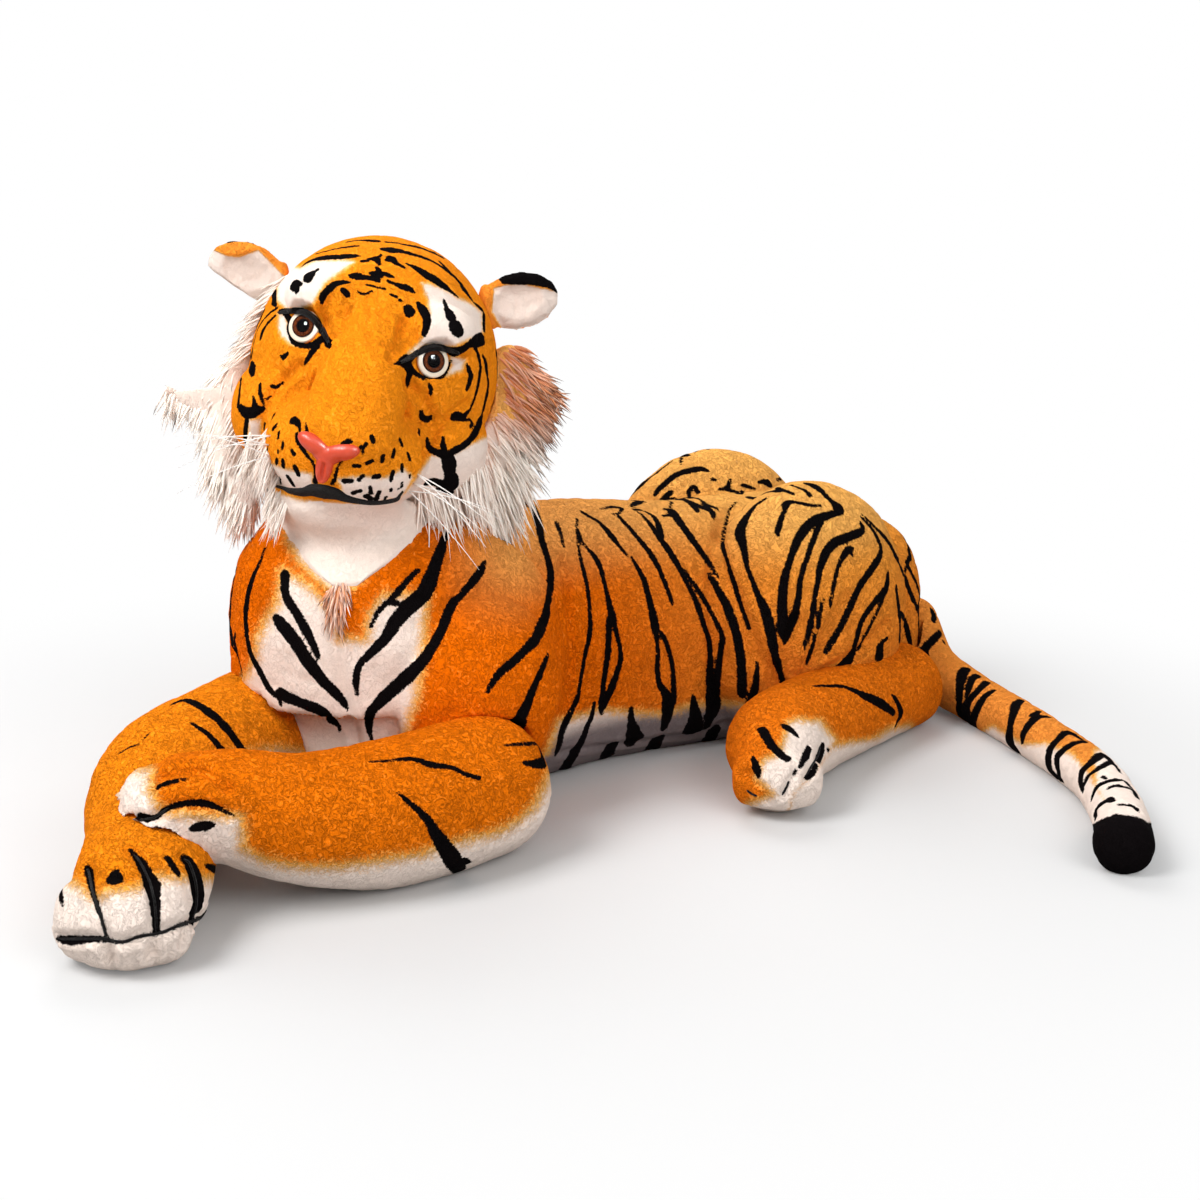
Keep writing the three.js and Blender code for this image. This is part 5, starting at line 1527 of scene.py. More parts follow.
def torso():
    skin = Skin("torso_plush", ["torso_cover", "belly_panel", "torso_filling"], TORSO_VOXEL, torso_forms())
    settle(skin, *TORSO_LUMPS)
    tree = skin.tree()
    seams = cast_strokes(tree, TORSO_SEAMS)
    far_seam = mirrored(tree, seams[1:], flip_torso)
    panel = cast_strokes(tree, [PANEL_SEAM])
    folds = cast_strokes(tree, HAUNCH_CREASES + BREAST_CREASES)
    groove(skin, seams + far_seam, *SEAM_GROOVE)
    groove(skin, panel + mirrored(tree, panel, flip_torso), *PANEL_GROOVE)
    groove(skin, folds, *FOLD_GROOVE)
    seen = skin.points
    along, up = seen[:, 1], seen[:, 2]
    left = seen[:, 0] > middle_of_torso(along)
    sided = np.where(left[:, None], seen, flip_torso(seen))
    facing = skin.normals() @ (CAMERA_AT - ORIGIN) > 0
    behind = 1 - smoothstep(*CHEST_FRONT, along)
    chest = zone(seen, CHEST_WHITE_ZONES, CHEST_SOFT) * facing
    flank = zone(sided, [FLANK_WHITE_ZONE], FLANK_SOFT) * behind
    height = smoothstep(*REAR_UP, up)
    paint(
        skin,
        torso_strokes(skin.tree()),
        TORSO_LEAST,
        white=np.maximum(np.maximum(chest, flank), smoothstep(*BELLY_WHITE, up) * behind),
        # Painted shade: grey towards the underside of the belly
        grey=smoothstep(*BELLY_PAINTED_SHADE, up) * behind,
        tan=smoothstep(*REAR_ALONG, along) * (REAR_TAN_SHARE + (1 - REAR_TAN_SHARE) * height),
        # Painted highlight: pale along the top of the back
        pale=PAINTED_HIGHLIGHT_SHARE * smoothstep(*PAINTED_HIGHLIGHT_UP, up) * smoothstep(*PAINTED_HIGHLIGHT_ALONG, along),
    )
    finish(skin, COAT, "torso")
    return skin


PAW_REACH = 15 * MM
RIGHT_PAW_FOLDS = [
    [(87, 867), (89, 873), (93, 893), (99, 911), (104, 928), (107, 940), (111, 960)],
    [(130, 850), (140, 862), (149, 880), (154, 898), (156, 918), (155, 934), (152, 956)],
    [(183, 857), (190, 865), (196, 885), (196, 905), (190, 922), (184, 942)],
    [(58, 938), (63, 939), (70, 939), (90, 939), (106, 939), (122, 942), (142, 936), (160, 933),
     (178, 926), (195, 920), (214, 914)],
]
LEFT_PAW_FOLDS = [
    [(138, 820), (155, 817), (168, 808), (187, 804), (208, 805), (228, 814)],
    [(155, 836), (168, 839), (176, 846), (183, 862), (190, 872)],
    [(158, 777), (171, 772), (185, 770), (200, 770), (212, 774), (228, 787)],
]
HIND_PAW_FOLDS = [
    [(740, 772), (752, 779), (762, 790), (768, 802)],
    [(783, 797), (788, 785), (795, 774)],
    [(806, 780), (812, 770), (818, 757), (822, 744)],
    [(800, 688), (812, 690), (826, 699), (836, 710), (842, 722)],
]
LEFT_PAW_SMOOTH = [(90, 740), (225, 740), (225, 900), (90, 900)]
SMOOTH_ROUNDS = 60
SMOOTH_EDGE = 5
LEFT_PAW_START_SHARE = 0.1
LEFT_PAW_KEEP_SHARE = 0.8
HIND_LEG_START_SHARE = -0.2
HIND_LEG_KEEP_SHARE = 0.6
LIMB_SOFT = 18
HIND_LEG_SOFT = 11
TURNED_AWAY = -0.2
LOW_WHITE = (0.05, 0.03)
# Painted light: shares of brighter orange on the legs, more on the lit foreleg than on the shaded one
RIGHT_FORELEG_PAINTED_LIGHT = 0.7
LEFT_FORELEG_PAINTED_LIGHT = 0.25
HIND_LEG_PAINTED_LIGHT = 0.15
HIND_LEG_TAN = 0.12


def shorten(skin, rows, start, keep):
    """Draws the end of a limb back towards its last row."""
    end = rows[-1][0]
    along = (end - rows[-2][0]) * (1, 1, 0)
    along /= np.linalg.norm(along)
    past = np.maximum((skin.points - end) @ along - start * rows[-1][1], 0)
    skin.points = skin.points - ((1 - keep) * past)[:, None] * along


def limb_skin(name, shares, girth, side=1):
    nodes = [f"{name}_cover", f"{name}_filling"]
    return Skin(f"{name}_plush", nodes, LIMB_VOXEL, limb_forms(shares, girth, side), PAW_REACH)


def foreleg(skin, body, strokes, zones, folds, vivid):
    settle(skin, *LIMB_LUMPS, len(skin.name))
    groove(skin, cast_strokes(skin.tree(), folds), *PAW_GROOVE)
    skin.points[:, 2] = np.maximum(skin.points[:, 2], GROUND)
    facing = skin.normals() @ (CAMERA_AT - ORIGIN) > TURNED_AWAY
    hidden = np.where(facing, 0, smoothstep(*LOW_WHITE, skin.points[:, 2]))
    white = np.maximum(zone(skin.points, zones, LIMB_SOFT), hidden)
    paint(skin, cast_strokes(skin.tree(), strokes), LIMB_LEAST, white=white, vivid=vivid)
    finish(skin, COAT_LIMB, body)
    return skin


def right_foreleg():
    skin = limb_skin("right_foreleg", RIGHT_FORELEG_SHARES, FORELEG_GIRTH)
    looks = (RIGHT_FORELEG_STROKES, RIGHT_PAW_WHITE_ZONES, RIGHT_PAW_FOLDS, RIGHT_FORELEG_PAINTED_LIGHT)
    return foreleg(skin, "torso", *looks)


def left_foreleg():
    skin = limb_skin("left_foreleg", LEFT_FORELEG_SHARES, FORELEG_GIRTH)
    rows = limb_rows(LEFT_FORELEG_SHARES, FORELEG_GIRTH)
    shorten(skin, rows, LEFT_PAW_START_SHARE, LEFT_PAW_KEEP_SHARE)
    skin.relax(SMOOTH_ROUNDS, where=zone(skin.points, [LEFT_PAW_SMOOTH], SMOOTH_EDGE))
    looks = (LEFT_FORELEG_STROKES, LEFT_FORELEG_WHITE_ZONES, LEFT_PAW_FOLDS, LEFT_FORELEG_PAINTED_LIGHT)
    return foreleg(skin, "left_foreleg", *looks)


def hind_legs():
    """The right hind leg is the left one mirrored."""
    out = []
    for side, name in ((1, "left"), (-1, "right")):
        skin = limb_skin(f"{name}_hind_leg", HIND_LEG_SHARES, HIND_LEG_GIRTH, side)
        rows = limb_rows(HIND_LEG_SHARES, HIND_LEG_GIRTH, side)[::-1]
        shorten(skin, rows, HIND_LEG_START_SHARE, HIND_LEG_KEEP_SHARE)
        settle(skin, *HIND_LEG_LUMPS)
        tree = skin.tree()
        folds = cast_strokes(tree, HIND_PAW_FOLDS) if side == 1 else mirrored(tree, folds, flip_hips)
        groove(skin, folds, *HIND_PAW_GROOVE)
        tree = skin.tree()
        marks = cast_strokes(tree, HIND_LEG_STROKES) if side == 1 else mirrored(tree, marks, flip_hips)
        sided = skin.points if side == 1 else flip_hips(skin.points)
        white = zone(sided, HIND_LEG_WHITE_ZONES, HIND_LEG_SOFT)
        paint(skin, marks, LIMB_LEAST, white=white, tan=HIND_LEG_TAN, vivid=HIND_LEG_PAINTED_LIGHT)
        finish(skin, COAT_LIMB, "torso")
        out.append(skin)
    return out


TAIL_BAND_SHARE = 1.15
TAIL_BEND = 30 * MM
TAIL_TAN = 0.45
TAIL_PALE = 0.2
TAIL_SOFT = 7
TAIL_STEPS = 8
SEEN_TAIL_STEPS = 6
CARRY_STEPS = 12
CARRY_AHEAD = 4
ASIDE_LIMIT = 0.92
LEAST_PIXEL = 1e-6


def tail_middle():
    return spline([row[0] for row in limb_rows(TAIL_SHARES, TAIL_GIRTH)], TAIL_STEPS)


def tail_marks(skin, seen):
    """The bands of the tail, carried from the photograph to the model, on both of its sides."""
    strokes = []
    for stroke in TAIL_STROKES:
        places = carried([point[:2] for point in stroke], TAIL_LINE, seen)
        strokes.append([(*place, TAIL_BAND_SHARE * point[2]) for place, point in zip(places, stroke)])
    tree = skin.tree()
    marks = cast_strokes(tree, strokes)
    return marks + mirrored(tree, marks, flip_tail)


def tail():
    """One skin over the whole tail, which bends where the tail curls."""
    nodes = ["tail_base_cover", "tail_base_filling", "tail_end_cover", "tail_end_filling", "tail_tip_cover"]
    skin = Skin("tail_plush", nodes, TAIL_VOXEL, list(limb_forms(TAIL_SHARES, TAIL_GIRTH, toes=False)))
    settle(skin, *TAIL_LUMPS)
    seen = tail_line()
    marks = tail_marks(skin, seen)
    groove(skin, marks, *BAND_GROOVE)
    pixels = carried(pixels_of(skin.points), seen, TAIL_LINE)
    depth = np.min([zone_depth(pixels, outline) for outline in TAIL_WHITE_ZONES], axis=0)
    white = 1 - smoothstep(-TAIL_SOFT, TAIL_SOFT, depth)
    paint(skin, marks, TAIL_LEAST, white=white, tan=TAIL_TAN, pale=TAIL_PALE * (1 - white))
    tip = zone_depth(pixels, TAIL_TIP_ZONE) * MM
    skin.attributes["black"] = np.minimum(skin.attributes["black"], tip)
    bend = np.array(JOINTS["tail_curl"]["pos_m"])
    line = tail_middle()
    near = int(np.argmin(np.linalg.norm(line - bend, axis=1)))
    along = line[near + 1] - line[near - 1]
    reach = TAIL_BEND * along / np.linalg.norm(along)
    thing = skin.build(COAT)
    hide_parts(*nodes)
    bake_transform(thing, "tail_base", "tail_end", start=tuple(bend - reach), end=tuple(bend + reach))


def tail_line():
    """The model's tail as seen by the camera, as places and half widths in pixels."""
    rows = spline([(*row[0], row[1]) for row in limb_rows(TAIL_SHARES, TAIL_GIRTH)], SEEN_TAIL_STEPS)
    depth = (rows[:, :3] - CAMERA_AT) @ LOOK
    return np.column_stack([pixels_of(rows[:, :3]), rows[:, 3] * FOCAL_PIXELS / depth])


def carried(pixels, source, target):
    """Moves pixels from one bent strip to another. Both are measured back from their last place."""
    def lengths(line):
        return np.append(0, np.cumsum(np.linalg.norm(np.diff(line[:, :2], axis=0), axis=1)))

    source = spline(source, CARRY_STEPS)
    target = np.asarray(target, float)
    back = lengths(source[::-1])[::-1]
    far = lengths(target[::-1])

    def on_target(travel, columns):
        return np.array([np.interp(travel, far, target[::-1, k]) for k in range(columns)])

    out = []
    for point in np.asarray(pixels, float):
        i = int(np.argmin(np.linalg.norm(source[:, :2] - point, axis=1)))
        along = source[min(i + 1, len(source) - 1), :2] - source[max(i - 1, 0), :2]
        along /= np.linalg.norm(along)
        away = point - source[i, :2]
        aside = (along[0] * away[1] - along[1] * away[0]) / source[i, 2]
        aside = np.clip(aside, -ASIDE_LIMIT, ASIDE_LIMIT)
        travel = back[i] - away @ along
        spot = on_target(travel, 3)
        ahead = on_target(travel - CARRY_AHEAD, 2) - on_target(travel + CARRY_AHEAD, 2)
        ahead /= max(np.linalg.norm(ahead), LEAST_PIXEL)
        across = np.array([-ahead[1], ahead[0]])
        out.append(spot[:2] + aside * spot[2] * across - min(travel, 0) * ahead)
    return np.array(out)


def flip_tail(points):
    """The far side of the tail, through its middle line."""
    line = tail_middle()
    out = np.array(points, float)
    for i, point in enumerate(out):
        out[i] = 2 * line[np.argmin(np.linalg.norm(line - point, axis=1))] - point
    return out


# Fittings of the face
EYE_RADIUS = 16 * MM
IRIS_RADIUS = 0.7 * EYE_RADIUS
EYE_PIECES = [f"{side}_eye_{piece}" for side in ("left", "right") for piece in ("socket", "dome")]
DOME_WIDTH_SHARE = 0.94
DOME_HEIGHT_SHARE = 0.4
DOME_FOOT = 3.7 * MM
DOME_STEPS = 10
EYE_SIDES = 64
CUP_SIDES = 48
CUP_ROUGHNESS = 0.4
SHANK = 4 * MM
PIN = 0.5 * MM
IRIS_MIDDLE = 4.7 * MM

# Profiles of the eye's pieces as (radius, height)
CUP_RIM = [
    (PIN, -11 * MM), (SHANK, -10.5 * MM), (SHANK, -0.5 * MM), (0.93 * EYE_RADIUS, -0.4 * MM),
    (EYE_RADIUS, 0.6 * MM), (0.99 * EYE_RADIUS, 2.4 * MM), (0.95 * EYE_RADIUS, 3.3 * MM),
    (0.9 * EYE_RADIUS, 3.5 * MM), (PIN, 3.5 * MM),
]
IRIS_DISC = [(0.3 * MM, DOME_FOOT), (IRIS_RADIUS, DOME_FOOT), (IRIS_RADIUS, 4.4 * MM), (0.3 * MM, 4.9 * MM)]
DOME_HOLLOW = [(0.2 * MM, 5.1 * MM), (0.74 * EYE_RADIUS, 4.6 * MM), (0.76 * EYE_RADIUS, 3.9 * MM)]
DOME_TOP = (0.2 * MM, DOME_FOOT + DOME_HEIGHT_SHARE * EYE_RADIUS)

# A place on the face as shares of the head's size, and the way that it faces
FACE_PLACE_SHARES = {
    "left_eye": ((0.222, -0.35, 0.162), (0.42, -1, 0.2)),
    "right_eye": ((-0.26, -0.33, 0.164), (-0.42, -1, 0.2)),
    "nose": ((-0.05, -0.648, -0.232), (-0.12, -1, -0.25)),
}


def face_frame(name):
    """A frame on the face whose third axis points out and whose second points up."""
    point, way = FACE_PLACE_SHARES[name]
    out = Vector(way).normalized()
    right = Vector(UP).cross(out).normalized()
    turn = Matrix((right, out.cross(right), out)).transposed().to_4x4()
    return HEAD_PLACE @ Matrix.Translation(Vector(point) * HEAD_SIZE) @ turn


def dressed(thing, material, body, nodes=()):
    """Gives a fitting its material and its body, and hides the nodes that it stands for."""
    thing.data.materials.append(material)
    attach(thing, body)
    if nodes:
        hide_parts(*nodes)
    return thing


def smooth_piece(name, points, faces):
    thing = mesh_object(name, points, faces)
    thing.data.shade_smooth()
    return thing


def ring_points(count):
    """Angles round a circle."""
    return [k / count * 2 * math.pi for k in range(count)]


def turned(name, rim, place, sides):
    """A round piece from its profile of (radius, height), turned round a frame's third axis."""
    points = []
    for radius, height in rim:
        for angle in ring_points(sides):
            points.append(place @ Vector((radius * math.cos(angle), radius * math.sin(angle), height)))
    faces = []
    for i in range(len(rim) - 1):
        for k in range(sides):
            j = (k + 1) % sides
            faces.append((i * sides + k, i * sides + j, (i + 1) * sides + j, (i + 1) * sides + k))
    faces.append(tuple(range((len(rim) - 1) * sides, len(rim) * sides)))
    faces.append(tuple(reversed(range(sides))))
    thing = mesh_object(name, points, faces)
    for face in thing.data.polygons:
        face.use_smooth = len(face.vertices) == 4
    return thing


def eyes():
    cup = plastic_material("eye_cup", CUP_COLOURS, CUP_ROUGHNESS)
    dome = []
    for k in range(DOME_STEPS):
        angle = k / DOME_STEPS * math.pi / 2
        height = DOME_FOOT + DOME_HEIGHT_SHARE * EYE_RADIUS * math.sin(angle)
        dome.append((DOME_WIDTH_SHARE * EYE_RADIUS * math.cos(angle), height))
    for side in ("left", "right"):
        eye = f"{side}_eye"
        place = face_frame(eye)
        lens = lens_material(place)
        iris = iris_material(place @ Vector((0, 0, IRIS_MIDDLE)), IRIS_RADIUS)
        for piece, node, rim, material, sides in (
            ("socket", "cup", CUP_RIM, cup, CUP_SIDES),
            ("colour", "iris", IRIS_DISC, iris, EYE_SIDES),
            ("dome", "lens", [*DOME_HOLLOW, *dome, DOME_TOP], lens, EYE_SIDES),
        ):
            thing = turned(f"{eye}_{piece}", rim, place, sides)
            dressed(thing, material, "head", [f"{eye}_{node}"])


LID_STROKES = {
    "right": [(279, 313, 3), (289, 311, 6), (301, 311, 7), (311, 316, 7), (319, 325, 7), (325, 335, 6),
              (329, 344, 3)],
    "left": [(400, 363, 3), (411, 357, 6), (423, 350, 7), (436, 347, 7), (449, 350, 6), (459, 353, 3)],
}
LID_LIFT = 2.4 * MM
MOUTH_LIFT = 1.4 * MM
RIBBON_SINK = 0.2 * MM
RIBBON_LINES = 7


def ribbon(name, tree, strokes, lift):
    """A domed strip that lies on a surface along strokes."""
    points = []
    faces = []
    for stroke in strokes:
        line = spline(stroke, CURVE_STEPS)
        along = np.gradient(line[:, :2], axis=0)
        along /= np.linalg.norm(along, axis=1, keepdims=True)
        across = np.column_stack([-along[:, 1], along[:, 0]])
        start = len(points)
        for share in np.linspace(-1, 1, RIBBON_LINES):
            for point, side, width in zip(line[:, :2], across, line[:, 2]):
                spot = cast(tree, [point + side * width / 2 * share])[0]
                hit, normal, _, _ = tree.find_nearest(spot)
                points.append(hit + normal * (lift * (1 - share**2) - RIBBON_SINK))
        rows = len(line)
        for i in range(RIBBON_LINES - 1):
            for j in range(rows - 1):
                k = start + i * rows + j
                faces.append((k, k + 1, k + rows + 1, k + rows))
    return smooth_piece(name, points, faces)


def lids(skin):
    """A raised black edge over the top of each eye."""
    points, faces = joined([(skin.points, skin.faces.tolist()), *node_meshes(EYE_PIECES)])
    tree = BVHTree.FromPolygons(points.tolist(), faces)
    for side, stroke in LID_STROKES.items():
        dressed(ribbon(f"{side}_eye_lid", tree, [stroke], LID_LIFT), THREAD, "head")


def mouth(tree):
    thing = ribbon("mouth_line", tree, MOUTH_STROKES, MOUTH_LIFT)
    dressed(thing, THREAD, "head", ["mouth_strip"])


NOSE_WIDTH = 58 * MM
NOSE_VOXEL = 0.9 * MM
NOSE_ROUNDS = 12
NOSE_RELAX_SHARES = (0.55, 0.5)

# Lobes of the nose as place, half size (shares of its width) and lean in degrees
NOSE_LOBE_SHARES = [
    (0.22, 0.07, -0.02, 0.31, 0.15, 0.13, 20),
    (-0.22, 0.07, -0.02, 0.31, 0.15, 0.13, -20),
    (0, -0.22, -0.02, 0.14, 0.32, 0.13, 0),
    (0, -0.03, -0.05, 0.26, 0.17, 0.15, 0),
]

# The slit's half width, half length and height, as shares of the nose's width
NOSE_SLIT_SHARES = (0.018, 0.19, -0.32)
SLIT_SPREAD = 2.2
SLIT_DEPTH = 4 * MM


def nose():
    """A moulding in the shape of a Y, with a slit in its stem."""
    place = face_frame("nose")
    turn = np.array(place.to_3x3())
    middle = np.array(place.translation)
    forms = []
    for *shares, angle in NOSE_LOBE_SHARES:
        at, half = np.array(shares).reshape(2, 3) * NOSE_WIDTH
        points, faces = sphere_mesh(at, half, Matrix.Rotation(math.radians(angle), 3, "Z"))
        forms.append((points @ turn.T + middle, faces))
    skin = Skin("nose_moulding", ["nose"], NOSE_VOXEL, grown=forms)
    skin.relax(NOSE_ROUNDS, *NOSE_RELAX_SHARES)
    local = (skin.points - middle) @ turn
    half, long, at = (share * NOSE_WIDTH for share in NOSE_SLIT_SHARES)
    across = np.abs(local[:, 0]) / (SLIT_SPREAD * half)
    down = np.abs(local[:, 1] - at) / long
    local[:, 2] -= SLIT_DEPTH * np.exp(-(across**2)) * (down < 1) * (1 - down**4) * (local[:, 2] > 0)
    thing = smooth_piece(skin.name, local @ turn.T + middle, skin.faces)
    dressed(thing, vinyl_material(), "head", skin.nodes)


STILL = 1e-7
NEARLY_UPRIGHT = 0.9
NEARLY_NOTHING = 1e-4
STRAND_SIDES = 6


def tubes(name, lines, radii, sides=STRAND_SIDES, attributes=None):
    """Thin round strands along lines of points. A strand's radius runs along radii."""
    points = []
    faces = []
    values = {key: [] for key in (attributes or {})}
    for index, (line, sizes) in enumerate(zip(lines, radii)):
        line = np.asarray(line, float)
        along = np.gradient(line, axis=0)
        along[np.linalg.norm(along, axis=1) < STILL] = UP
        along /= np.linalg.norm(along, axis=1, keepdims=True)
        start = len(points)
        side = np.cross(along[0], UP if abs(along[0][2]) < NEARLY_UPRIGHT else CAMERA_RIGHT)
        for k, (at, way, size) in enumerate(zip(line, along, sizes)):
            side = side - way * (side @ way)
            if np.linalg.norm(side) < NEARLY_NOTHING:
                side = np.cross(way, CAMERA_RIGHT)
            side /= np.linalg.norm(side)
            up = np.cross(way, side)
            for angle in ring_points(sides):
                points.append(at + size * (side * math.cos(angle) + up * math.sin(angle)))
            for key in values:
                values[key] += [attributes[key][index][k]] * sides
        rings = len(line)
        for k in range(rings - 1):
            for j in range(sides):
                i = (j + 1) % sides
                a = start + k * sides
                faces.append((a + j, a + i, a + sides + i, a + sides + j))
        faces.append(tuple(start + j for j in reversed(range(sides))))
        faces.append(tuple(start + (rings - 1) * sides + j for j in range(sides)))
    thing = smooth_piece(name, points, faces)
    for key, column in values.items():
        layer = thing.data.attributes.new(key, "FLOAT", "POINT")
        layer.data.foreach_set("value", np.asarray(column, np.float32))
    return thing


WHISKER_PAD_SHARE = (0.235, -0.46, -0.27)
WHISKER_GAP_SHARE = 0.03
WHISKER_ROWS = 3
WHISKER_LENGTH = 90 * MM
WHISKER_RADIUS = 0.75 * MM
WHISKER_TAPER = 0.75
WHISKER_STEPS = 14
WHISKER_DROOP_SHARE = 0.16
WHISKER_BEND = 2.2
WHISKER_NYLON = (0.35, 800.0)
WHISKER_WAYS = [
    (0.9, -0.35, 0.2), (0.95, -0.2, 0.02), (0.9, -0.3, -0.18),
    (0.8, -0.1, -0.42), (0.7, -0.45, -0.1), (0.75, -0.35, -0.33),
]


def whiskers(tree):
    nylon = plastic_material("whisker_nylon", NYLON_COLOURS, *WHISKER_NYLON)
    share = np.linspace(0, 1, WHISKER_STEPS)[:, None]
    droop = -WHISKER_DROOP_SHARE * UP * share**WHISKER_BEND * WHISKER_LENGTH
    sizes = WHISKER_RADIUS * (1 - WHISKER_TAPER * share[:, 0])
    for side, name in ((1, "left"), (-1, "right")):
        lines = []
        for index, way in enumerate(WHISKER_WAYS):
            root = np.array(WHISKER_PAD_SHARE) * (side, 1, 1)
            root = root + UP * (WHISKER_GAP_SHARE * (index % WHISKER_ROWS) - WHISKER_GAP_SHARE)
            start = np.array(tree.find_nearest(in_head([root])[0])[0])
            way = np.array(way) * (side, 1, 1)
            way = HEAD_TURN @ (way / np.linalg.norm(way))
            lines.append(start + way * share * WHISKER_LENGTH + droop)
        thing = tubes(f"{name}_whisker_strands", lines, [sizes] * len(lines))
        dressed(thing, nylon, "head", [f"{name}_whiskers"])


# The head
SPOT_SHARE = 0.72
BROW_CREASES = [
    [(369, 300), (371, 313), (368, 327), (371, 341)],
    [(318, 324), (322, 333), (331, 337), (341, 331), (348, 321), (352, 312)],
    [(384, 345), (395, 350), (406, 345), (414, 333), (417, 320)],
    [(373, 307), (381, 314), (391, 320)],
    [(440, 425), (453, 411), (468, 402)],
    [(421, 412), (426, 398), (429, 385)],
]
FACE_CREASES = [
    [(352, 370), (350, 385), (350, 400), (352, 415)],
    [(366, 372), (368, 390), (366, 410)],
    [(338, 372), (333, 390), (330, 408)],
]
CHEEK_CREASES = [
    [(300, 366), (286, 378), (273, 394), (264, 412), (259, 430), (258, 445)],
    [(406, 384), (418, 394), (428, 408), (434, 424), (432, 440), (424, 456)],
    [(330, 300), (324, 318), (330, 338)],
    [(404, 322), (400, 342), (392, 358)],
]
EYE_SEAT_SHARE = 1.04
EYE_SEAT_DEPTH = 1.0 * MM
JAW_WHITE_SHARES = (-0.36, -0.42)
FACE_SOFT = 5
# Painted light: the head's orange is painted brighter, as on the lit parts
HEAD_PAINTED_LIGHT = 0.9

# Stripes on the back of the head, as shares of its size
BACK_STROKE_SHARES = [
    [(-0.3, 0.3, 0.36, 0.03), (-0.12, 0.42, 0.4, 0.05), (0.1, 0.42, 0.4, 0.05), (0.3, 0.3, 0.36, 0.03)],
    [(-0.4, 0.3, 0.2, 0.03), (-0.2, 0.48, 0.24, 0.06), (0.02, 0.52, 0.2, 0.04)],
    [(0.42, 0.28, 0.18, 0.03), (0.25, 0.46, 0.2, 0.06), (0.1, 0.52, 0.12, 0.03)],
    [(-0.46, 0.22, 0.02, 0.03), (-0.25, 0.46, 0.04, 0.055), (-0.05, 0.52, -0.02, 0.03)],
    [(0.46, 0.22, 0.0, 0.03), (0.28, 0.45, 0.0, 0.055), (0.05, 0.52, 0.04, 0.03)],
    [(-0.42, 0.25, -0.16, 0.03), (-0.2, 0.46, -0.14, 0.06), (0.06, 0.5, -0.2, 0.03)],
    [(0.42, 0.26, -0.18, 0.03), (0.22, 0.45, -0.18, 0.055), (0.02, 0.5, -0.1, 0.03)],
    [(-0.3, 0.1, 0.46, 0.02), (-0.1, 0.22, 0.52, 0.045), (0.12, 0.22, 0.52, 0.045), (0.3, 0.12, 0.44, 0.02)],
]


def head():
    skin = Skin("head_plush", ["head_cover", "head_filling"], HEAD_VOXEL, head_forms())
    settle(skin, *HEAD_LUMPS)
    for name in ("left_eye", "right_eye"):
        press(skin, face_frame(name), EYE_RADIUS * EYE_SEAT_SHARE, -EYE_SEAT_DEPTH)
    tree = skin.tree()
    groove(skin, cast_strokes(tree, FACE_CREASES), *FACE_GROOVE)
    groove(skin, cast_strokes(tree, CHEEK_CREASES), *CHEEK_GROOVE)
    groove(skin, cast_strokes(tree, BROW_CREASES), *BROW_GROOVE)
    tree = skin.tree()
    spots = [[(x0, y0, SPOT_SHARE * w), (x1, y1, SPOT_SHARE * w)] for x0, y0, x1, y1, w in MUZZLE_SPOTS]
    marks = cast_strokes(tree, HEAD_STROKES + spots)
    marks += laid(tree, BACK_STROKE_SHARES, in_head, HEAD_SIZE)
    facing = skin.normals() @ (CAMERA_AT - HEAD_AT) > 0
    jaw = smoothstep(*JAW_WHITE_SHARES, head_shares(skin.points)[:, 2])
    white = np.where(facing, zone(skin.points, FACE_WHITE_ZONES, FACE_SOFT), jaw)
    paint(skin, marks, HEAD_LEAST, white=white, vivid=HEAD_PAINTED_LIGHT)
    finish(skin, COAT_HEAD, "head")
    return skin


# Ears
EAR_VOXEL = 1.6 * MM
EAR_LUMP = 0.7 * MM
EAR_LUMP_SCALE = 80.0
EAR_ROUNDS = 18
EAR_FRONT = (-0.1, 0.3)
EAR_SOFT = 2.5
EAR_SEED = 3.0
# Painted light: the ears' orange is painted brighter, as on the head
EAR_PAINTED_LIGHT = 0.6
EAR_PALE = 0.2
EAR_GREY = 0.2
EAR_LIFT_SHARE = 0.85
EAR_HOLLOW = 3 * MM
FACE_AHEAD = -HEAD_TURN[:, 1]

# White linings and black tips of the ears, and the edge of the folded one, traced in pixels
EAR_LININGS = {
    "right": [(206, 251), (214, 250), (226, 256), (240, 257), (258, 250), (270, 262), (284, 276), (284, 304),
              (262, 304), (246, 298), (226, 284), (206, 270)],
    "left": [(494, 288), (506, 285), (522, 284), (545, 289), (560, 292), (558, 318), (530, 332), (503, 330),
             (492, 312)],
}
EAR_TIPS = {
    "right": [(203, 252), (212, 238), (232, 230), (264, 234), (286, 252), (266, 246), (240, 241), (216, 245)],
    "left": [(497, 277), (500, 262), (530, 256), (565, 262), (562, 296), (548, 288), (530, 285), (512, 285),
             (502, 284)],
}
EAR_CORNER = ((204, 262), (262, 304))


def lift_corner(points):
    """Raises the lower edge of the ear that is folded over, up to a line in the photograph."""
    pixels = pixels_of(points)
    (x0, y0), (x1, y1) = EAR_CORNER
    below = np.maximum(pixels[:, 1] - y0 - (pixels[:, 0] - x0) * (y1 - y0) / (x1 - x0), 0)
    depth = (points - CAMERA_AT) @ LOOK
    out = points.copy()
    out[:, 2] += EAR_LIFT_SHARE * below * depth / FOCAL_PIXELS
    return out


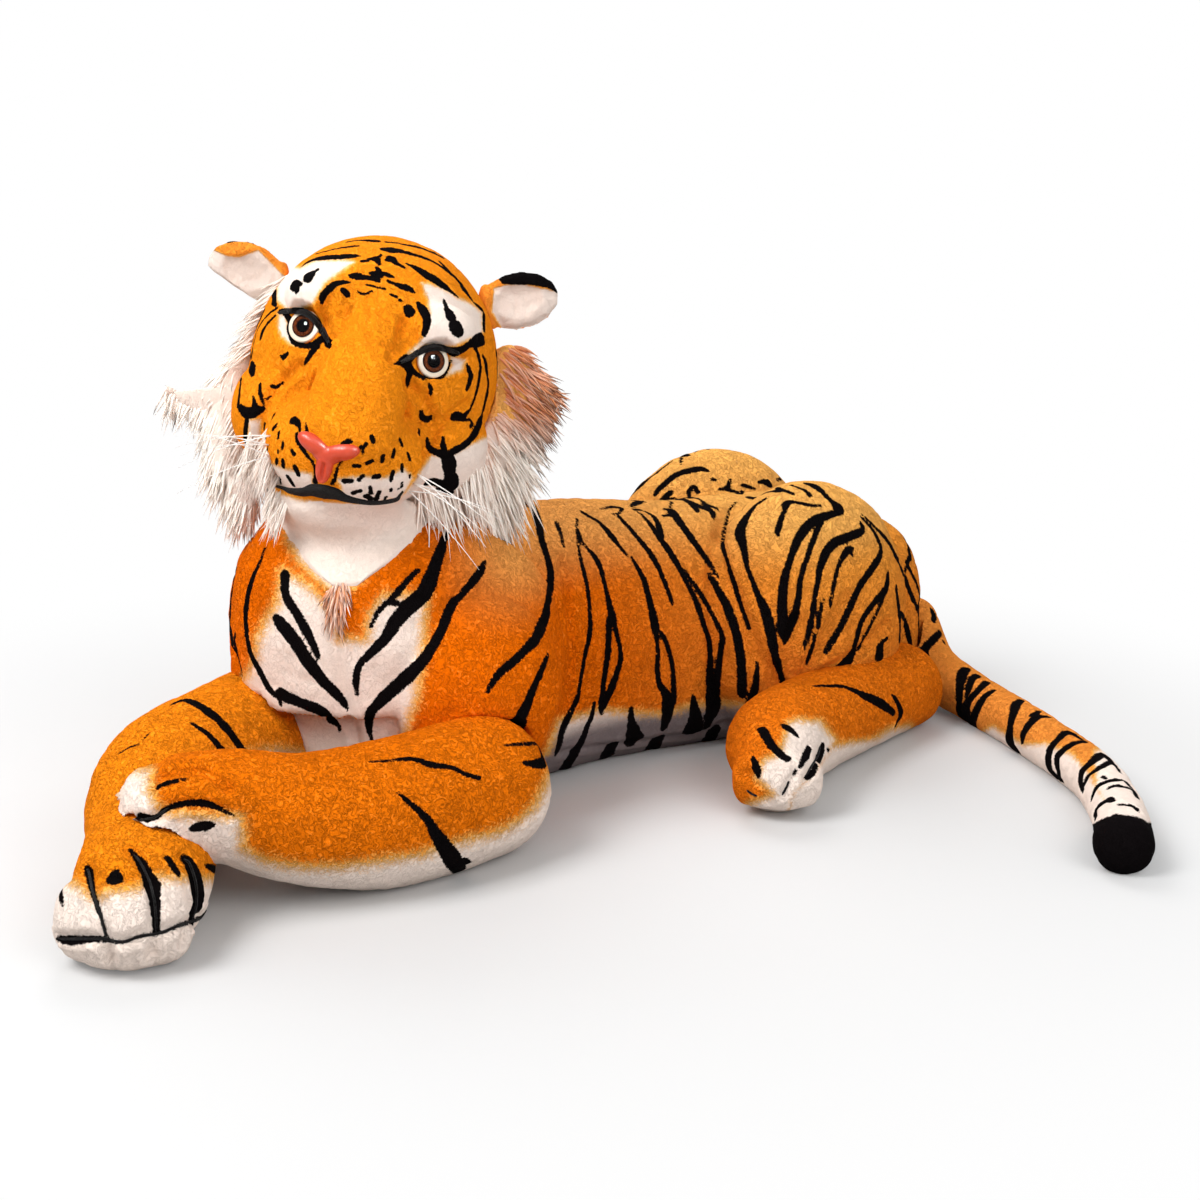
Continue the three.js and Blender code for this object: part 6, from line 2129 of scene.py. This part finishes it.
def ears():
    for side in ("left", "right"):
        name = f"{side}_ear"
        skin = Skin(f"{name}_plush", [f"{name}_back", f"{name}_lining"], EAR_VOXEL)
        if side == "right":
            skin.points = lift_corner(skin.points)
        skin.relax(EAR_ROUNDS)
        skin.push(EAR_LUMP * rough(skin.points, EAR_LUMP_SCALE))
        front = smoothstep(*EAR_FRONT, skin.normals() @ FACE_AHEAD)
        inside = zone(skin.points, [EAR_LININGS[side]], EAR_SOFT) * front
        hollow = EAR_HOLLOW * skin.around(skin.around(inside))
        skin.points = skin.points - hollow[:, None] * FACE_AHEAD
        skin.push(-EAR_LUMP * winding_creases(skin.points, EAR_SEED) * inside)
        pale = EAR_PALE * (1 - inside)
        paint(skin, [], HEAD_LEAST, white=inside, vivid=EAR_PAINTED_LIGHT, pale=pale, grey=EAR_GREY * inside)
        skin.attributes["black"] = zone_depth(pixels_of(skin.points), EAR_TIPS[side]) * MM
        finish(skin, COAT_HEAD, name)


# Long fur
LOCK_SHAPE = np.array([0.75, 1.0, 0.95, 0.8, 0.58, 0.32, 0.04])
LOCK_SIDES = 5
LOCK_CURL = 0.12
LOCK_SIZES = (0.7, 1.2)
LOCK_TIPS = (0.55, 1.0)


def locks(name, body, roots, ways, lengths, radius, peach, tip_share, droop, rng):
    """Pointed locks of long fur that hang over with gravity."""
    count = len(LOCK_SHAPE)
    steps = np.linspace(0, 1, count)
    lines = []
    radii = []
    columns = {"tip": [], "shade": [], "peach": []}
    chance = np.broadcast_to(tip_share, len(roots))
    for root, way, length, warm, dark in zip(roots, ways, lengths, peach, chance):
        sag = rng.normal(0, LOCK_CURL, 3) - droop * UP
        lines.append(root + (way * steps[:, None] + sag * steps[:, None] ** 2) * length)
        radii.append(radius * rng.uniform(*LOCK_SIZES) * LOCK_SHAPE)
        columns["tip"].append(smoothstep(*LOCK_TIPS, steps) * (rng.uniform() < dark))
        columns["shade"].append(np.full(count, rng.uniform()))
        columns["peach"].append(np.full(count, warm))
    return dressed(tubes(name, lines, radii, LOCK_SIDES, columns), FUR, body)


def unit_rows(ways):
    return ways / np.linalg.norm(ways, axis=1, keepdims=True)


# The ruffs' fur on the left (1) and the right (-1). A length is that at the top and what is added below it,
# in millimetres.
RUFF_COUNTS = {1: 1500, -1: 1300}
RUFF_LENGTHS = {1: (30, 18), -1: (20, 12)}
RUFF_PAD = {1: 5 * MM, -1: 7 * MM}
RUFF_VOXEL = 3 * MM
RUFF_ROUNDS = 14
RUFF_LUMP = 1.5 * MM
RUFF_LUMP_SCALE = 90.0
RUFF_RADIUS = 1.7 * MM
RUFF_ROOT = 2 * MM
RUFF_DROOP = 0.25
RUFF_SPREAD = 0.1
RUFF_LENGTH_SHARES = (0.65, 1.1)
RUFF_LOW_SHARES = (0.1, -0.3)
RUFF_WARMTH = (0.6, 1.0)
PEACH_HEIGHTS = {1: (-0.1, 0.08), -1: (0.02, 0.16)}
DARK_EDGE_PIXEL = 542
DARK_LOW_SHARE = 0.9
DARK_CHANCES = (0.75, 0.06)

# How the ruff's fur flows aside, down and out: at its top, and what is added at its foot
FLOW_ASIDE = (0.8, -0.5)
FLOW_DOWN = (0.5, 0.5)
FLOW_OUT = (0.35, -0.15)


def ruffs():
    """Long fur behind the cheeks. It stands out at the top and hangs down further below."""
    for side, name in ((1, "left"), (-1, "right")):
        count = RUFF_COUNTS[side]
        rng = np.random.default_rng(SEED + side)
        hull = Skin(f"{name}_ruff_pad", [f"{name}_ruff"], RUFF_VOXEL)
        hull.relax(RUFF_ROUNDS)
        hull.push(-RUFF_PAD[side] + RUFF_LUMP * rough(hull.points, RUFF_LUMP_SCALE))
        height = head_shares(hull.points)[:, 2]
        warm = smoothstep(*PEACH_HEIGHTS[side], height)
        paint(hull, [], HEAD_LEAST, white=1 - warm, pale=1.0)
        finish(hull, COAT_HEAD, "head")
        chosen = rng.choice(len(hull.points), count)
        normals = hull.normals()[chosen]
        low = smoothstep(*RUFF_LOW_SHARES, height[chosen])
        aside, down, out = ((top + more * low)[:, None] for top, more in (FLOW_ASIDE, FLOW_DOWN, FLOW_OUT))
        flow = side * CAMERA_RIGHT * aside - UP * down + out * normals
        flow = unit_rows(flow + rng.normal(0, RUFF_SPREAD, (count, 3)))
        short, extra = RUFF_LENGTHS[side]
        lengths = rng.uniform(*RUFF_LENGTH_SHARES, count) * (short + extra * low) * MM
        roots = hull.points[chosen] - RUFF_ROOT * normals
        across = pixels_of(roots + flow * lengths[:, None])[:, 0]
        dark = np.where((across > DARK_EDGE_PIXEL) & (low < DARK_LOW_SHARE), *DARK_CHANCES)
        hot = warm[chosen] * rng.uniform(*RUFF_WARMTH, count)
        locks(f"{name}_ruff_fur", "head", roots, flow, lengths, RUFF_RADIUS, hot, dark, RUFF_DROOP, rng)
        if side == -1:
            ruff_tuft(hull.tree())


# Fur at the corners of the jaw: count, way aside, length in millimetres and outline in the photograph
JAW_FUR = {
    "left_jaw": (260, 0.24, 46, [(404, 502), (424, 487), (452, 492), (476, 468), (505, 446), (522, 462),
                                 (494, 494), (440, 516), (412, 516)]),
    "right_jaw": (340, -0.45, 34, [(250, 430), (266, 444), (276, 478), (288, 505), (270, 520), (240, 490)]),
}

# Fur on the far side: count, length in millimetres, way, and limits as shares of the head's size
FAR_FUR_SHARES = {
    "far_jaw": (520, 34, (-0.35, 0.3, -1), ((-0.6, -0.1), (-0.42, 0.12), (-0.46, -0.2))),
    "far_cheek": (300, 36, (-0.9, 0.1, -0.8), ((-0.6, -0.3), (-0.02, 0.16), (0.0, 0.34))),
}
JAW_AHEAD = 0.2
JAW_SOFT = 2
JAW_SPREAD = 0.1
JAW_LENGTH_SHARES = (0.5, 1.1)
JAW_ROOT = 1.5 * MM
JAW_RADIUS = 1.2 * MM
JAW_WARMTH = (0, 0.15)
JAW_DARK_CHANCE = 0.05
JAW_DROOP = 0.2


def jaw_places(skin):
    """Where loose fur grows: its count, way and length, and the vertices that it can grow from."""
    facing = skin.normals() @ (CAMERA_AT - HEAD_AT) > 0
    share = head_shares(skin.points)
    for place, (count, aside, length, outline) in JAW_FUR.items():
        inside = zone(skin.points, [outline], JAW_SOFT) > 0.5
        yield place, count, CAMERA_RIGHT * aside - UP - JAW_AHEAD * LOOK, length, facing & inside
    for place, (count, length, way, limits) in FAR_FUR_SHARES.items():
        chosen = ~facing
        for axis, (low, high) in enumerate(limits):
            chosen = chosen & (share[:, axis] > low) & (share[:, axis] < high)
        yield place, count, HEAD_TURN @ way, length, chosen


def jaw_fur(skin):
    """Long loose fur that hangs from both corners of the jaw, and round the cheek on the far side."""
    normals = skin.normals()
    for place, count, way, length, chosen in jaw_places(skin):
        rng = np.random.default_rng(SEED + count)
        chosen = rng.choice(np.flatnonzero(chosen), count)
        flow = unit_rows(way + rng.normal(0, JAW_SPREAD, (count, 3)))
        lengths = rng.uniform(*JAW_LENGTH_SHARES, count) * length * MM
        roots = skin.points[chosen] - JAW_ROOT * normals[chosen]
        warm = rng.uniform(*JAW_WARMTH, count)
        looks = (JAW_RADIUS, warm, JAW_DARK_CHANCE, JAW_DROOP, rng)
        locks(f"{place}_fur", "head", roots, flow, lengths, *looks)


# The pointed tuft of the right ruff as (across, down, half height) in pixels
RUFF_TUFT = [(243, 410, 25), (224, 406, 21), (205, 402, 15), (186, 397, 8), (172, 393, 3), (163, 391, 1.2)]
TUFT_VOXEL = 1.6 * MM
TUFT_FLATNESS = 0.35
TUFT_CAP_SHARE = 0.3
TUFT_GREY = 0.05


def ruff_tuft(tree):
    """The flat pointed tuft that stands out of one ruff."""
    root = cast(tree, [RUFF_TUFT[0][:2]])[0]
    depth = (root - CAMERA_AT) @ LOOK
    rows = []
    for x, y, half in RUFF_TUFT:
        way = rays([(x, y)])[0]
        high = half * depth / FOCAL_PIXELS
        rows.append((CAMERA_AT + way * depth / (way @ LOOK), TUFT_FLATNESS * high, high, high))
    mesh = remeshed(mesh_object("tuft_form", *loft_mesh(rows, cap_share=TUFT_CAP_SHARE)), TUFT_VOXEL)
    thing = bpy.data.objects.new("right_ruff_tuft", mesh)
    bpy.context.scene.collection.objects.link(thing)
    thing.data.shade_smooth()
    coat_shares(thing.data, white=1.0, grey=TUFT_GREY)
    dressed(thing, COAT_HEAD, "head")


# Rows of the bib as (down, left edge, right edge) in pixels
BIB_ROWS = [
    (500, 266, 440), (515, 274, 436), (530, 283, 427), (545, 291, 413), (560, 300, 396), (576, 317, 373),
    (590, 338, 352),
]
BIB_DEPTH = 5 * MM
BIB_LIFT = 2.2 * MM
BIB_TUCK = 1.5 * MM
BIB_ROUNDS = 90
BIB_STEPS = 7
BIB_COLUMNS = 45
BIB_EASE_SHARE = 0.35
BIB_LUMP = 1.3 * MM
BIB_LUMP_SCALE = 36.0
NECK_BEND = 30 * MM


def throat_bib(*skins):
    """White plush that runs from the chin down to a point on the chest, and bends where the head turns."""
    points, faces = joined([(skin.points, skin.faces.tolist()) for skin in skins])
    tree = BVHTree.FromPolygons(points.tolist(), faces)
    rows = spline(BIB_ROWS, BIB_STEPS)
    shares = np.linspace(0, 1, BIB_COLUMNS)
    pixels = np.array([(x0 + (x1 - x0) * share, y) for y, x0, x1 in rows for share in shares])
    ways = rays(pixels)
    start = np.einsum("ij,ij->i", cast(tree, pixels) - CAMERA_AT, ways).reshape(len(rows), -1)
    depth = start.copy()
    for _ in range(BIB_ROUNDS):
        mean = (depth[:-2, 1:-1] + depth[2:, 1:-1] + depth[1:-1, :-2] + depth[1:-1, 2:]) / 4
        depth[1:-1, 1:-1] = np.minimum(start[1:-1, 1:-1], mean)
    inner = np.minimum.outer(np.sin(np.linspace(0, math.pi, len(rows))), np.sin(shares * math.pi))
    ease = smoothstep(0, BIB_EASE_SHARE, inner)
    depth = depth + BIB_TUCK - (BIB_TUCK + BIB_LIFT) * ease
    front = CAMERA_AT + ways * depth.reshape(-1, 1)
    front = front - ways * (BIB_LUMP * rough(front, BIB_LUMP_SCALE) * ease.ravel())[:, None]
    back = CAMERA_AT + ways * (start.reshape(-1, 1) + BIB_DEPTH)
    thing = smooth_piece("throat_bib", np.vstack([front, back]), sheet_faces(len(rows), len(shares)))
    coat_shares(thing.data, white=1.0)
    thing.data.materials.append(COAT_HEAD)
    neck = np.array(JOINTS["head_turn"]["pos_m"])
    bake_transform(thing, "torso", "head", start=tuple(neck - UP * NECK_BEND), end=tuple(neck + UP * NECK_BEND))


def sheet_faces(rows, count):
    """Faces of a sheet with a front, a back and an edge all round."""
    total_points = rows * count
    faces = []
    for i in range(rows - 1):
        for j in range(count - 1):
            a = i * count + j
            b = total_points + a
            faces.append((a, a + count, a + count + 1, a + 1))
            faces.append((b, b + 1, b + count + 1, b + count))
    last = total_points - 1
    loop = [*range(count), *range(2 * count - 1, total_points, count)]
    loop += [*range(last - 1, last - count, -1), *range(total_points - 2 * count, 0, -count)]
    for a, b in zip(loop, loop[1:] + loop[:1]):
        faces.append((a, b, total_points + b, total_points + a))
    return faces


TUFT_SEED = 5
THROAT_VOXEL = 2 * MM
THROAT_ROUNDS = 6
THROAT_PAD = 1.5 * MM
THROAT_TAN = 0.6
THROAT_COUNT = 240
THROAT_OUT = 0.45
THROAT_WAY = (0.15, -0.05, -1.0)
THROAT_SPREAD = 0.15
THROAT_LENGTHS = (14 * MM, 26 * MM)
THROAT_WARMTH = (0.3, 0.9)
THROAT_RADIUS = 1.3 * MM
THROAT_DARK_CHANCE = 0.7
THROAT_DROOP = 0.2


def throat_tuft():
    rng = np.random.default_rng(SEED + TUFT_SEED)
    hull = Skin("throat_tuft_pad", ["throat_tuft"], THROAT_VOXEL)
    hull.relax(THROAT_ROUNDS)
    hull.push(-THROAT_PAD * np.ones(len(hull.points)))
    paint(hull, [], HEAD_LEAST, tan=THROAT_TAN)
    finish(hull, COAT_HEAD, "torso")
    chosen = rng.choice(len(hull.points), THROAT_COUNT)
    way = THROAT_OUT * hull.normals()[chosen] + THROAT_WAY
    way = unit_rows(way + rng.normal(0, THROAT_SPREAD, (THROAT_COUNT, 3)))
    lengths = rng.uniform(*THROAT_LENGTHS, THROAT_COUNT)
    warm = rng.uniform(*THROAT_WARMTH, THROAT_COUNT)
    looks = (THROAT_RADIUS, warm, THROAT_DARK_CHANCE, THROAT_DROOP, rng)
    locks("throat_tuft_fur", "torso", hull.points[chosen], way, lengths, *looks)


# Stitching, traced in the photograph as (across, down) in pixels
RIGHT_TOE_THREADS = [
    [(87, 869), (89, 873), (93, 893), (99, 911), (104, 928), (106, 937)],
    [(134, 855), (140, 862), (149, 880), (154, 898), (156, 918), (156, 932)],
    [(184, 859), (190, 865), (196, 885), (196, 905), (192, 919)],
    RIGHT_PAW_FOLDS[-1],
]
LEFT_TOE_THREADS = [
    [(139, 820), (147, 819), (155, 817), (168, 808)],
    [(157, 829), (155, 834), (153, 842), (158, 849)],
    [(161, 834), (168, 838), (175, 844), (182, 859), (184, 864)],
]
HIND_TOE_THREADS = [
    [(747, 790), (751, 793), (757, 796)],
    [(789, 781), (786, 788), (782, 795)],
    [(820, 746), (817, 757), (810, 768), (806, 776)],
]
THREAD_RADIUS = 1.3 * MM
THREAD_LIFT = 0.3 * MM
THREAD_END = 0.2
THREAD_LEAST_SHARE = 0.3


def toe_threads(name, skin, traced, body):
    """Raised black thread along the folds between the toes, laid on the finished plush."""
    tree = skin.tree()
    paths = []
    radii = []
    for line in traced(tree):
        path = []
        for point in line[:, :3]:
            spot, normal, _, _ = tree.find_nearest(point)
            path.append(np.array(spot) + np.array(normal) * THREAD_LIFT)
        paths.append(path)
        swell = np.sin(np.linspace(THREAD_END, math.pi - THREAD_END, len(path))) * 2
        radii.append(THREAD_RADIUS * np.clip(swell, THREAD_LEAST_SHARE, 1))
    thing = tubes(f"{name}_toe_thread", paths, radii)
    dressed(thing, THREAD, body, [f"{name}_toe_stitches"])


def all_toe_threads(right, left, left_hind, right_hind):
    for name, skin, strokes, body in (
        ("right_foreleg", right, RIGHT_TOE_THREADS, "torso"),
        ("left_foreleg", left, LEFT_TOE_THREADS, "left_foreleg"),
        ("left_hind_leg", left_hind, HIND_TOE_THREADS, "torso"),
    ):
        toe_threads(name, skin, lambda tree: cast_strokes(tree, strokes), body)
    lines = cast_strokes(left_hind.tree(), HIND_TOE_THREADS)
    toe_threads("right_hind_leg", right_hind, lambda tree: mirrored(tree, lines, flip_hips), "torso")


STITCHES = 14
STITCH_GAP = 9.5 * MM
STITCH_ACROSS = 7 * MM
STITCH_RISE = 9 * MM
STITCH_HEIGHT = 44 * MM
STITCH_RADIUS = 0.9 * MM
STITCH_STEPS = 6
STITCH_START = 0.4
STITCH_REACH = 0.6


def closing_stitch(skin):
    """The hand-sewn seam that closes the toy, on its hidden side."""
    tree = skin.tree()
    lines = []
    for k in range(STITCHES):
        y = ORIGIN[1] + (k - (STITCHES - 1) / 2) * STITCH_GAP
        line = []
        for share in np.linspace(0, 1, STITCH_STEPS):
            slant = share - 0.5
            at = (ORIGIN[0] - STITCH_START, y + slant * STITCH_ACROSS, STITCH_HEIGHT + slant * STITCH_RISE)
            hit, normal, _, _ = tree.ray_cast(at, (1, 0, 0), STITCH_REACH)
            line.append(np.array(hit) + np.array(normal) * STITCH_RADIUS * math.sin(share * math.pi))
        lines.append(line)
    thing = tubes("closing_thread", lines, [np.full(STITCH_STEPS, STITCH_RADIUS)] * STITCHES)
    dressed(thing, THREAD, "torso", ["closing_stitch"])


def washers():
    """The washers keep their CAD shape."""
    plastic = plastic_material("washer_plastic", WASHER_COLOURS)
    for name in ("left_eye_washer", "right_eye_washer", "nose_washer"):
        NODES[name].data.materials.clear()
        NODES[name].data.materials.append(plastic)


# Scene
FAR_CLIP = 60


def set_camera():
    data = bpy.data.cameras.new("photo_camera")
    camera = bpy.data.objects.new("photo_camera", data)
    bpy.context.scene.collection.objects.link(camera)
    turn = Matrix((Vector(CAMERA_RIGHT), Vector(LOOK_UP), Vector(-LOOK))).transposed()
    camera.matrix_world = Matrix.Translation(Vector(CAMERA_AT)) @ turn.to_4x4()
    data.sensor_width = SENSOR_WIDTH
    data.lens = FOCAL_PIXELS / PHOTO_SIZE * SENSOR_WIDTH
    data.clip_end = FAR_CLIP
    bpy.context.scene.camera = camera
    bpy.context.scene.view_settings.view_transform = "Standard"


def area_light(name, at, target, size, power):
    data = bpy.data.lights.new(name, "AREA")
    data.energy = power
    data.size = size
    lamp = bpy.data.objects.new(name, data)
    bpy.context.scene.collection.objects.link(lamp)
    lamp.location = Vector(at)
    lamp.rotation_euler = (Vector(target) - Vector(at)).to_track_quat("-Z", "Y").to_euler()
    return lamp


CATCH_REACH = 1.6
CATCH_SIZE = 0.34
CATCH_POWER = 34

# Where the gleam lies on each eye, aside of and above the pupil's middle
CATCH_PLACES = {"left": (-4 * MM, 3 * MM), "right": (5 * MM, 2 * MM)}


def catch_light(side):
    """A small lamp that only gleams, placed so that the camera sees its image in the dome of an eye."""
    aside, up = CATCH_PLACES[side]
    place = face_frame(f"{side}_eye")
    turn = np.array(place.to_3x3())
    eye = np.array(place.translation)
    radius = math.hypot(aside, up)
    wide, tall = EYE_RADIUS * DOME_WIDTH_SHARE, EYE_RADIUS * DOME_HEIGHT_SHARE
    slope = tall * radius / (wide**2 * math.sqrt(1 - (radius / wide) ** 2))
    normal = turn @ np.array([slope * aside / radius, slope * up / radius, 1.0])
    normal /= np.linalg.norm(normal)
    view = CAMERA_AT - eye
    view /= np.linalg.norm(view)
    at = eye + CATCH_REACH * (2 * (normal @ view) * normal - view)
    area_light(f"{side}_catch", at, eye, CATCH_SIZE, CATCH_POWER).visible_diffuse = False


FLOOR_REACH = 20
FLOOR_ROUGHNESS = 0.9
GLOW_NEAR = 0.45
GLOW_FAR = 1.05
BOUNCE = (0.5, 0.5, 0.5, 1.0)
SHADOWED = (0.58, 0.58, 0.58, 1.0)
LIGHT_WHITE = (1, 1, 1, 1)
SOFT_STRENGTH = 0.55


def floor():
    """A pale floor that keeps a soft shadow round the toy and fades into a white background."""
    reach = FLOOR_REACH
    corners = [(-reach, -reach, 0), (reach, -reach, 0), (reach, reach, 0), (-reach, reach, 0)]
    thing = mesh_object("floor", corners, [(0, 1, 2, 3)])
    material, shader = new_material("pale_floor")
    seen = add(material, "LightPath").outputs["Is Camera Ray"]
    link(material, mixed(material, seen, BOUNCE, SHADOWED), shader.inputs["Base Color"])
    shader.inputs["Roughness"].default_value = FLOOR_ROUGHNESS
    shader.inputs["Specular IOR Level"].default_value = 0.0
    glow = add(material, "Emission", Color=LIGHT_WHITE, Strength=1.0)
    away = vector_maths(material, "LENGTH", place_of(material))
    fade = span(material, away.outputs["Value"], GLOW_NEAR, GLOW_FAR)
    output = next(node for node in material.node_tree.nodes if node.type == "OUTPUT_MATERIAL")
    blended(material, product(material, seen, fade), shader, glow, output)
    thing.data.materials.append(material)


def blended(material, share, first, second, output):
    """Mixes two shaders into an output."""
    mix = add(material, "MixShader")
    for socket, source in zip(mix.inputs, (share, first.outputs[0], second.outputs[0])):
        link(material, source, socket)
    link(material, mix.outputs[0], output.inputs["Surface"])


def studio():
    """A white background that lights the toy more softly than the camera sees it."""
    world = bpy.data.worlds.new("studio")
    world.use_nodes = True
    world.node_tree.nodes.clear()
    bpy.context.scene.world = world
    soft = add(world, "Background", Color=LIGHT_WHITE, Strength=SOFT_STRENGTH)
    bright = add(world, "Background", Color=LIGHT_WHITE, Strength=1.0)
    seen = add(world, "LightPath").outputs["Is Camera Ray"]
    blended(world, seen, soft, bright, add(world, "OutputWorld"))


LIGHT_TARGET = np.array([0.12, -0.05, 0.2])

# Lamps as their way from the target (right, ahead and up), size, power and whether they gleam
LAMPS = {
    "key": ((-1.5, -1.1, 1.9), 1.3, 60, False),
    "fill": ((1.2, -1.8, 1.2), 1.6, 27, False),
    "back": ((-0.4, 1.6, 1.8), 1.4, 34, True),
}


def lights():
    target = ORIGIN + LIGHT_TARGET
    for name, (way, size, power, gleams) in LAMPS.items():
        at = target + np.array(way) @ np.array([CAMERA_RIGHT, CAMERA_AHEAD, UP])
        area_light(name, at, target, size, power).visible_glossy = gleams
    for side in CATCH_PLACES:
        catch_light(side)


set_camera()
floor()
studio()
lights()

COAT = coat_material("tiger_plush", *COAT_LOOK)
COAT_LIMB = coat_material("tiger_plush_crushed", *CRUSHED_COAT_LOOK)
COAT_HEAD = coat_material("tiger_plush_short", *SHORT_COAT_LOOK)
FUR = fur_material()
THREAD = thread_material()
torso_skin = torso()
right_skin = right_foreleg()
left_skin = left_foreleg()
left_hind_skin, right_hind_skin = hind_legs()
tail()
head_skin = head()
head_tree = head_skin.tree()
eyes()
lids(head_skin)
nose()
mouth(head_tree)
whiskers(head_tree)
ears()
ruffs()
jaw_fur(head_skin)
throat_bib(head_skin, torso_skin)
throat_tuft()
all_toe_threads(right_skin, left_skin, left_hind_skin, right_hind_skin)
closing_stitch(torso_skin)
washers()
